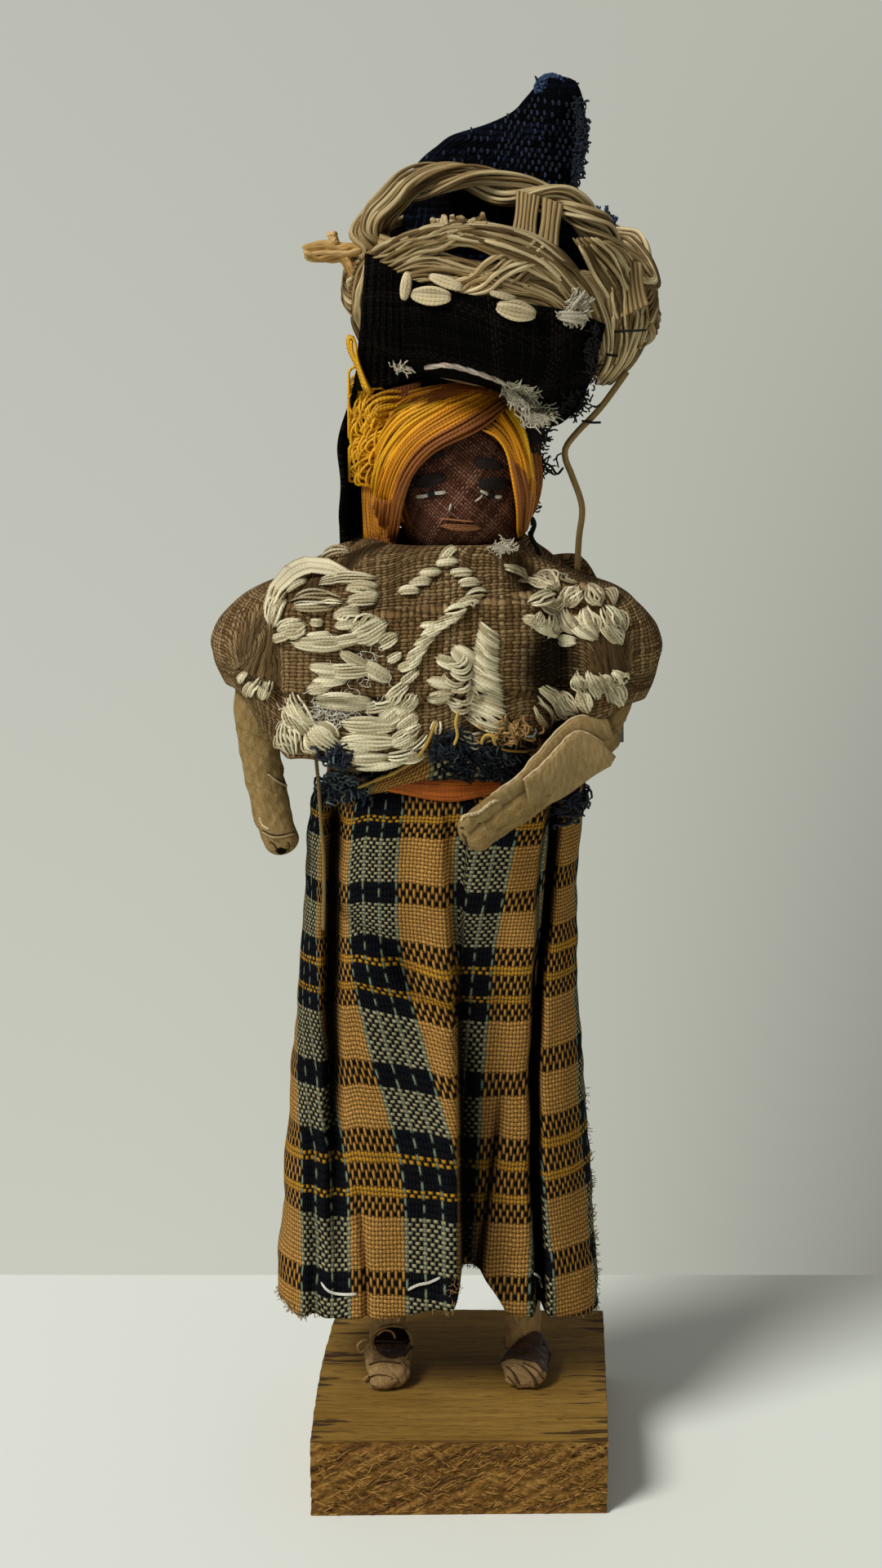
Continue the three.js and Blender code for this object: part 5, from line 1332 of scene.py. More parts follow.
arm_paper = paper("wrap_paper", (104, 80, 40), (144, 118, 72), (180, 154, 106), relief=0.5)
# Painted shade: a dark patch laid where the inside of an opening lies in shade.
hollow_shade_paint, shader = material("painted_shade_hollow", 1.0, 0.0)
link(paint(22, 15, 10), shader.inputs["Base Color"])

# %% Helper: a limb


def limb(name, route, radii, rows, columns, seed, lumps, ledge=0.22, pitch=9.0, ends=(1.0, 1.0)):
    """A tube of wound paper with rounded ends. radii go from its start to its end, evenly spaced."""
    line = resample(route, 200)
    total = length_of(line)
    tangent = np.gradient(line, axis=0)
    tangent /= np.linalg.norm(tangent, axis=1, keepdims=True)
    across_way = np.cross([0, 1, 0], tangent)
    across_way /= np.linalg.norm(across_way, axis=1, keepdims=True)
    up_way = np.cross(tangent, across_way)
    share = np.linspace(0, 1, 200)

    def place(across, up):
        angle = across * 2 * np.pi
        dome = 0.085
        along = np.clip((up - dome) / (1 - 2 * dome), 0, 1)
        radius = curve_through(np.linspace(0, 1, len(radii)), radii, along)
        out_low, out_high = np.clip((dome - up) / dome, 0, 1), np.clip((up - 1 + dome) / dome, 0, 1)
        beyond = np.maximum(out_low, out_high) * np.pi / 2
        reach = np.sin(beyond) * radius * np.where(out_low > 0, -ends[0], ends[1])
        at = [np.stack([np.interp(along, share, way[:, k]) for k in range(3)], 1)
              for way in (line, tangent, across_way, up_way)]
        turn = (along * total / pitch + across) % 1
        points = at[0] + at[1] * reach[:, None]
        swell = radius * np.cos(beyond) + np.cos(beyond) * (ledge * (turn - 0.5))
        loose = at[0] + at[2] * (radius * np.cos(angle))[:, None] + at[3] * (radius * np.sin(angle))[:, None]
        swell = swell + np.cos(beyond) * lumps * (wrinkle(loose, 3.0, seed) + 0.5 * wrinkle(loose, 1.3, seed + 2))
        return points + at[2] * (swell * np.cos(angle))[:, None] + at[3] * (swell * np.sin(angle))[:, None]

    def measure(across, up, _):
        return across * 2 * np.pi * radii[0], up * (total + 2 * radii[0])

    def core(centres):
        nearest = np.argmin(((centres[:, None] - line[None]) ** 2).sum(2), axis=1)
        return line[nearest]

    return cloth(name, columns, rows, place, measure, 0.0, core)


# %% Right arm
shoulder = (-32.8, -3, 144.2)
right_route = [shoulder, (-33.2, -3.4, 136.1), (-32.8, -3.9, 127.7), (-30.4, -4.3, 114.7), (-29.2, -4.5, 110.4)]
right_arm = limb("right_arm_paper", right_route, [3.1, 3.05, 3.2, 3.15, 2.95], rows=110, columns=56, seed=2.0,
                 lumps=0.2, ledge=0.34, pitch=15.0, ends=(1.0, 0.82))
give(right_arm, arm_paper, "right_arm", node_name="arm_right")

# The open end of the roll as a patch of painted shade, and the creases of its last turns
right_surface = surface_of(right_arm)


def patch(name, surface, outline_low, outline_top, lift, finish, body="doll", columns=24, rows=8, crown=0.0,
          node_name=None):
    """A small piece that lies on a surface, between two lines as the picture shows them."""
    low, top = traced(outline_low, columns + 1), traced(outline_top, columns + 1)

    def spot(share, rise):
        k = round(share * columns)
        return low[k] + (top[k] - low[k]) * rise

    def place(across, up):
        lifts = lift + crown * np.sin(np.pi * across) * np.sin(np.pi * up)
        found = [landed(surface, *spot(share, rise), high) for share, rise, high in zip(across, up, lifts)]
        missed = np.array([point is None for point in found])
        points = np.array([(np.nan,) * 3 if point is None else point for point in found])
        met = np.nonzero(~missed)[0]
        for i in np.nonzero(missed)[0]:      # beside the surface: as deep as the nearest place that meets it
            beside = met[np.argmin((across[met] - across[i]) ** 2 + (up[met] - up[i]) ** 2)]
            points[i] = at_depth(*spot(across[i], up[i]), points[beside, 1])
        return points

    return give(cloth(name, columns, rows, place), finish, body, node_name)


def creases(name, surface, routes, lift, radius, finish, body="doll", steps=16):
    """Thin raised or sunk lines on a surface, as the picture shows them."""
    paths = []
    for route in routes:
        line = traced(route, steps)
        path = [landed(surface, x, y, lift) for x, y in line]
        met = [point for point in path if point is not None]
        if len(met) > steps / 2:
            depth = sum(point[1] for point in met) / len(met)
            paths.append([at_depth(x, y, depth) if point is None else point for point, (x, y) in zip(path, line)])
    return give(threads(name, paths, radius, 6, tone=np.linspace(0.2, 0.9, len(paths))), finish,
                body)


# Pale threads on ledges and rims are painted highlight; dark threads in creases and folds are painted shadow.
paper_edge_highlight = dyed_thread("paper_edge_highlight", (150, 122, 74), (206, 184, 142), 0.9, 0.0, 0.9, 0.02)
paper_shadow = dyed_thread("paper_shadow", (44, 30, 12), (78, 56, 28), 1.0, 0.0, 0.9, 0.0)
patch("right_hand_hole_shade", right_surface, [(337, 1041), (343, 1045), (350, 1043)],
      [(338, 1039), (344, 1037), (351, 1039)], 0.12, hollow_shade_paint, "right_arm", 12, 4)
creases("right_arm_creases", right_surface,
        [[(321, 1016), (333, 1022), (346, 1022), (362, 1018)], [(327, 945), (339, 954), (351, 960)],
         [(330, 1030), (336, 1034), (340, 1042)], [(352, 1030), (354, 1036), (352, 1042)]],
        0.0, 0.17, paper_shadow, "right_arm")
creases("right_arm_ledges", right_surface,
        [[(321, 1018), (333, 1024), (346, 1024), (361, 1020)], [(328, 947), (339, 956), (351, 962)],
         [(318, 1000), (322, 1010), (330, 1015)]],
        0.05, 0.2, paper_edge_highlight, "right_arm")

# %% Left arm
elbow, hand = np.array((25.4, -8.13, 130.10)), np.array((2.2, -20.8, 116.0))
upper_route = [(25.4, -3, 144.2), (25.5, -4.6, 139.6), (24.9, -6.8, 134.6), (23.6, -8.6, 130.2)]
upper_arm = limb("left_upper_arm_paper", upper_route, [3.1, 2.9, 2.7, 2.5], rows=60, columns=48, seed=4.0,
                 lumps=0.34)
give(upper_arm, arm_paper, "left_upper_arm", node_name="upper_arm_left")

wrist = elbow + (hand - elbow) * 0.09
forearm = limb("left_forearm_paper", [wrist, (wrist + hand) / 2, hand], [2.7, 3.35, 3.5, 3.35, 3.1], rows=90,
               columns=56, seed=6.0, lumps=0.22, ledge=0.14, pitch=13.0, ends=(0.7, 0.72))
give(forearm, arm_paper, "left_forearm", node_name="forearm_left")


def forearm_depth(across):
    """How deep the forearm lies at a place across the picture."""
    return elbow[1] + (hand[1] - elbow[1]) * np.clip((755 - across) / 180, 0, 1)


def flap(name, edge, root, stand, curl):
    """A loose turn of the wrap: a strip from its root on the arm to its lifted edge, as they show."""
    edge_line, root_line = traced(edge, 41), traced(root, 41)

    def place(across, up):
        high, low = along_line(edge_line, across), along_line(root_line, across)
        x, y = (low + (high - low) * up[:, None]).T
        out = stand[0] + (stand[1] - stand[0]) * up + curl * np.sin(np.pi * up) + 0.12 * np.sin(across * 13)
        return np.stack([at_depth(*spot) for spot in zip(x, y, forearm_depth(x) - out)])

    return give(cloth(name, 60, 10, place, wall=0.55), flap_paper, "left_forearm")


flap_paper = paper("flap_paper", (122, 96, 54), (158, 132, 86), (190, 166, 120), 90.0, 140.0, 0.35)
back_edge = [(742, 880), (727, 880), (713, 877), (700, 881), (689, 889), (673, 905), (663, 918), (650, 931),
             (636, 949), (617, 963), (601, 974)]
front_edge = [(751, 927), (740, 914), (727, 903), (710, 896), (697, 901), (680, 919), (661, 939), (641, 955)]
hand_edge = [(564, 1005), (569, 999), (578, 997), (588, 994), (600, 984), (612, 978)]
back_flap = flap("wrap_flap_back", back_edge,
                 [(752, 905), (738, 906), (724, 908), (710, 914), (698, 922), (686, 932), (674, 943), (660, 955),
                  (645, 966), (630, 975), (612, 985)], (2.4, 3.3), 0.5)
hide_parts("wrap_flap_left")
flap("wrap_flap_front", front_edge,
     [(746, 934), (736, 940), (724, 948), (708, 960), (694, 970), (680, 978), (664, 984), (648, 988)],
     (3.2, 4.3), 0.7)
flap("wrap_flap_hand", hand_edge,
     [(572, 1020), (578, 1016), (586, 1011), (596, 1006), (606, 999), (616, 992)], (3.0, 3.7), 0.5)

# Rolled rims along the flaps' edges, painted pale as highlight.
rims = []
for edge, out in ((back_edge, 3.45), (front_edge, 4.5), (hand_edge, 3.85)):
    line = traced(edge, 48)
    for off in (0.0, 1.1):
        rims.append([at_depth(x + 0.5 * math.sin(k), y - off, forearm_depth(x) - out + 0.12 * math.sin(k * 1.7))
                     for k, (x, y) in enumerate(line)])
give(threads("wrap_flap_rims", rims, 0.2, 6, tone=np.linspace(0.6, 1, len(rims))), paper_edge_highlight,
     "left_forearm")
forearm_surface = surface_of(forearm)
creases("left_hand_creases", forearm_surface,
        [[(564, 1013), (571, 1013), (579, 1009), (588, 1007)], [(566, 1020), (570, 1026), (572, 1036)],
         [(652, 975), (668, 968), (690, 955)]],
        0.05, 0.2, paper_shadow, "left_forearm")

# %% [markdown]
# ## The head
#
# Stuffing tied in a plum-brown knit makes an egg, and the face is stitched on it in floss: satin
# brows, white and black eyes and a tan mouth. The knit's rows run aslant, so the weave is turned.

# %% Knit
knit = woven("plum_knit", 0.05, (0.46, 0.52), 0.4, 0.5, (0.2, 0.55, 0.85),
             [(66, 38, 28), (98, 62, 46), (136, 98, 78)], 0.14, 0.26, (9.0, 0.2), turned=math.radians(38))

# %% Face
HEAD_MIDDLE = np.array((0.3, -1.0, 169.8))
HEAD_HALF = np.array((11.2, 11.0, 12.6))


def on_head(turn, rise, lift=0.0):
    """A place on the egg of the head, given by two angles, and how far it is lifted off."""
    way = np.stack([np.cos(turn) * np.cos(rise), np.sin(turn) * np.cos(rise), np.sin(rise)], -1)
    return HEAD_MIDDLE + way * (HEAD_HALF + lift)


def head_middle(centres):
    return np.broadcast_to(HEAD_MIDDLE, centres.shape)


def face_points(across, up):
    points = on_head(np.pi / 2 + across * 2 * np.pi, (up - 0.5) * np.pi)
    # Towards the neck the knit stays as wide as the jaw.
    rise = (0.5 - up) * np.pi
    wide = np.where(rise > 0, np.maximum(np.cos(rise), 1e-6) ** -0.5, 1.0) * step(-rise, -1.5, -1.1)
    points[:, :2] = HEAD_MIDDLE[:2] + (points[:, :2] - HEAD_MIDDLE[:2]) * np.maximum(wide, 1.0)[:, None]
    x, z = points[:, 0] - HEAD_MIDDLE[0], points[:, 2] - HEAD_MIDDLE[2]
    front = points[:, 1] < HEAD_MIDDLE[1]
    nose = 0.75 * np.exp(-((x - 1.6) / 1.5) ** 2 - ((z + 3.2) / 3.2) ** 2)
    cheeks = 0.3 * np.exp(-((np.abs(x - 1.6) - 4.6) / 2.4) ** 2 - ((z + 6.0) / 2.6) ** 2)
    sockets = -0.3 * np.exp(-((np.abs(x - 2.2) - 4) / 2.4) ** 2 - ((z + 2.6) / 1.6) ** 2)
    points[:, 1] -= np.where(front, nose + cheeks + sockets, 0)
    return points + 0.1 * wrinkle(points, 3.0, 1.0)[:, None] * (points - HEAD_MIDDLE) / 11


head = cloth("face_knit", 110, 80, face_points, by_share(2 * np.pi * 11.2, np.pi * 12.0, 0.5), middle=head_middle)
give(head, knit, node_name="face_cloth")

# %% Face stitches
dark_floss = dyed_thread("dark_thread", (14, 8, 5), (40, 24, 16), 0.8)
black_floss = dyed_thread("pupil_thread", (8, 5, 4), (22, 15, 12), 0.8)
tan_floss = dyed_thread("tan_thread", (128, 78, 42), (176, 118, 74), 0.75)
face_surface = surface_of(head)
face_stitches = [  # node, middle, length, height, tilt, threads, floss, slot
    ("brow_right", (525, 588), 40, 16, 12, 7, dark_floss, "dark_thread"),
    ("brow_mark_right", (536, 557), 18, 10, 16, 4, dark_floss, "dark_thread"),
    ("brow_upper_left", (598, 568), 36, 14, -10, 6, dark_floss, "dark_thread"),
    ("brow_lower_left", (604, 592), 38, 16, -4, 7, dark_floss, "dark_thread"),
    ("eye_white_outer_right", (518, 606.5), 17, 4.6, 4, 2, white_floss, "white_thread"),
    ("eye_pupil_right", (529, 604.5), 10, 7, 0, 3, black_floss, "dark_thread"),
    ("eye_white_inner_right", (539, 602.5), 15, 4.6, 8, 2, white_floss, "white_thread"),
    ("eye_white_inner_left", (592, 602.5), 11, 4, -24, 2, white_floss, "white_thread"),
    ("eye_pupil_left", (600.5, 606), 9, 8, 0, 3, black_floss, "dark_thread"),
    ("eye_white_outer_left", (608.5, 607.5), 10, 4.4, -4, 2, white_floss, "white_thread"),
    ("eye_slant_left", (586, 609), 12, 2.4, 42, 1, white_floss, "white_thread"),
    ("nose_stitch", (551.5, 621), 8, 2.4, 76, 1, white_floss, "white_thread"),
    ("mouth_bar", (563.5, 644), 50, 8, -2, 4, tan_floss, "tan_thread"),
]
for name, middle, length, height, tilt, count, floss, slot in face_stitches:
    paths = float_threads(face_surface, middle, length, height, tilt, count, 0.3)
    if name == "mouth_bar":
        paths += float_threads(face_surface, (560, 636), 42, 2, -5, 1, 0.12)
        paths += float_threads(face_surface, (540, 638), 8, 2, 60, 1, 0.12)
    give(threads(name + "_floss", paths, height / count / PIXELS_PER_MM * 0.56, 6), floss, node_name=name)

# %% [markdown]
# ## Hair of golden floss
#
# The hair is embroidery floss laid over the crown: one swoop from the parting down the right side of
# the face, a shorter one down the left, a dark band across the top and a tuft of loops. Hundreds of
# thin tubes follow a few guide lines; between two guide lines the threads share out the way.

# %% Golden floss
gold_floss = dyed_thread("gold_floss", (92, 46, 0), (232, 154, 14), 0.55)
amber_floss = dyed_thread("amber_floss", (60, 26, 0), (166, 92, 4), 0.55)
bronze_floss = dyed_thread("bronze_floss", (78, 40, 8), (158, 92, 28))
yellow_floss = dyed_thread("yellow_floss", (170, 112, 0), (248, 188, 30), 0.55)

cap_finish, shader = material("gold_floss_cap", 0.7, 0.15)
lines = use("Strands", {"Place": place_in("UV"), "Width": 0.5, "Length": 30.0})
link(painted(lines["Tone"], (0.3, 0.5, 0.7), (40, 18, 0), (84, 42, 2), (120, 66, 8)), shader.inputs["Base Color"])
bump(shader, lines["Height"], 0.3)


def hair_cap(across, up):
    """Over the crown, down the back and past the ears; open in front for the face."""
    turn = np.radians(-38 + 256 * across)
    rise = np.pi / 2 * up + np.arcsin(-0.6) * (1 - up)
    return on_head(turn, rise, 1.1 + 0.15 * np.sin(turn * 60)[:, None])


cap = cloth("hair_cap_floss", 150, 40, hair_cap, by_share(50, 22), 0.7, head_middle)
give(cap, cap_finish, node_name="hair_cap")


def on_hair(across, down, lift):
    """A place in the picture, landed on the head grown by a lift."""
    line, start = seen(across, down), CAMERA_PLACE
    size = HEAD_HALF + lift
    a, b = line / size, (start - HEAD_MIDDLE) / size
    square, half, rest = a @ a, a @ b, b @ b - 1
    inside = half * half - square * rest
    if inside < 0:      # beside the head: at the head's own depth
        point = start + line * (-half / square)
        way = (point - HEAD_MIDDLE) / size
        return HEAD_MIDDLE + way * size
    return start + line * (-half - math.sqrt(inside)) / square


def lock(name, node_name, guides, count, lifts, floss, radius=0.27, wave=0.0, steps=18, ragged=0.02):
    """Threads shared out between guide lines that the picture gives, in one layer for each lift."""
    lines = np.stack([traced(guide, steps) for guide in guides])
    places, paths = np.linspace(0, 1, len(guides)), []
    for lift in lifts:
        for k in range(count):
            share = (k + 0.5 + chance.uniform(-0.3, 0.3)) / count
            line = np.stack([[np.interp(share, places, lines[:, i, j]) for j in (0, 1)] for i in range(steps)])
            begin, stop = chance.uniform(0, ragged), 1 - chance.uniform(0, ragged)
            path, height = [], lift + chance.uniform(-0.4, 0.4)
            for t in np.linspace(begin, stop, steps):
                x, y = (np.interp(t * (steps - 1), range(steps), line[:, j]) for j in (0, 1))
                x += wave * math.sin(9 * t + 20 * share)
                crown = math.sin(math.pi * min(1, max(0.0, share))) * 0.9
                path.append(on_hair(x, y, height + crown * math.sin(math.pi * min(1, 0.15 + t))))
            paths.append(path)
    # The layer below is painted darker, as shade, so that it shows as gaps between the threads on top.
    below = count * (len(lifts) - 1)
    tone = chance.uniform(0.5, 1.1, len(paths))
    tone[:below] = chance.uniform(0, 0.3, below)
    give(threads(name, paths, radius, 6, tone=tone), floss, node_name=node_name)


# %% Swoops, band and tuft
locks = [  # name, node, guide lines, threads in a layer, lifts, floss, radius, wave
    ("hair_swoop_right_floss", "hair_swoop_right",
     [[(540, 470), (486, 484), (455, 520), (443, 590), (446, 664)],
      [(590, 474), (530, 494), (478, 536), (456, 600), (456, 668)],
      [(618, 480), (566, 508), (508, 546), (478, 600), (472, 668)],
      [(628, 488), (588, 521), (529, 553), (498, 596), (483, 668)]], 23, (1.4, 2.3), gold_floss, 0.27, 1.2),
    ("hair_swoop_right_bronze", None,
     [[(612, 482), (560, 512), (510, 544), (483, 592), (470, 662)],
      [(629, 492), (590, 525), (532, 555), (499, 596), (484, 666)]], 9, (2.75,), bronze_floss, 0.25, 1.0),
    ("hair_swoop_right_yellow", None,
     [[(520, 486), (474, 508), (450, 556), (444, 620)], [(570, 494), (508, 534), (474, 580), (460, 640)]],
     9, (2.8,), yellow_floss, 0.24, 1.2),
    ("hair_swoop_left_floss", "hair_swoop_left",
     [[(588, 528), (606, 536), (622, 560), (630, 606), (634, 660)],
      [(610, 500), (630, 530), (642, 566), (646, 606), (641, 654)],
      [(626, 480), (641, 512), (652, 556), (654, 600), (647, 642)]], 14, (1.3, 2.1), gold_floss, 0.27, 1.0),
    ("hair_swoop_left_bronze", None,
     [[(622, 556), (632, 600), (636, 656)], [(646, 580), (652, 612), (645, 650)]],
     7, (2.6,), bronze_floss, 0.25, 0.0),
    ("hair_swoop_left_yellow", None,
     [[(616, 500), (638, 536), (650, 580)], [(628, 490), (646, 530), (653, 590)]],
     6, (2.65,), yellow_floss, 0.24, 0.0),
    ("hair_ends_bronze", None,
     [[(447, 596), (446, 636), (450, 672)], [(463, 610), (462, 642), (466, 673)],
      [(480, 612), (477, 644), (482, 672)]], 9, (2.75,), bronze_floss, 0.26, 0.4),
    ("hair_band_floss", None,
     [[(632, 484), (590, 466), (530, 466), (462, 480)], [(630, 490), (585, 478), (530, 482), (470, 500)],
      [(628, 496), (590, 490), (540, 498), (486, 520)]], 18, (1.4, 2.1), amber_floss, 0.27, 1.4)]
for row in locks:
    lock(*row)


def loops(count):
    """Cut ends and loops of floss that stand out at the temple."""
    paths = []
    for _ in range(count):
        x, y = chance.uniform(446, 480), chance.uniform(478, 590)
        reach, turn = chance.uniform(16, 36), chance.uniform(1.8, 3.1)
        path, spread = [], chance.uniform(0.3, 0.75)
        for t in np.linspace(0, 1, 18):
            swing = math.pi * 1.25 * t
            a, b = reach * math.sin(swing), reach * spread * (1 - math.cos(swing))
            point = on_hair(x + a * math.cos(turn) - b * math.sin(turn) * 0.6,
                            y + a * math.sin(turn) * 0.8 + b * math.cos(turn), 2.0)
            point[1] -= 1.2 * math.sin(math.pi * t)
            point[0] = max(point[0], -17.5)
            path.append(point)
        paths.append(path)
    return paths


strands("hair_tuft_floss", loops(64), 0.25, 5, yellow_floss, "gold_floss", (0.2, 1), node_name="hair_tuft")
loop_paths = []
for k in range(7):
    line = traced([(446 + k, 478), (438 + 0.6 * k, 452), (427 + 0.9 * k, 428 + k), (426 + 0.8 * k, 412 + k),
                  (433 + 0.4 * k, 414 + k), (438 - 0.2 * k, 440), (446 - 0.5 * k, 462), (455 - k, 480)], 26)
    loop_paths.append([at_depth(x, y, -8.0 - 0.35 * (k % 3)) for x, y in line])
give(threads("hair_loop_yellow", loop_paths, 0.24, 5, tone=np.linspace(0.3, 1, 7)), yellow_floss)

# %% Hair down the back of the head
back_hair = []
for k in range(150):
    turn = math.radians(-30 + 240 * (k + chance.uniform(0, 0.6)) / 150)
    path = []
    for t in np.linspace(0.96, -0.5, 18):
        path.append(on_head(turn + 0.12 * math.sin(3 * t + k), math.asin(max(-0.7, t)), 1.45))
    back_hair.append(path)
strands("hair_back_floss", back_hair, 0.3, 5, amber_floss, "gold_floss")

# %% [markdown]
# ## The basket
#
# Raffia strands are twisted into a rim and braided round a bowl, with a few fluted strips of leaf tied
# across. The bowl is a shell of bark-like strips; on it lie a braid and a rope of separate strands,
# because their shadows between the strands are what makes raffia look like raffia.

# %% The basket's place
BASKET_PLACE = np.array((5.0, 2.2, 185.7))
BASKET_SIDE_TILT, BASKET_FORWARD_TILT = math.radians(7), math.radians(10)
BASKET_PROFILE = np.array([(0, 13.0), (3.5, 19.3), (8.5, 22.9), (12.5, 23.3), (20.4, 21.0)])  # height, radius
BASKET_OVAL = 20.5 / 23.3      # how much shallower than wide it is
RIM_RADIUS, RIM_HEIGHT = 20.0, 22.6


def tipped(a, b, tilt):
    """Two coordinates turned by an angle."""
    return a * math.cos(tilt) - b * math.sin(tilt), a * math.sin(tilt) + b * math.cos(tilt)


def on_basket(angle, height, radius):
    """A place given by the angle round the basket, the height up it and the distance from its middle."""
    x, y, z = radius * np.cos(angle), radius * np.sin(angle) * BASKET_OVAL, np.asarray(height, float) + 0 * angle
    y, z = tipped(y, z, BASKET_FORWARD_TILT)
    x, z = tipped(x, z, -BASKET_SIDE_TILT)
    return np.stack([x, y, z], -1) + BASKET_PLACE


def basket_radius(height):
    return np.interp(height, BASKET_PROFILE[:, 0], BASKET_PROFILE[:, 1])


# %% Bowl
bark = raffia("raffia_bark", (96, 74, 44), (150, 124, 82), (190, 168, 126), 0.9, 16.0, 0.5)


def bowl(across, up):
    turn = across * 2 * np.pi
    height = np.interp(up, [0, 0.2, 1], [0, 0, 20.4])
    radius = np.where(up < 0.2, 13 * up / 0.2, basket_radius(height))
    points = on_basket(turn, height, radius)
    return points + (0.25 * np.sin(turn * 38 + height * 0.9) * step(up, 0.15, 0.3))[:, None] * (
        points - on_basket(turn, height, radius * 0.9)) / 2


bowl_piece = cloth("basket_bowl_bark", 200, 60, bowl, lambda across, up, _: (up * 40, across * 140), 1.6,
                   upright(5, 2.2))
give(bowl_piece, bark, node_name="basket_bowl")

# %% Rope across the mouth
ROPE_STEPS = 260
rope_guide = [(446, 318), (452, 284), (470, 252), (498, 230), (535, 219), (575, 220), (615, 229), (655, 234),
              (692, 246), (722, 272), (748, 304), (772, 332), (789, 352)]
front_line = [at_depth(x, y, -7.6 + 3.0 * abs(k - 5.5) / 6.5 * (k > 9) + 2.2 * (k < 2))
              for k, (x, y) in enumerate(rope_guide)]
back_line = [on_basket(turn, RIM_HEIGHT - 1.5, RIM_RADIUS) for turn in np.radians(np.linspace(8, 172, 13))]
rope_line = resample(front_line + back_line + front_line[:1], ROPE_STEPS)
rope_tangent = np.gradient(rope_line, axis=0)
rope_tangent /= np.linalg.norm(rope_tangent, axis=1, keepdims=True)
rope_out = np.cross(rope_tangent, [0, 0, 1.0])
rope_out /= np.linalg.norm(rope_out, axis=1, keepdims=True)
rope_rise = np.cross(rope_out, rope_tangent)
run = np.linspace(0, 1, ROPE_STEPS)
rope_paths, rope_radii = [], []
RIBBONS, STRANDS = 4, 9
for ribbon in range(RIBBONS):
    spin = 2 * np.pi * (5.0 * run + ribbon / RIBBONS) + 0.7 * np.sin(9 * run + ribbon)
    reach = 1.35 + 0.25 * np.sin(13 * run + 2 * ribbon)
    for k in range(STRANDS):
        inner = 2 * np.pi * k / STRANDS + 3 * np.pi * run
        a = reach * np.cos(spin) + 0.85 * np.cos(inner) + 0.1 * np.sin(60 * run + 3 * k)
        b = reach * np.sin(spin) + 0.85 * np.sin(inner) + 0.1 * np.cos(47 * run + 5 * k)
        loose = 1 + chance.uniform(-0.16, 0.2)
        rope_paths.append(rope_line + loose * (rope_out * a[:, None] + rope_rise * b[:, None]))
        rope_radii.append(np.full(ROPE_STEPS, chance.uniform(0.24, 0.48)))
raffia_loose = raffia("raffia_loose", (62, 42, 14), (136, 110, 64), (216, 196, 150), 0.3, 14.0, 0.16, 0.34)
strands("basket_rope", rope_paths, rope_radii, 5, raffia_loose, "raffia", oval=0.9, node_name="basket_rim")

# %% Bundles of raffia across the front wall


def front_wall(across, down, lift):
    """Where a line of sight meets the basket's front, as if the wall went on above its top edge."""
    depth = -16.0
    for _ in range(10):
        x, y, z = at_depth(across, down, depth) - BASKET_PLACE
        x, z = tipped(x, z, BASKET_SIDE_TILT)
        y, z = tipped(y, z, -BASKET_FORWARD_TILT)
        radius = basket_radius(z) + lift
        front = -BASKET_OVAL * math.sqrt(max(radius ** 2 - x ** 2, 0.02 * radius ** 2))
        depth += 0.9 * (front - y)
    return at_depth(across, down, depth)


def strap(upper, lower, count, lift, crown=1.6, wall=front_wall, steps=26, wild=0.9):
    """Strands side by side between two lines that the picture gives, bulging like a bundle."""
    top, low = traced(upper, steps), traced(lower, steps)
    made = []
    for layer in range(2):
        for k in range(count):
            share = (k + 0.5 + chance.uniform(-0.4, 0.4)) / count
            bulge = lift + crown * math.sqrt(max(0.0, 1 - (2 * share - 1) ** 2)) * (0.55 + 0.45 * layer)
            bulge += chance.uniform(-0.3, 0.3)
            start, phase, path = chance.uniform(0, 0.05), chance.uniform(0, 6), []
            for i in range(steps):
                x, y = top[i] + (low[i] - top[i]) * (share + 0.06 * math.sin(i * 0.5 + phase))
                x, y = x + wild * math.sin(i * 0.8 + phase), y + wild * math.cos(i * 0.7 + 2 * phase)
                path.append(wall(x, y, bulge + 0.12 * math.sin(i * 1.1 + phase)))
            path = resample(path, steps)
            cut = round(start * steps)
            made.append(resample(path[cut:], steps) if cut else path)
    return made


wall_straps = [  # upper line, lower line, strands in a layer, lift, bulge
    ([(448, 311), (434, 343), (431, 380), (440, 420)],
     [(466, 322), (450, 355), (446, 390), (456, 424)], 9, 0.3, 1.2),
    ([(457, 337), (513, 311), (555, 311), (608, 332), (667, 353), (700, 378)],
     [(474, 360), (525, 347), (566, 353), (613, 366), (667, 380), (694, 398)], 13, 0.2, 1.6),
    ([(655, 291), (615, 306), (578, 328), (545, 352)],
     [(684, 315), (648, 340), (612, 362), (580, 372)], 9, 0.9, 1.4),
    ([(446, 312), (490, 288), (530, 276), (568, 270)],
     [(460, 342), (506, 320), (556, 302), (592, 286)], 12, 1.0, 1.6),
    ([(556, 270), (604, 274), (650, 288), (692, 312), (724, 350), (744, 394), (748, 430)],
     [(530, 298), (590, 306), (636, 324), (670, 344), (700, 372), (716, 404), (722, 440)], 15, 1.0, 1.5),
    ([(737, 290), (773, 314), (793, 355), (796, 390), (780, 437), (748, 470)],
     [(700, 292), (728, 334), (744, 378), (750, 414), (744, 443), (728, 470)], 17, 0.3, 1.2)]
straps = [path for row in wall_straps for path in strap(*row)]
widths = np.repeat(chance.uniform(0.26, 0.46, (len(straps), 1)), 26, 1)
wall_piece = strands("basket_wall_bundles", straps, widths, 5, raffia_loose, "raffia", oval=0.85, ends=0.4)

# The same bundles go on round the back, where the picture doesn't show them.
back_paths = []
for bundle in range(3):
    for k in range(6):
        turn = np.radians(np.linspace(-20, 200, 110))
        phase = turn * 5 + bundle * 2 * np.pi / 3
        height = 12.4 + 3.6 * np.sin(phase) + (k - 2.5) * 0.9
        radius = basket_radius(height) + 0.8 + 0.6 * np.sin(2 * phase) + 0.2 * np.cos((k - 2.5) * 0.6)
        back_paths.append(on_basket(turn, height, radius + 0.1 * np.sin(turn * 31 + k)))
strands("basket_braid", back_paths, 0.5, 5, raffia_loose, "raffia", oval=0.8)

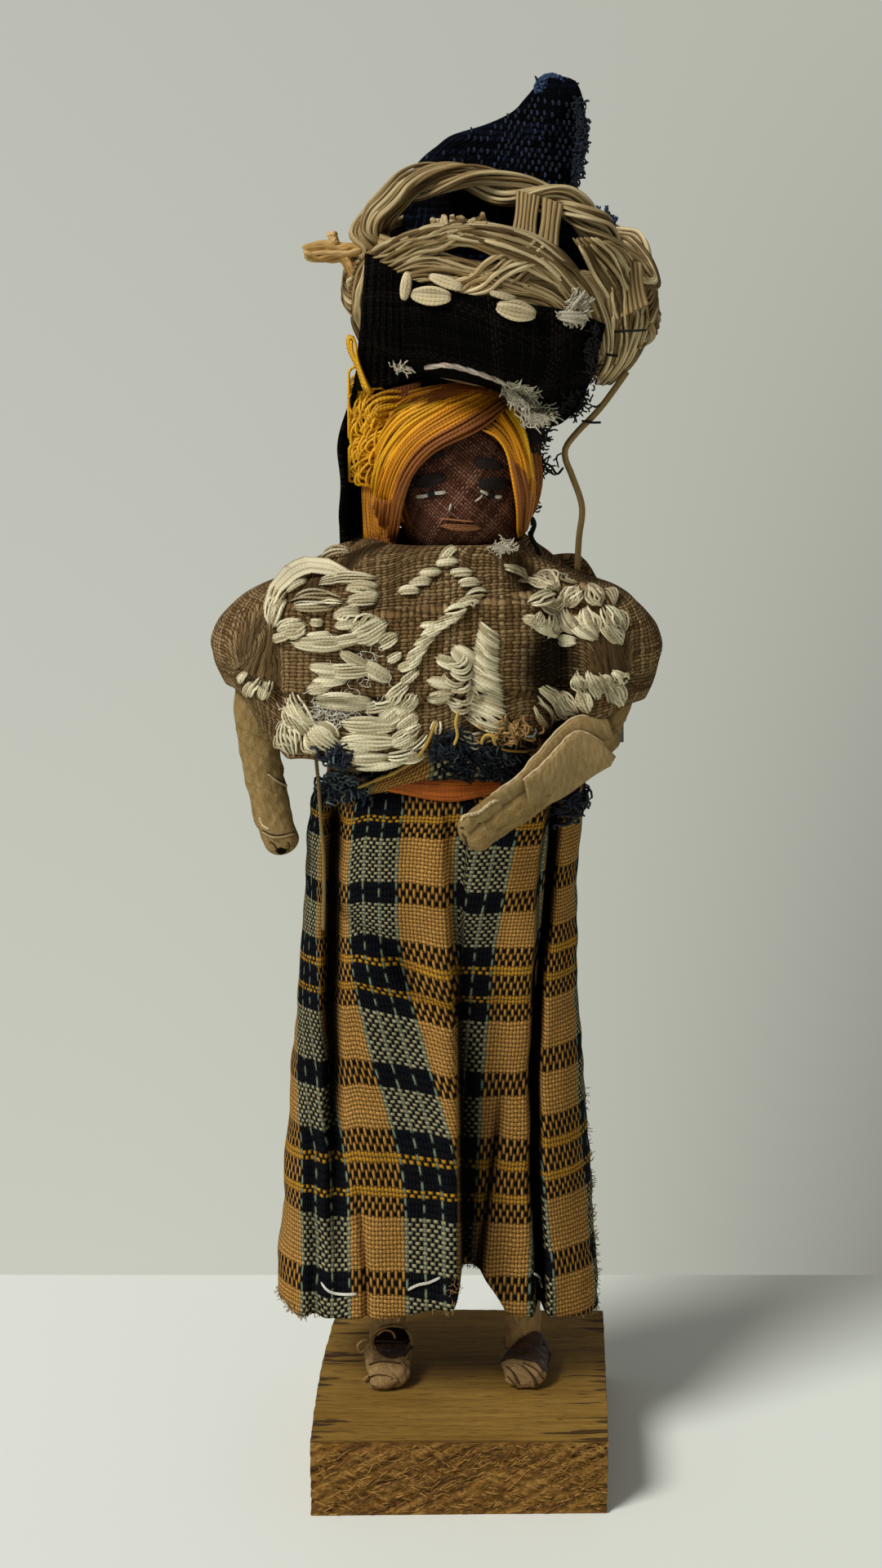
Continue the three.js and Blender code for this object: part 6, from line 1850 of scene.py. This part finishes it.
# Cut ends that stand up along the wall's top edge
stubs = []
for k in range(46):
    x, y = chance.uniform(528, 600), chance.uniform(266, 282)
    base = front_wall(x, y + 8, chance.uniform(-0.5, 1.6))
    tip = front_wall(x + chance.uniform(-5, 4), y - chance.uniform(0, 5), chance.uniform(-0.5, 1.6))
    stubs.append([base + (tip - base) * t for t in np.linspace(0, 1, 5)])
strands("basket_cut_stubs", stubs, 0.42, 5, raffia_loose, "raffia", (0.3, 1), ends=1.0)

# %% Fluted strips of leaf
leaf = raffia("raffia_leaf", (104, 82, 46), (152, 126, 80), (196, 172, 124), 0.3, 30.0, 0.16)


def fluted(name, corners, flutes, depths, node_name=None):
    """A strip of leaf with parallel flutes. corners are low left, low right, high right, high left."""
    low_left, low_right, high_right, high_left = (np.array(c, float) for c in corners)

    def place(across, up):
        a, b = across[:, None], up[:, None]
        spot = (low_left * (1 - a) + low_right * a) * (1 - b) + (high_left * (1 - a) + high_right * a) * b
        narrow = 1 - 0.12 * np.sin(np.pi * np.clip(up * 1.1, 0, 1))
        middle = (low_left + low_right) / 2 * (1 - b) + (high_left + high_right) / 2 * b
        spot = middle + (spot - middle) * narrow[:, None]
        depth = depths[0] + (depths[1] - depths[0]) * up - 0.75 * np.abs(np.sin(across * np.pi * flutes)) ** 0.6
        depth = depth - 0.5 * np.sin(np.pi * across)
        return np.stack([at_depth(x, y, d) for (x, y), d in zip(spot, depth)])

    strip = cloth(name, flutes * 8, 24, place, wall=0.5, middle=lambda centres: centres + np.array((0, 40, 0)))
    return give(strip, leaf, node_name=node_name)


for row in (
        ("basket_leaf_front", [(626, 284), (657, 296), (662, 240), (632, 232)], 6, (-17.9, -9.4),
         "basket_slats_front"),
        ("basket_leaf_front_2", [(658, 292), (684, 310), (690, 250), (664, 240)], 4, (-17.7, -9.2)),
        ("basket_leaf_side", [(752, 392), (795, 372), (786, 322), (744, 312)], 7, (-14.0, -11.0),
         "basket_slats_side")):
    fluted(*row)

# The bow at the left is a folded ribbon of strands, with a stub above it and ends hanging below.
def bow_wall(x, y, lift):
    return at_depth(x, y, -6.0 - 0.7 * lift)


bow_straps = [
    ([(371, 304), (379, 298), (398, 296), (418, 298), (444, 301)],
     [(372, 308), (378, 318), (396, 321), (420, 317), (444, 309)], 8, 0.0, 1.8),
    ([(402, 285), (405, 291), (409, 298)], [(410, 284), (411, 291), (413, 298)], 3, 0.3, 0.9),
    ([(414, 312), (422, 326), (430, 342), (434, 360)],
     [(426, 312), (434, 324), (444, 340), (448, 356)], 5, 0.1, 1.0)]
bow_paths = [resample(path, 22) for row in bow_straps for path in strap(*row, wall=bow_wall)]
bow_finish = raffia("raffia_bow", (140, 100, 46), (190, 150, 84), (226, 196, 140), 0.3, 14.0, 0.14, 0.2)
strands("basket_bow_leaf", bow_paths, 0.42, 6, bow_finish, "raffia", oval=0.9, ends=0.5, node_name="basket_bow")

# %% [markdown]
# ## The bundle of dark cloth
#
# A knitted navy cloth fills the basket and stands out of it, gathered to a frayed tip on one side.
# It is one closed form, pushed into folds, with loose ends of thread along its right edge.

# %% Navy cloth
navy = woven("navy_cloth", 0.04, (0.8, 1.1), 0.8, 0.5, (0.3, 0.6, 0.9),
             [(3, 3, 4), (8, 9, 14), (26, 38, 62)], 0.2, 0.4)

# %% Bundle
BUNDLE_LEVELS = np.array([  # height, middle x, middle y, half width, half depth
    (193.0, 6.5, 3.6, 11, 7.6), (200.0, 6.4, 4.0, 13.2, 8.5), (207.0, 5.6, 4.2, 13.6, 8.4),
    (213.1, 5.1, 4.6, 13.2, 7.8), (217.9, 6.3, 5.0, 12.5, 6.2), (220.1, 7.6, 5.0, 11.6, 5.4),
    (221.7, 9.0, 5.0, 10.3, 4.8), (223.0, 11.2, 5.0, 8.2, 4.2), (225.2, 14.0, 5.0, 5.3, 3.4),
    (227.2, 15.0, 5.0, 4.1, 2.9), (229.1, 15.3, 5.0, 3.0, 2.2), (230.6, 15.4, 5.0, 1.9, 1.4)])
BUNDLE_LOW, BUNDLE_TOP = BUNDLE_LEVELS[[0, -1], 0]


def bundle_cloth(across, up):
    z = BUNDLE_LOW + (BUNDLE_TOP - BUNDLE_LOW) * up
    middle_x, middle_y, wide, deep = at_levels(BUNDLE_LEVELS, z, 4)
    close = np.minimum(1, np.minimum(up / 0.03, (1 - up) / 0.02)) ** 0.5
    angle = np.pi / 2 + across * 2 * np.pi
    points = np.stack([middle_x + wide * close * np.cos(angle), middle_y + deep * close * np.sin(angle), z], 1)
    fold = 0.5 * wrinkle(points, 4.0, 5.0) + 0.5 * np.sin(angle * 5 + z * 0.35)
    return points + (close * fold)[:, None] * np.stack([np.cos(angle), np.sin(angle), 0 * angle], 1)


bundle = cloth("bundle_knit", 150, 90, bundle_cloth, by_share(80, 42), middle=upright(7, 4.5))
give(bundle, navy, node_name="bundle_cloth")

bundle_surface = surface_of(bundle)
stitches = []
for row in range(16):
    for column in range(26):
        x = 520 + column * 8.2 + 4.1 * (row % 2) + chance.uniform(-1, 1)
        y = 118 + row * 7.6 + 0.1 * (x - 600) + chance.uniform(-1, 1)
        if chance.random() > 0.1 + 0.7 * min(1.0, max(0.0, (x + 0.5 * (240 - y) - 600) / 60)):
            continue
        path = [landed(bundle_surface, x + dx, y + dy, 0.25)
                for dx, dy in ((0, -3), (0.6, -1), (0.8, 1.2), (0.2, 3.2))]
        if all(point is not None for point in path) and max(point[1] for point in path) < 4:
            stitches.append(path)
stitch_thread = dyed_thread("bundle_stitch", (6, 7, 12), (36, 44, 70), 0.9)
stitched = threads("bundle_stitches", stitches, 0.24, 4, 0.7, chance.uniform(0, 1, len(stitches)) ** 1.6)
give(stitched, stitch_thread)

# %% Loose ends of the bundle
blue_thread = dyed_thread("blue_thread", (20, 30, 50), (70, 96, 134), 0.85)


def loose_end(x, y, heading, depth, waver, turns, reach):
    """A thread that wanders from a place in the picture, near a depth."""
    path = []
    for _ in range(8):
        path.append(at_depth(x, y, depth + chance.uniform(-waver, waver)))
        heading += chance.uniform(*turns)
        x, y = x + reach[0] * math.cos(heading), y + reach[1] * math.sin(heading)
    return path


edge_ends = []
for _ in range(110):
    y = chance.uniform(118, 234)
    x = 704 + 6 * math.sin((y - 100) / 36) + chance.uniform(-6, 3)
    edge_ends.append(loose_end(x, y, chance.uniform(-0.9, 0.9), 2.0, 0.3, (-0.6, 0.9), (1.9, 2.4)))
tip = [loose_end(chance.uniform(655, 700), chance.uniform(100, 125), chance.uniform(-2.6, -0.6), 4.0, 0.4,
                 (-0.6, 0.6), (1.9, 1.9)) for _ in range(46)]
for k in range(5):
    line = traced([(660 + k, 124), (654 + k, 108), (660 + k, 96), (672, 90 + k), (684, 92 + k), (690, 102 + k)], 24)
    tip.append(resample([at_depth(x, y, 4.0) for x, y in line], 8))
strands("bundle_tip_frays", tip, 0.17, 4, blue_thread, "navy_cloth")
strands("bundle_frays", edge_ends, 0.2, 4, navy_fray, "navy_cloth")
side = [loose_end(chance.uniform(722, 748), chance.uniform(262, 288), chance.uniform(0, 6.3), -5.0, 0.4,
                  (-0.7, 0.7), (2.2, 2.2)) for _ in range(60)]
strands("bundle_side_frays", side, 0.2, 4, blue_thread, "navy_cloth", (0, 0.7))

# %% [markdown]
# ## The black headcloth
#
# A black cloth is folded under the basket and shows across its front. Its end on the doll's right has
# thick cords where the folds lie edge on. Ivory floats sit on its upper border, a pale piping on its
# lower one, and its long tail hangs behind the head.

# %% Black cloth
black_cloth = woven("black_cloth", 0.04, (0.6, 0.6), 0.8, 0.55, (0.3, 0.6, 0.9),
                    [(4, 3, 2), (10, 8, 7), (34, 26, 20)], 0.2, 0.35)

# %% The fold in front
headcloth_top = traced([(447, 310), (470, 325), (500, 341), (563, 358), (640, 371), (700, 381), (742, 397)], 61)
headcloth_low = traced([(436, 478), (478, 471), (520, 461), (580, 470), (630, 490), (668, 522), (700, 508),
                       (726, 462)], 61)


def headcloth(across, up):
    top, low = along_line(headcloth_top, across), along_line(headcloth_low, across)
    spot = low + (top - low) * up[:, None]
    off = (spot[:, 0] - 602) / PIXELS_PER_MM / 25.0
    round_off = np.sqrt(np.maximum(0.06, 1 - off ** 2))
    depth = 2.2 - (14.2 + 8.0 * step(up, 0.0, 0.6)) * round_off
    cords = 0.75 * np.abs(np.sin(across * np.pi * 36)) * (1 - step(across, 0.16, 0.2))
    wall = np.array([front_wall(x, y, 3.3)[1] for x, y in spot])
    depth = np.minimum(depth, wall + 3.4 * (1 - step(up, 0.0, 0.22))) - cords
    points = np.stack([at_depth(x, y, d) for (x, y), d in zip(spot, depth)])
    points[:, 1] += 0.3 * wrinkle(points, 5.0, 2.0)
    return points


headcloth_piece = cloth("headcloth_fold", 170, 50, headcloth, None, 1.1, upright(5, 2.2))
give(headcloth_piece, black_cloth, node_name="headcloth")

# %% Floats, piping and the turned-out corner
cloth_surface = surface_of(headcloth_piece)
float_ground = (cloth_surface, surface_of(wall_piece))


def lens(middle, length, height, tilt, count, lift):
    """Threads of one float, side by side and drawn together at its ends, along the basket's front."""
    made, turn = [], math.radians(tilt)
    for k in range(count):
        off, path = (k + 0.5) / count * 2 - 1, []
        for t in np.linspace(-1, 1, 13):
            a, b = t * length / 2, off * height / 2 * (1 - 0.75 * t * t)
            x = middle[0] + a * math.cos(turn) + b * math.sin(turn)
            y = middle[1] + a * math.sin(turn) - b * math.cos(turn)
            path.append(front_wall(x, y, lift + 0.6 * (1 - t * t) + 0.35 * (1 - off * off)))
        made.append(path)
    return made


pale = []
for middle, length, height, tilt, count in (
        ((497, 350), 34, 13, 98, 3), ((528, 362), 48, 24, 4, 5), ((546, 345), 42, 14, 20, 3),
        ((616, 362), 32, 7, 14, 2), ((632, 380), 48, 26, 12, 5)):
    pale += lens(middle, length, height, tilt, count, 4.0)
straw_floss = dyed_thread("straw_thread", (86, 62, 34), (226, 208, 164), 0.7)
strands("headcloth_floats", pale, 0.34, 6, straw_floss, "ivory_brocade", (0.3, 1))

piping = []
for strand in range(3):
    for route in ([(520, 450), (548, 447), (584, 456), (622, 470)], [(484, 452), (492, 448), (503, 452)]):
        line = traced(route, 40)
        piping.append([at_depth(x, y + 1.7 * math.sin(k * 0.35 + strand * 2.1),
                                landed(cloth_surface, x, y)[1] - 0.75 - 0.4 * math.cos(k * 0.35 + strand * 2.1))
                       for k, (x, y) in enumerate(line)])
piping_floss = dyed_thread("piping_thread", (148, 128, 108), (214, 200, 182), 0.8)
strands("headcloth_piping", piping, 0.27, 6, piping_floss, "white_thread", (0.3, 1))


def tangle(surface, middle, spread, count, length, lift, fallback, curl=0.6, heading=None):
    """Curled fibres on a surface, or at a depth beside it."""
    def land(x, y, up, rise):
        point = landed(surface, x, y, up)
        return at_depth(x, y, fallback - 0.3 * rise) if point is None or point[1] > fallback + 3 else point

    return curled(land, middle, spread, count, length, lift, 0.1, 8, curl, heading)


white_tuft = (tangle(cloth_surface, (636, 482), (7, 6), 240, 2.0, 0.6, -15.5, 0.25, 0.8)
              + tangle(cloth_surface, (653, 505), (8, 5), 220, 2.0, 0.6, -15.0, 0.25, 0.6)
              + tangle(cloth_surface, (624, 470), (4, 3), 90, 2.0, 0.7, -15.5, 0.25, 0.9))
tuft_finish = dyed_thread("ivory_tuft", (104, 95, 72), (218, 209, 184), 0.8, relief=0.0)
strands("headcloth_corner", white_tuft, 0.11, 4, tuft_finish, "ivory_brocade", node_name="headcloth_lining")
wad = (tangle(float_ground, (706, 374), (5, 6), 110, 1.8, 0.9, -14.5)
       + tangle(float_ground, (704, 389), (6, 2.5), 50, 1.8, 0.8, -14.5)
       + tangle(cloth_surface, (494, 450), (4, 2.5), 16, 1.8, 0.6, -14.0)
       + tangle(cloth_surface, (616, 670), (7, 3.5), 70, 1.4, 0.4, -11.0))
strands("headcloth_wad", wad, 0.12, 4, tuft_finish, "ivory_brocade", (0.2, 0.9))
leafy = (float_threads(float_ground, (702, 366), 26, 22, 66, 6, 1.4)
         + float_threads(float_ground, (700, 388), 36, 14, -8, 4, 1.2))
strands("headcloth_wad_floats", leafy, 0.3, 5, tuft_finish, "ivory_brocade", (0.3, 0.8))

# %% Black shreds, yarn and wires
black_fray = dyed_thread("black_fray", (4, 3, 3), (24, 19, 16), 0.9)
shreds = (tangle(cloth_surface, (657, 532), (6, 7), 200, 1.7, 0.8, -9.0, curl=0.4)
          + tangle(cloth_surface, (664, 570), (6, 3.5), 36, 2.2, 0.6, -2.0, curl=0.35)
          + tangle(cloth_surface, (650, 606), (2.5, 18), 60, 1.6, 0.5, -2.0, curl=0.4)
          + tangle(cloth_surface, (725, 436), (2.5, 20), 90, 1.5, 0.6, -11.0, curl=0.4)
          + tangle(cloth_surface, (704, 494), (9, 7), 90, 1.6, 0.6, -12.0, curl=0.4))
strands("headcloth_shreds", shreds, 0.13, 4, black_fray, "black_cloth")
yarns, thick = [], []
for route, depth, radius in (
        ([(650, 632), (654, 642), (650, 656), (656, 668), (660, 680), (652, 692)], -3.0, 0.42),
        ([(664, 566), (674, 570), (682, 580), (690, 572)], -2.5, 0.2),
        ([(728, 402), (748, 406), (768, 405), (792, 404)], -14.8, 0.2),
        ([(732, 430), (744, 434), (757, 436)], -13.6, 0.2), ([(712, 515), (724, 517), (736, 517)], -5.0, 0.2)):
    yarns.append([at_depth(x, y, depth) for x, y in traced(route, 22)])
    thick.append([radius] * 22)
give(threads("headcloth_yarns", yarns, thick, 5, tone=np.linspace(0, 1, len(yarns))), black_fray)
green_fray = dyed_thread("green_fray", (14, 26, 16), (44, 62, 42), 0.9)
knot = tangle(cloth_surface, (434, 511), (2.2, 2.6), 34, 1.3, 0.5, -0.5)
strands("headcloth_green_knot", knot, 0.15, 4, green_fray, "black_cloth")

# %% Tail behind the head
TAIL_FROM, TAIL_TO = 56, 196      # degrees round the head
TAIL_LOW, TAIL_TOP = 158.6, 192.5


def drape(across, up):
    ragged = 2.0 * np.sin(9 * up + 1) + 1.2 * np.sin(23 * up)
    sweep = TAIL_TO - TAIL_FROM - 9 * np.exp(-((up - 0.62) / 0.2) ** 2)
    angle = np.radians(TAIL_FROM + ragged * (1 - across) + sweep * across)
    z = TAIL_LOW + (TAIL_TOP - TAIL_LOW) * up
    x, y = section(-1.2, 17.7 - 2.9 * step(up, 0.4, 0.85), 14.8, angle)
    points = np.stack([x, y, z], 1)
    push = 0.9 * np.sin(across * 26 + 0.8 * np.sin(up * 4)) * (1 - 0.6 * up) + 0.4 * wrinkle(points, 5.0, 8.0)
    points[:, :2] += push[:, None] * np.stack([np.cos(angle), np.sin(angle)], 1)
    points[:, 2] -= 1.5 * np.sin(across * 11) * (1 - up)
    return points


drape_piece = cloth("headcloth_tail", 150, 60, drape, None, 0.8, upright(-1.2, 1))
give(drape_piece, black_cloth, node_name="headcloth_drape")

# %% [markdown]
# ## Legs, shoes and the block
#
# The legs are paper on wire, and the shoes are rolled paper. The block is a piece of brown hardwood:
# its top was rubbed smooth, its front was left as the saw tore it.

# %% Legs and shoes
leg_paper = paper("leg_paper", (108, 80, 46), (146, 116, 74), (180, 152, 108), 9.0, 26.0, 0.35)
BLOCK_TOP = 13.1
SHOE_LENGTH, HEEL_PLACE, HEEL_HEIGHT, TOE_HEIGHT = 12.4, 4.6, 5.2, 4.2
LEG_PLACES = {"right": -12.3, "left": 11.3}
leg_surfaces = {}
for side, x in LEG_PLACES.items():
    leg = limb(f"leg_{side}_paper", [(x, 0.8, 16.2), (x, 0.8, 40), (x, 0.8, 70), (x, 0.8, 103)],
               [3.1, 3.15, 3.6, 3.65], rows=110, columns=36, seed=3.0, lumps=0.12, pitch=8.0, ends=(0.1, 0.1))
    give(leg, leg_paper, node_name=f"leg_{side}")
    leg_surfaces[side] = surface_of(leg)


def shoe(name, x, toe_turn):
    """A flat-soled roll of paper, from heel to toe."""
    stops = np.array([  # share of its length, width, height
        (0, 0.45, 0.7), (0.12, 0.9, 1), (0.45, 1, 1), (0.75, 0.94, 0.9), (0.93, 0.8, 0.8), (1, 0.5, 0.55)])

    def place(across, up):
        wide, high = at_levels(stops, up, 2)
        close = np.minimum(1, np.minimum(up / 0.04, (1 - up) / 0.04)) ** 0.5
        angle = across * 2 * np.pi
        half, tall = 3.85 * wide * close, (HEEL_HEIGHT + (TOE_HEIGHT - HEEL_HEIGHT) * up) * high
        fold = 0.12 * np.sin(angle * 7 + up * 9) + 0.1 * np.sin(up * 40 + angle)
        across_way, rise = np.cos(angle), np.sin(angle)
        points = np.stack([x + toe_turn * up + (half + fold) * np.sign(across_way) * np.abs(across_way) ** 0.75,
                           HEEL_PLACE - SHOE_LENGTH * up,
                           BLOCK_TOP + 0.3 + tall / 2 + (tall / 2 * close + fold * 0.5)
                           * np.sign(rise) * np.abs(rise) ** 0.75], 1)
        points[:, 2] = np.maximum(points[:, 2], BLOCK_TOP + 0.15)
        return points

    def core(centres):
        return centres * (0, 1, 0) + (x, 0, BLOCK_TOP + 2.6)

    return cloth(name, 64, 60, place, middle=core)


leg_and_shoe = {}
for side, x in LEG_PLACES.items():
    piece = shoe(f"shoe_{side}_paper", x, 0.3)
    give(piece, leg_paper, node_name=f"foot_{side}")
    leg_and_shoe[side] = (surface_of(piece), leg_surfaces[side])
right_shoe, left_shoe = leg_and_shoe["right"], leg_and_shoe["left"]

brown_felt, shader = material("brown_felt", 0.98, 0.05, 0.2)
felt = noise(place_in("Object"), 900.0, 4.0)
link(painted(felt, (0.3, 0.7), (30, 19, 10), (66, 44, 28)), shader.inputs["Base Color"])
bump(shader, felt, 0.25)
patch("instep_felt", left_shoe,
      [(613, 1668), (625, 1664), (637, 1665), (648, 1667), (655, 1669), (662, 1676), (669, 1682)],
      [(616, 1662), (628, 1647), (637, 1637), (648, 1631), (659, 1630), (668, 1644), (675, 1658)],
      0.35, brown_felt, columns=40, rows=20, crown=0.35, node_name="instep_wrap_left")

# %% Shoe openings, toes and creases
# The shoe's opening is a patch of painted shade.
patch("shoe_opening_shade", right_shoe, [(459, 1645), (466, 1652), (478, 1655), (491, 1653), (500, 1644)],
      [(460, 1634), (467, 1627), (479, 1624), (492, 1626), (501, 1634)], 0.25, hollow_shade_paint)
patch("shoe_tongue", right_shoe, [(462, 1656), (470, 1662), (482, 1664), (495, 1658)],
      [(462, 1645), (471, 1643), (483, 1643), (497, 1645)], 0.4, brown_felt, crown=0.3)
patch("shoe_toe_fold", right_shoe, [(448, 1694), (456, 1699), (466, 1701), (477, 1699), (484, 1693)],
      [(447, 1689), (456, 1685), (466, 1684), (477, 1685), (485, 1689)], 0.3, leg_paper, crown=0.5)
creases("shoe_rims", right_shoe,
        [[(458, 1652), (456, 1640), (462, 1629), (472, 1623), (486, 1622), (498, 1628), (504, 1640), (502, 1652),
          (496, 1664)],
         [(445, 1691), (450, 1685), (460, 1681), (472, 1681), (482, 1685), (487, 1691)],
         [(446, 1695), (456, 1701), (468, 1703), (480, 1700), (486, 1694)]],
        0.2, 0.26, leg_paper, steps=30)
# Dark threads in the folds are painted shadow.
creases("shoe_folds", right_shoe,
        [[(449, 1689), (458, 1691), (470, 1690), (481, 1687)], [(461, 1641), (470, 1640), (484, 1641), (498, 1642)],
         [(452, 1672), (462, 1668), (476, 1668), (490, 1670)]],
        0.3, 0.16, paper_shadow, steps=24)
creases("left_shoe_folds", left_shoe,
        [[(620, 1672), (630, 1682), (636, 1694)], [(628, 1669), (642, 1674), (654, 1686), (658, 1696)],
         [(640, 1668), (656, 1676), (665, 1688)], [(621, 1684), (628, 1692), (634, 1700)]],
        0.05, 0.16, paper_shadow, steps=24)
creases("left_shoe_ridges", left_shoe,
        [[(616, 1672), (626, 1681), (632, 1693)], [(624, 1669), (638, 1674), (650, 1686), (654, 1698)]],
        0.1, 0.24, leg_paper, steps=24)
cord_bits = []
for route in ([(437, 1650), (441, 1655), (447, 1652), (452, 1645), (457, 1637), (462, 1633)],
              [(440, 1652), (438, 1646), (445, 1640), (452, 1639)],
              [(462, 1634), (470, 1628), (480, 1630), (484, 1638)]):
    line = traced(route, 20)
    cord_bits.append([at_depth(x, y, -5.6 - 0.9 * math.sin(k / 6)) for k, (x, y) in enumerate(line)])
give(threads("shoe_string", cord_bits, 0.2, 5), ochre_fray)

# %% Wood
wood, shader = material("block_wood", 0.7, 0.25)
place = place_in("Object")
from_left, from_back, _ = parts_of(place)
grain = noise(mapped(place, (60, 900, 900)), 1.0, 5.0, 0.6)
pores = noise(mapped(place, (260, 3200, 3200)), 1.0, 3.0)
broad = noise(mapped(place, (18, 130, 130)), 1.0, 3.0)
colour = painted(mixed(grain, 0.6, broad, 0.4), (0.3, 0.5, 0.7), (104, 74, 22), (132, 99, 36), (152, 117, 52))
colour = blended(from_range(pores, 0.34, 0.42, 0.75, 0.0), colour, paint(74, 46, 14))
# Drying cracks run in from both sides, painted dark as shade in them and sunk by the bump, and dark stains follow
# the grain.
near_side = from_range(maths("ABSOLUTE", from_left), 0.012, 0.0245)
cracked = noise(mapped(place, (70, 620, 620)), 1.0, 2.0)
crack = from_range(maths("MULTIPLY_ADD", near_side, 0.16, cracked), 0.7, 0.76, 0.0, 0.9)
colour = blended(crack, colour, paint(58, 34, 8))
front = from_range(from_back, -0.0242, -0.0250)
torn_place = mapped(node("Mapping", {"Vector": place, "Rotation": (0, 0.45, 0)}).outputs[0], (150, 900, 900))
torn = noise(torn_place, 1.0, 5.0, 0.65)
sawn = painted(torn, (0.34, 0.5, 0.66), (66, 38, 4), (122, 82, 22), (162, 122, 56))
colour = blended(front, colour, sawn)
link(mottled(colour, 14.0, 0.22), shader.inputs["Base Color"])
relief = maths("ADD", grain, maths("MULTIPLY", pores, 0.6))
relief = maths("SUBTRACT", relief, maths("MULTIPLY", crack, 2.0))
bump(shader, maths("MULTIPLY_ADD", maths("MULTIPLY", front, torn), 3.0, relief), 0.3)

# %% Block
BLOCK_WIDTH, BLOCK_DEPTH, BLOCK_FRONT = 49.1, 49.0, -25.5

deselect()
bpy.ops.mesh.primitive_cube_add(size=1, location=(0, 0, 0))
block = bpy.context.object
block.name = block.data.name = "sawn_block"
edit_all(block, ("subdivide", {"number_cuts": 60}))
points = points_of(block) * MM
x, y, z = points[:, 0], points[:, 1], points[:, 2] + 0.5
px = x * BLOCK_WIDTH + 2.4 * (y + 0.5) - 0.7 * step(-x, 0.4, 0.5) * np.sin(np.pi * (y + 0.5))
py = BLOCK_FRONT + BLOCK_DEPTH * (y + 0.5) + 0.8 * (x + 0.5) * (1 - 2 * (y + 0.5))
pz = z * BLOCK_TOP
shaped = np.stack([px, py, pz], 1)
saw = step(-y, 0.46, 0.5)
slant = np.sin(px * 2.1 + pz * 3.6 + 2 * np.sin(px * 0.31)) + np.sin(px * 1.3 - pz * 2.2)
slant += wrinkle(shaped, 0.9, 1.0)
shaped[:, 1] += saw * 0.2 * slant * step(np.minimum(z, 1 - z), 0, 0.06)
rough = 0.12 * wrinkle(shaped, 1.6, 2.0) + 0.08 * wrinkle(shaped, 0.7, 5.0)
shaped[:, 0] += np.sign(x) * step(np.abs(x), 0.46, 0.5) * rough
shaped[:, 2] += step(z, 0.96, 1.0) * 0.3 * rough
shaped[:, 2] = np.maximum(shaped[:, 2], 0)
move_points(block, shaped)
edit_all(block, ("normals_make_consistent", {"inside": False}))
pick(block)
bpy.ops.object.shade_smooth_by_angle(angle=math.radians(35))
give(block, wood, node_name="base_block")
print("block", [round(v, 1) for v in shaped.min(0)], [round(v, 1) for v in shaped.max(0)])

# %% Wires keep their own solids
steel, shader = material("dull_wire", 0.45, 0.5)
scratch = noise(place_in("Object"), 1500.0, 3.0)
link(painted(scratch, (0.3, 0.7), (96, 92, 88), (140, 136, 130)), shader.inputs["Base Color"])
link(maths("MULTIPLY_ADD", scratch, 0.3, 0.3), shader.inputs["Roughness"])
shader.inputs["Metallic"].default_value = 1.0
for name in ("leg_wire_left", "leg_wire_right", "shoulder_wire", "neck_wire", "arm_wire_left"):
    paint_with(bpy.data.objects[name], steel)

# %% Torn fibres on the sawn front
block_surface = surface_of(block)
fibres = []
while len(fibres) < 620:
    x, y = chance.uniform(392, 748), chance.uniform(1768, 1858)
    lean = math.radians(chance.choice([-24, 18]) + chance.normal() * 12)
    reach, path = chance.uniform(5, 20), []
    for k in range(5):
        t = k / 4 - 0.5
        point = landed(block_surface, x + reach * t * math.cos(lean), y + reach * t * math.sin(lean)
                       + 1.2 * chance.normal() * t, 0.08 + 0.4 * t * t * chance.uniform(0, 1.5))
        if point is None or not 0.15 < point[2] < 12.9:
            break
        path.append(point)
    if len(path) == 5:
        fibres.append(path)
wood_fibre = dyed_thread("wood_fibre", (84, 52, 10), (172, 128, 60), 0.85, 0.0, 2.0, 0.0)
strands("block_fibres", fibres, 0.12, 4, wood_fibre, "block_wood", ends=0.2)

# %% Stuffing that the clothes hide
batting, shader = material("batting", 1.0, 0.0)
wool = noise(place_in("Object"), 700.0, 5.0)
link(painted(wool, (0.3, 0.7), (88, 74, 50), (132, 116, 86)), shader.inputs["Base Color"])
bump(shader, wool, 0.4)


def stuffed(name, node_name, finish, inset=0.0):
    """A soft body in its solid's place: the solid's own box, with its edges and corners drawn in."""
    low, high = (np.array(corner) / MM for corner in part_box(node_name))
    deselect()
    bpy.ops.mesh.primitive_cube_add(size=1)
    piece = bpy.context.object
    piece.name = piece.data.name = name
    edit_all(piece, ("subdivide", {"number_cuts": 14}))
    flat = points_of(piece) * MM * 2
    round_off = flat / (np.abs(flat) ** 3.2).sum(1, keepdims=True) ** (1 / 3.2)
    size = (high - low) / 2 * (1 - inset) - 0.3
    placed = (low + high) / 2 + round_off * size
    placed += 0.12 * wrinkle(placed, 5.0, 2.0)[:, None] * round_off
    move_points(piece, placed)
    pick(piece)
    bpy.ops.object.shade_smooth()
    give(piece, finish, node_name=node_name)
    return piece


stuffed("torso_stuffing", "torso", batting, 0.05)
stuffed("head_stuffing", "head_padding", batting, 0.2)
stuffed("headcloth_wadding", "headcloth_pad", black_cloth)
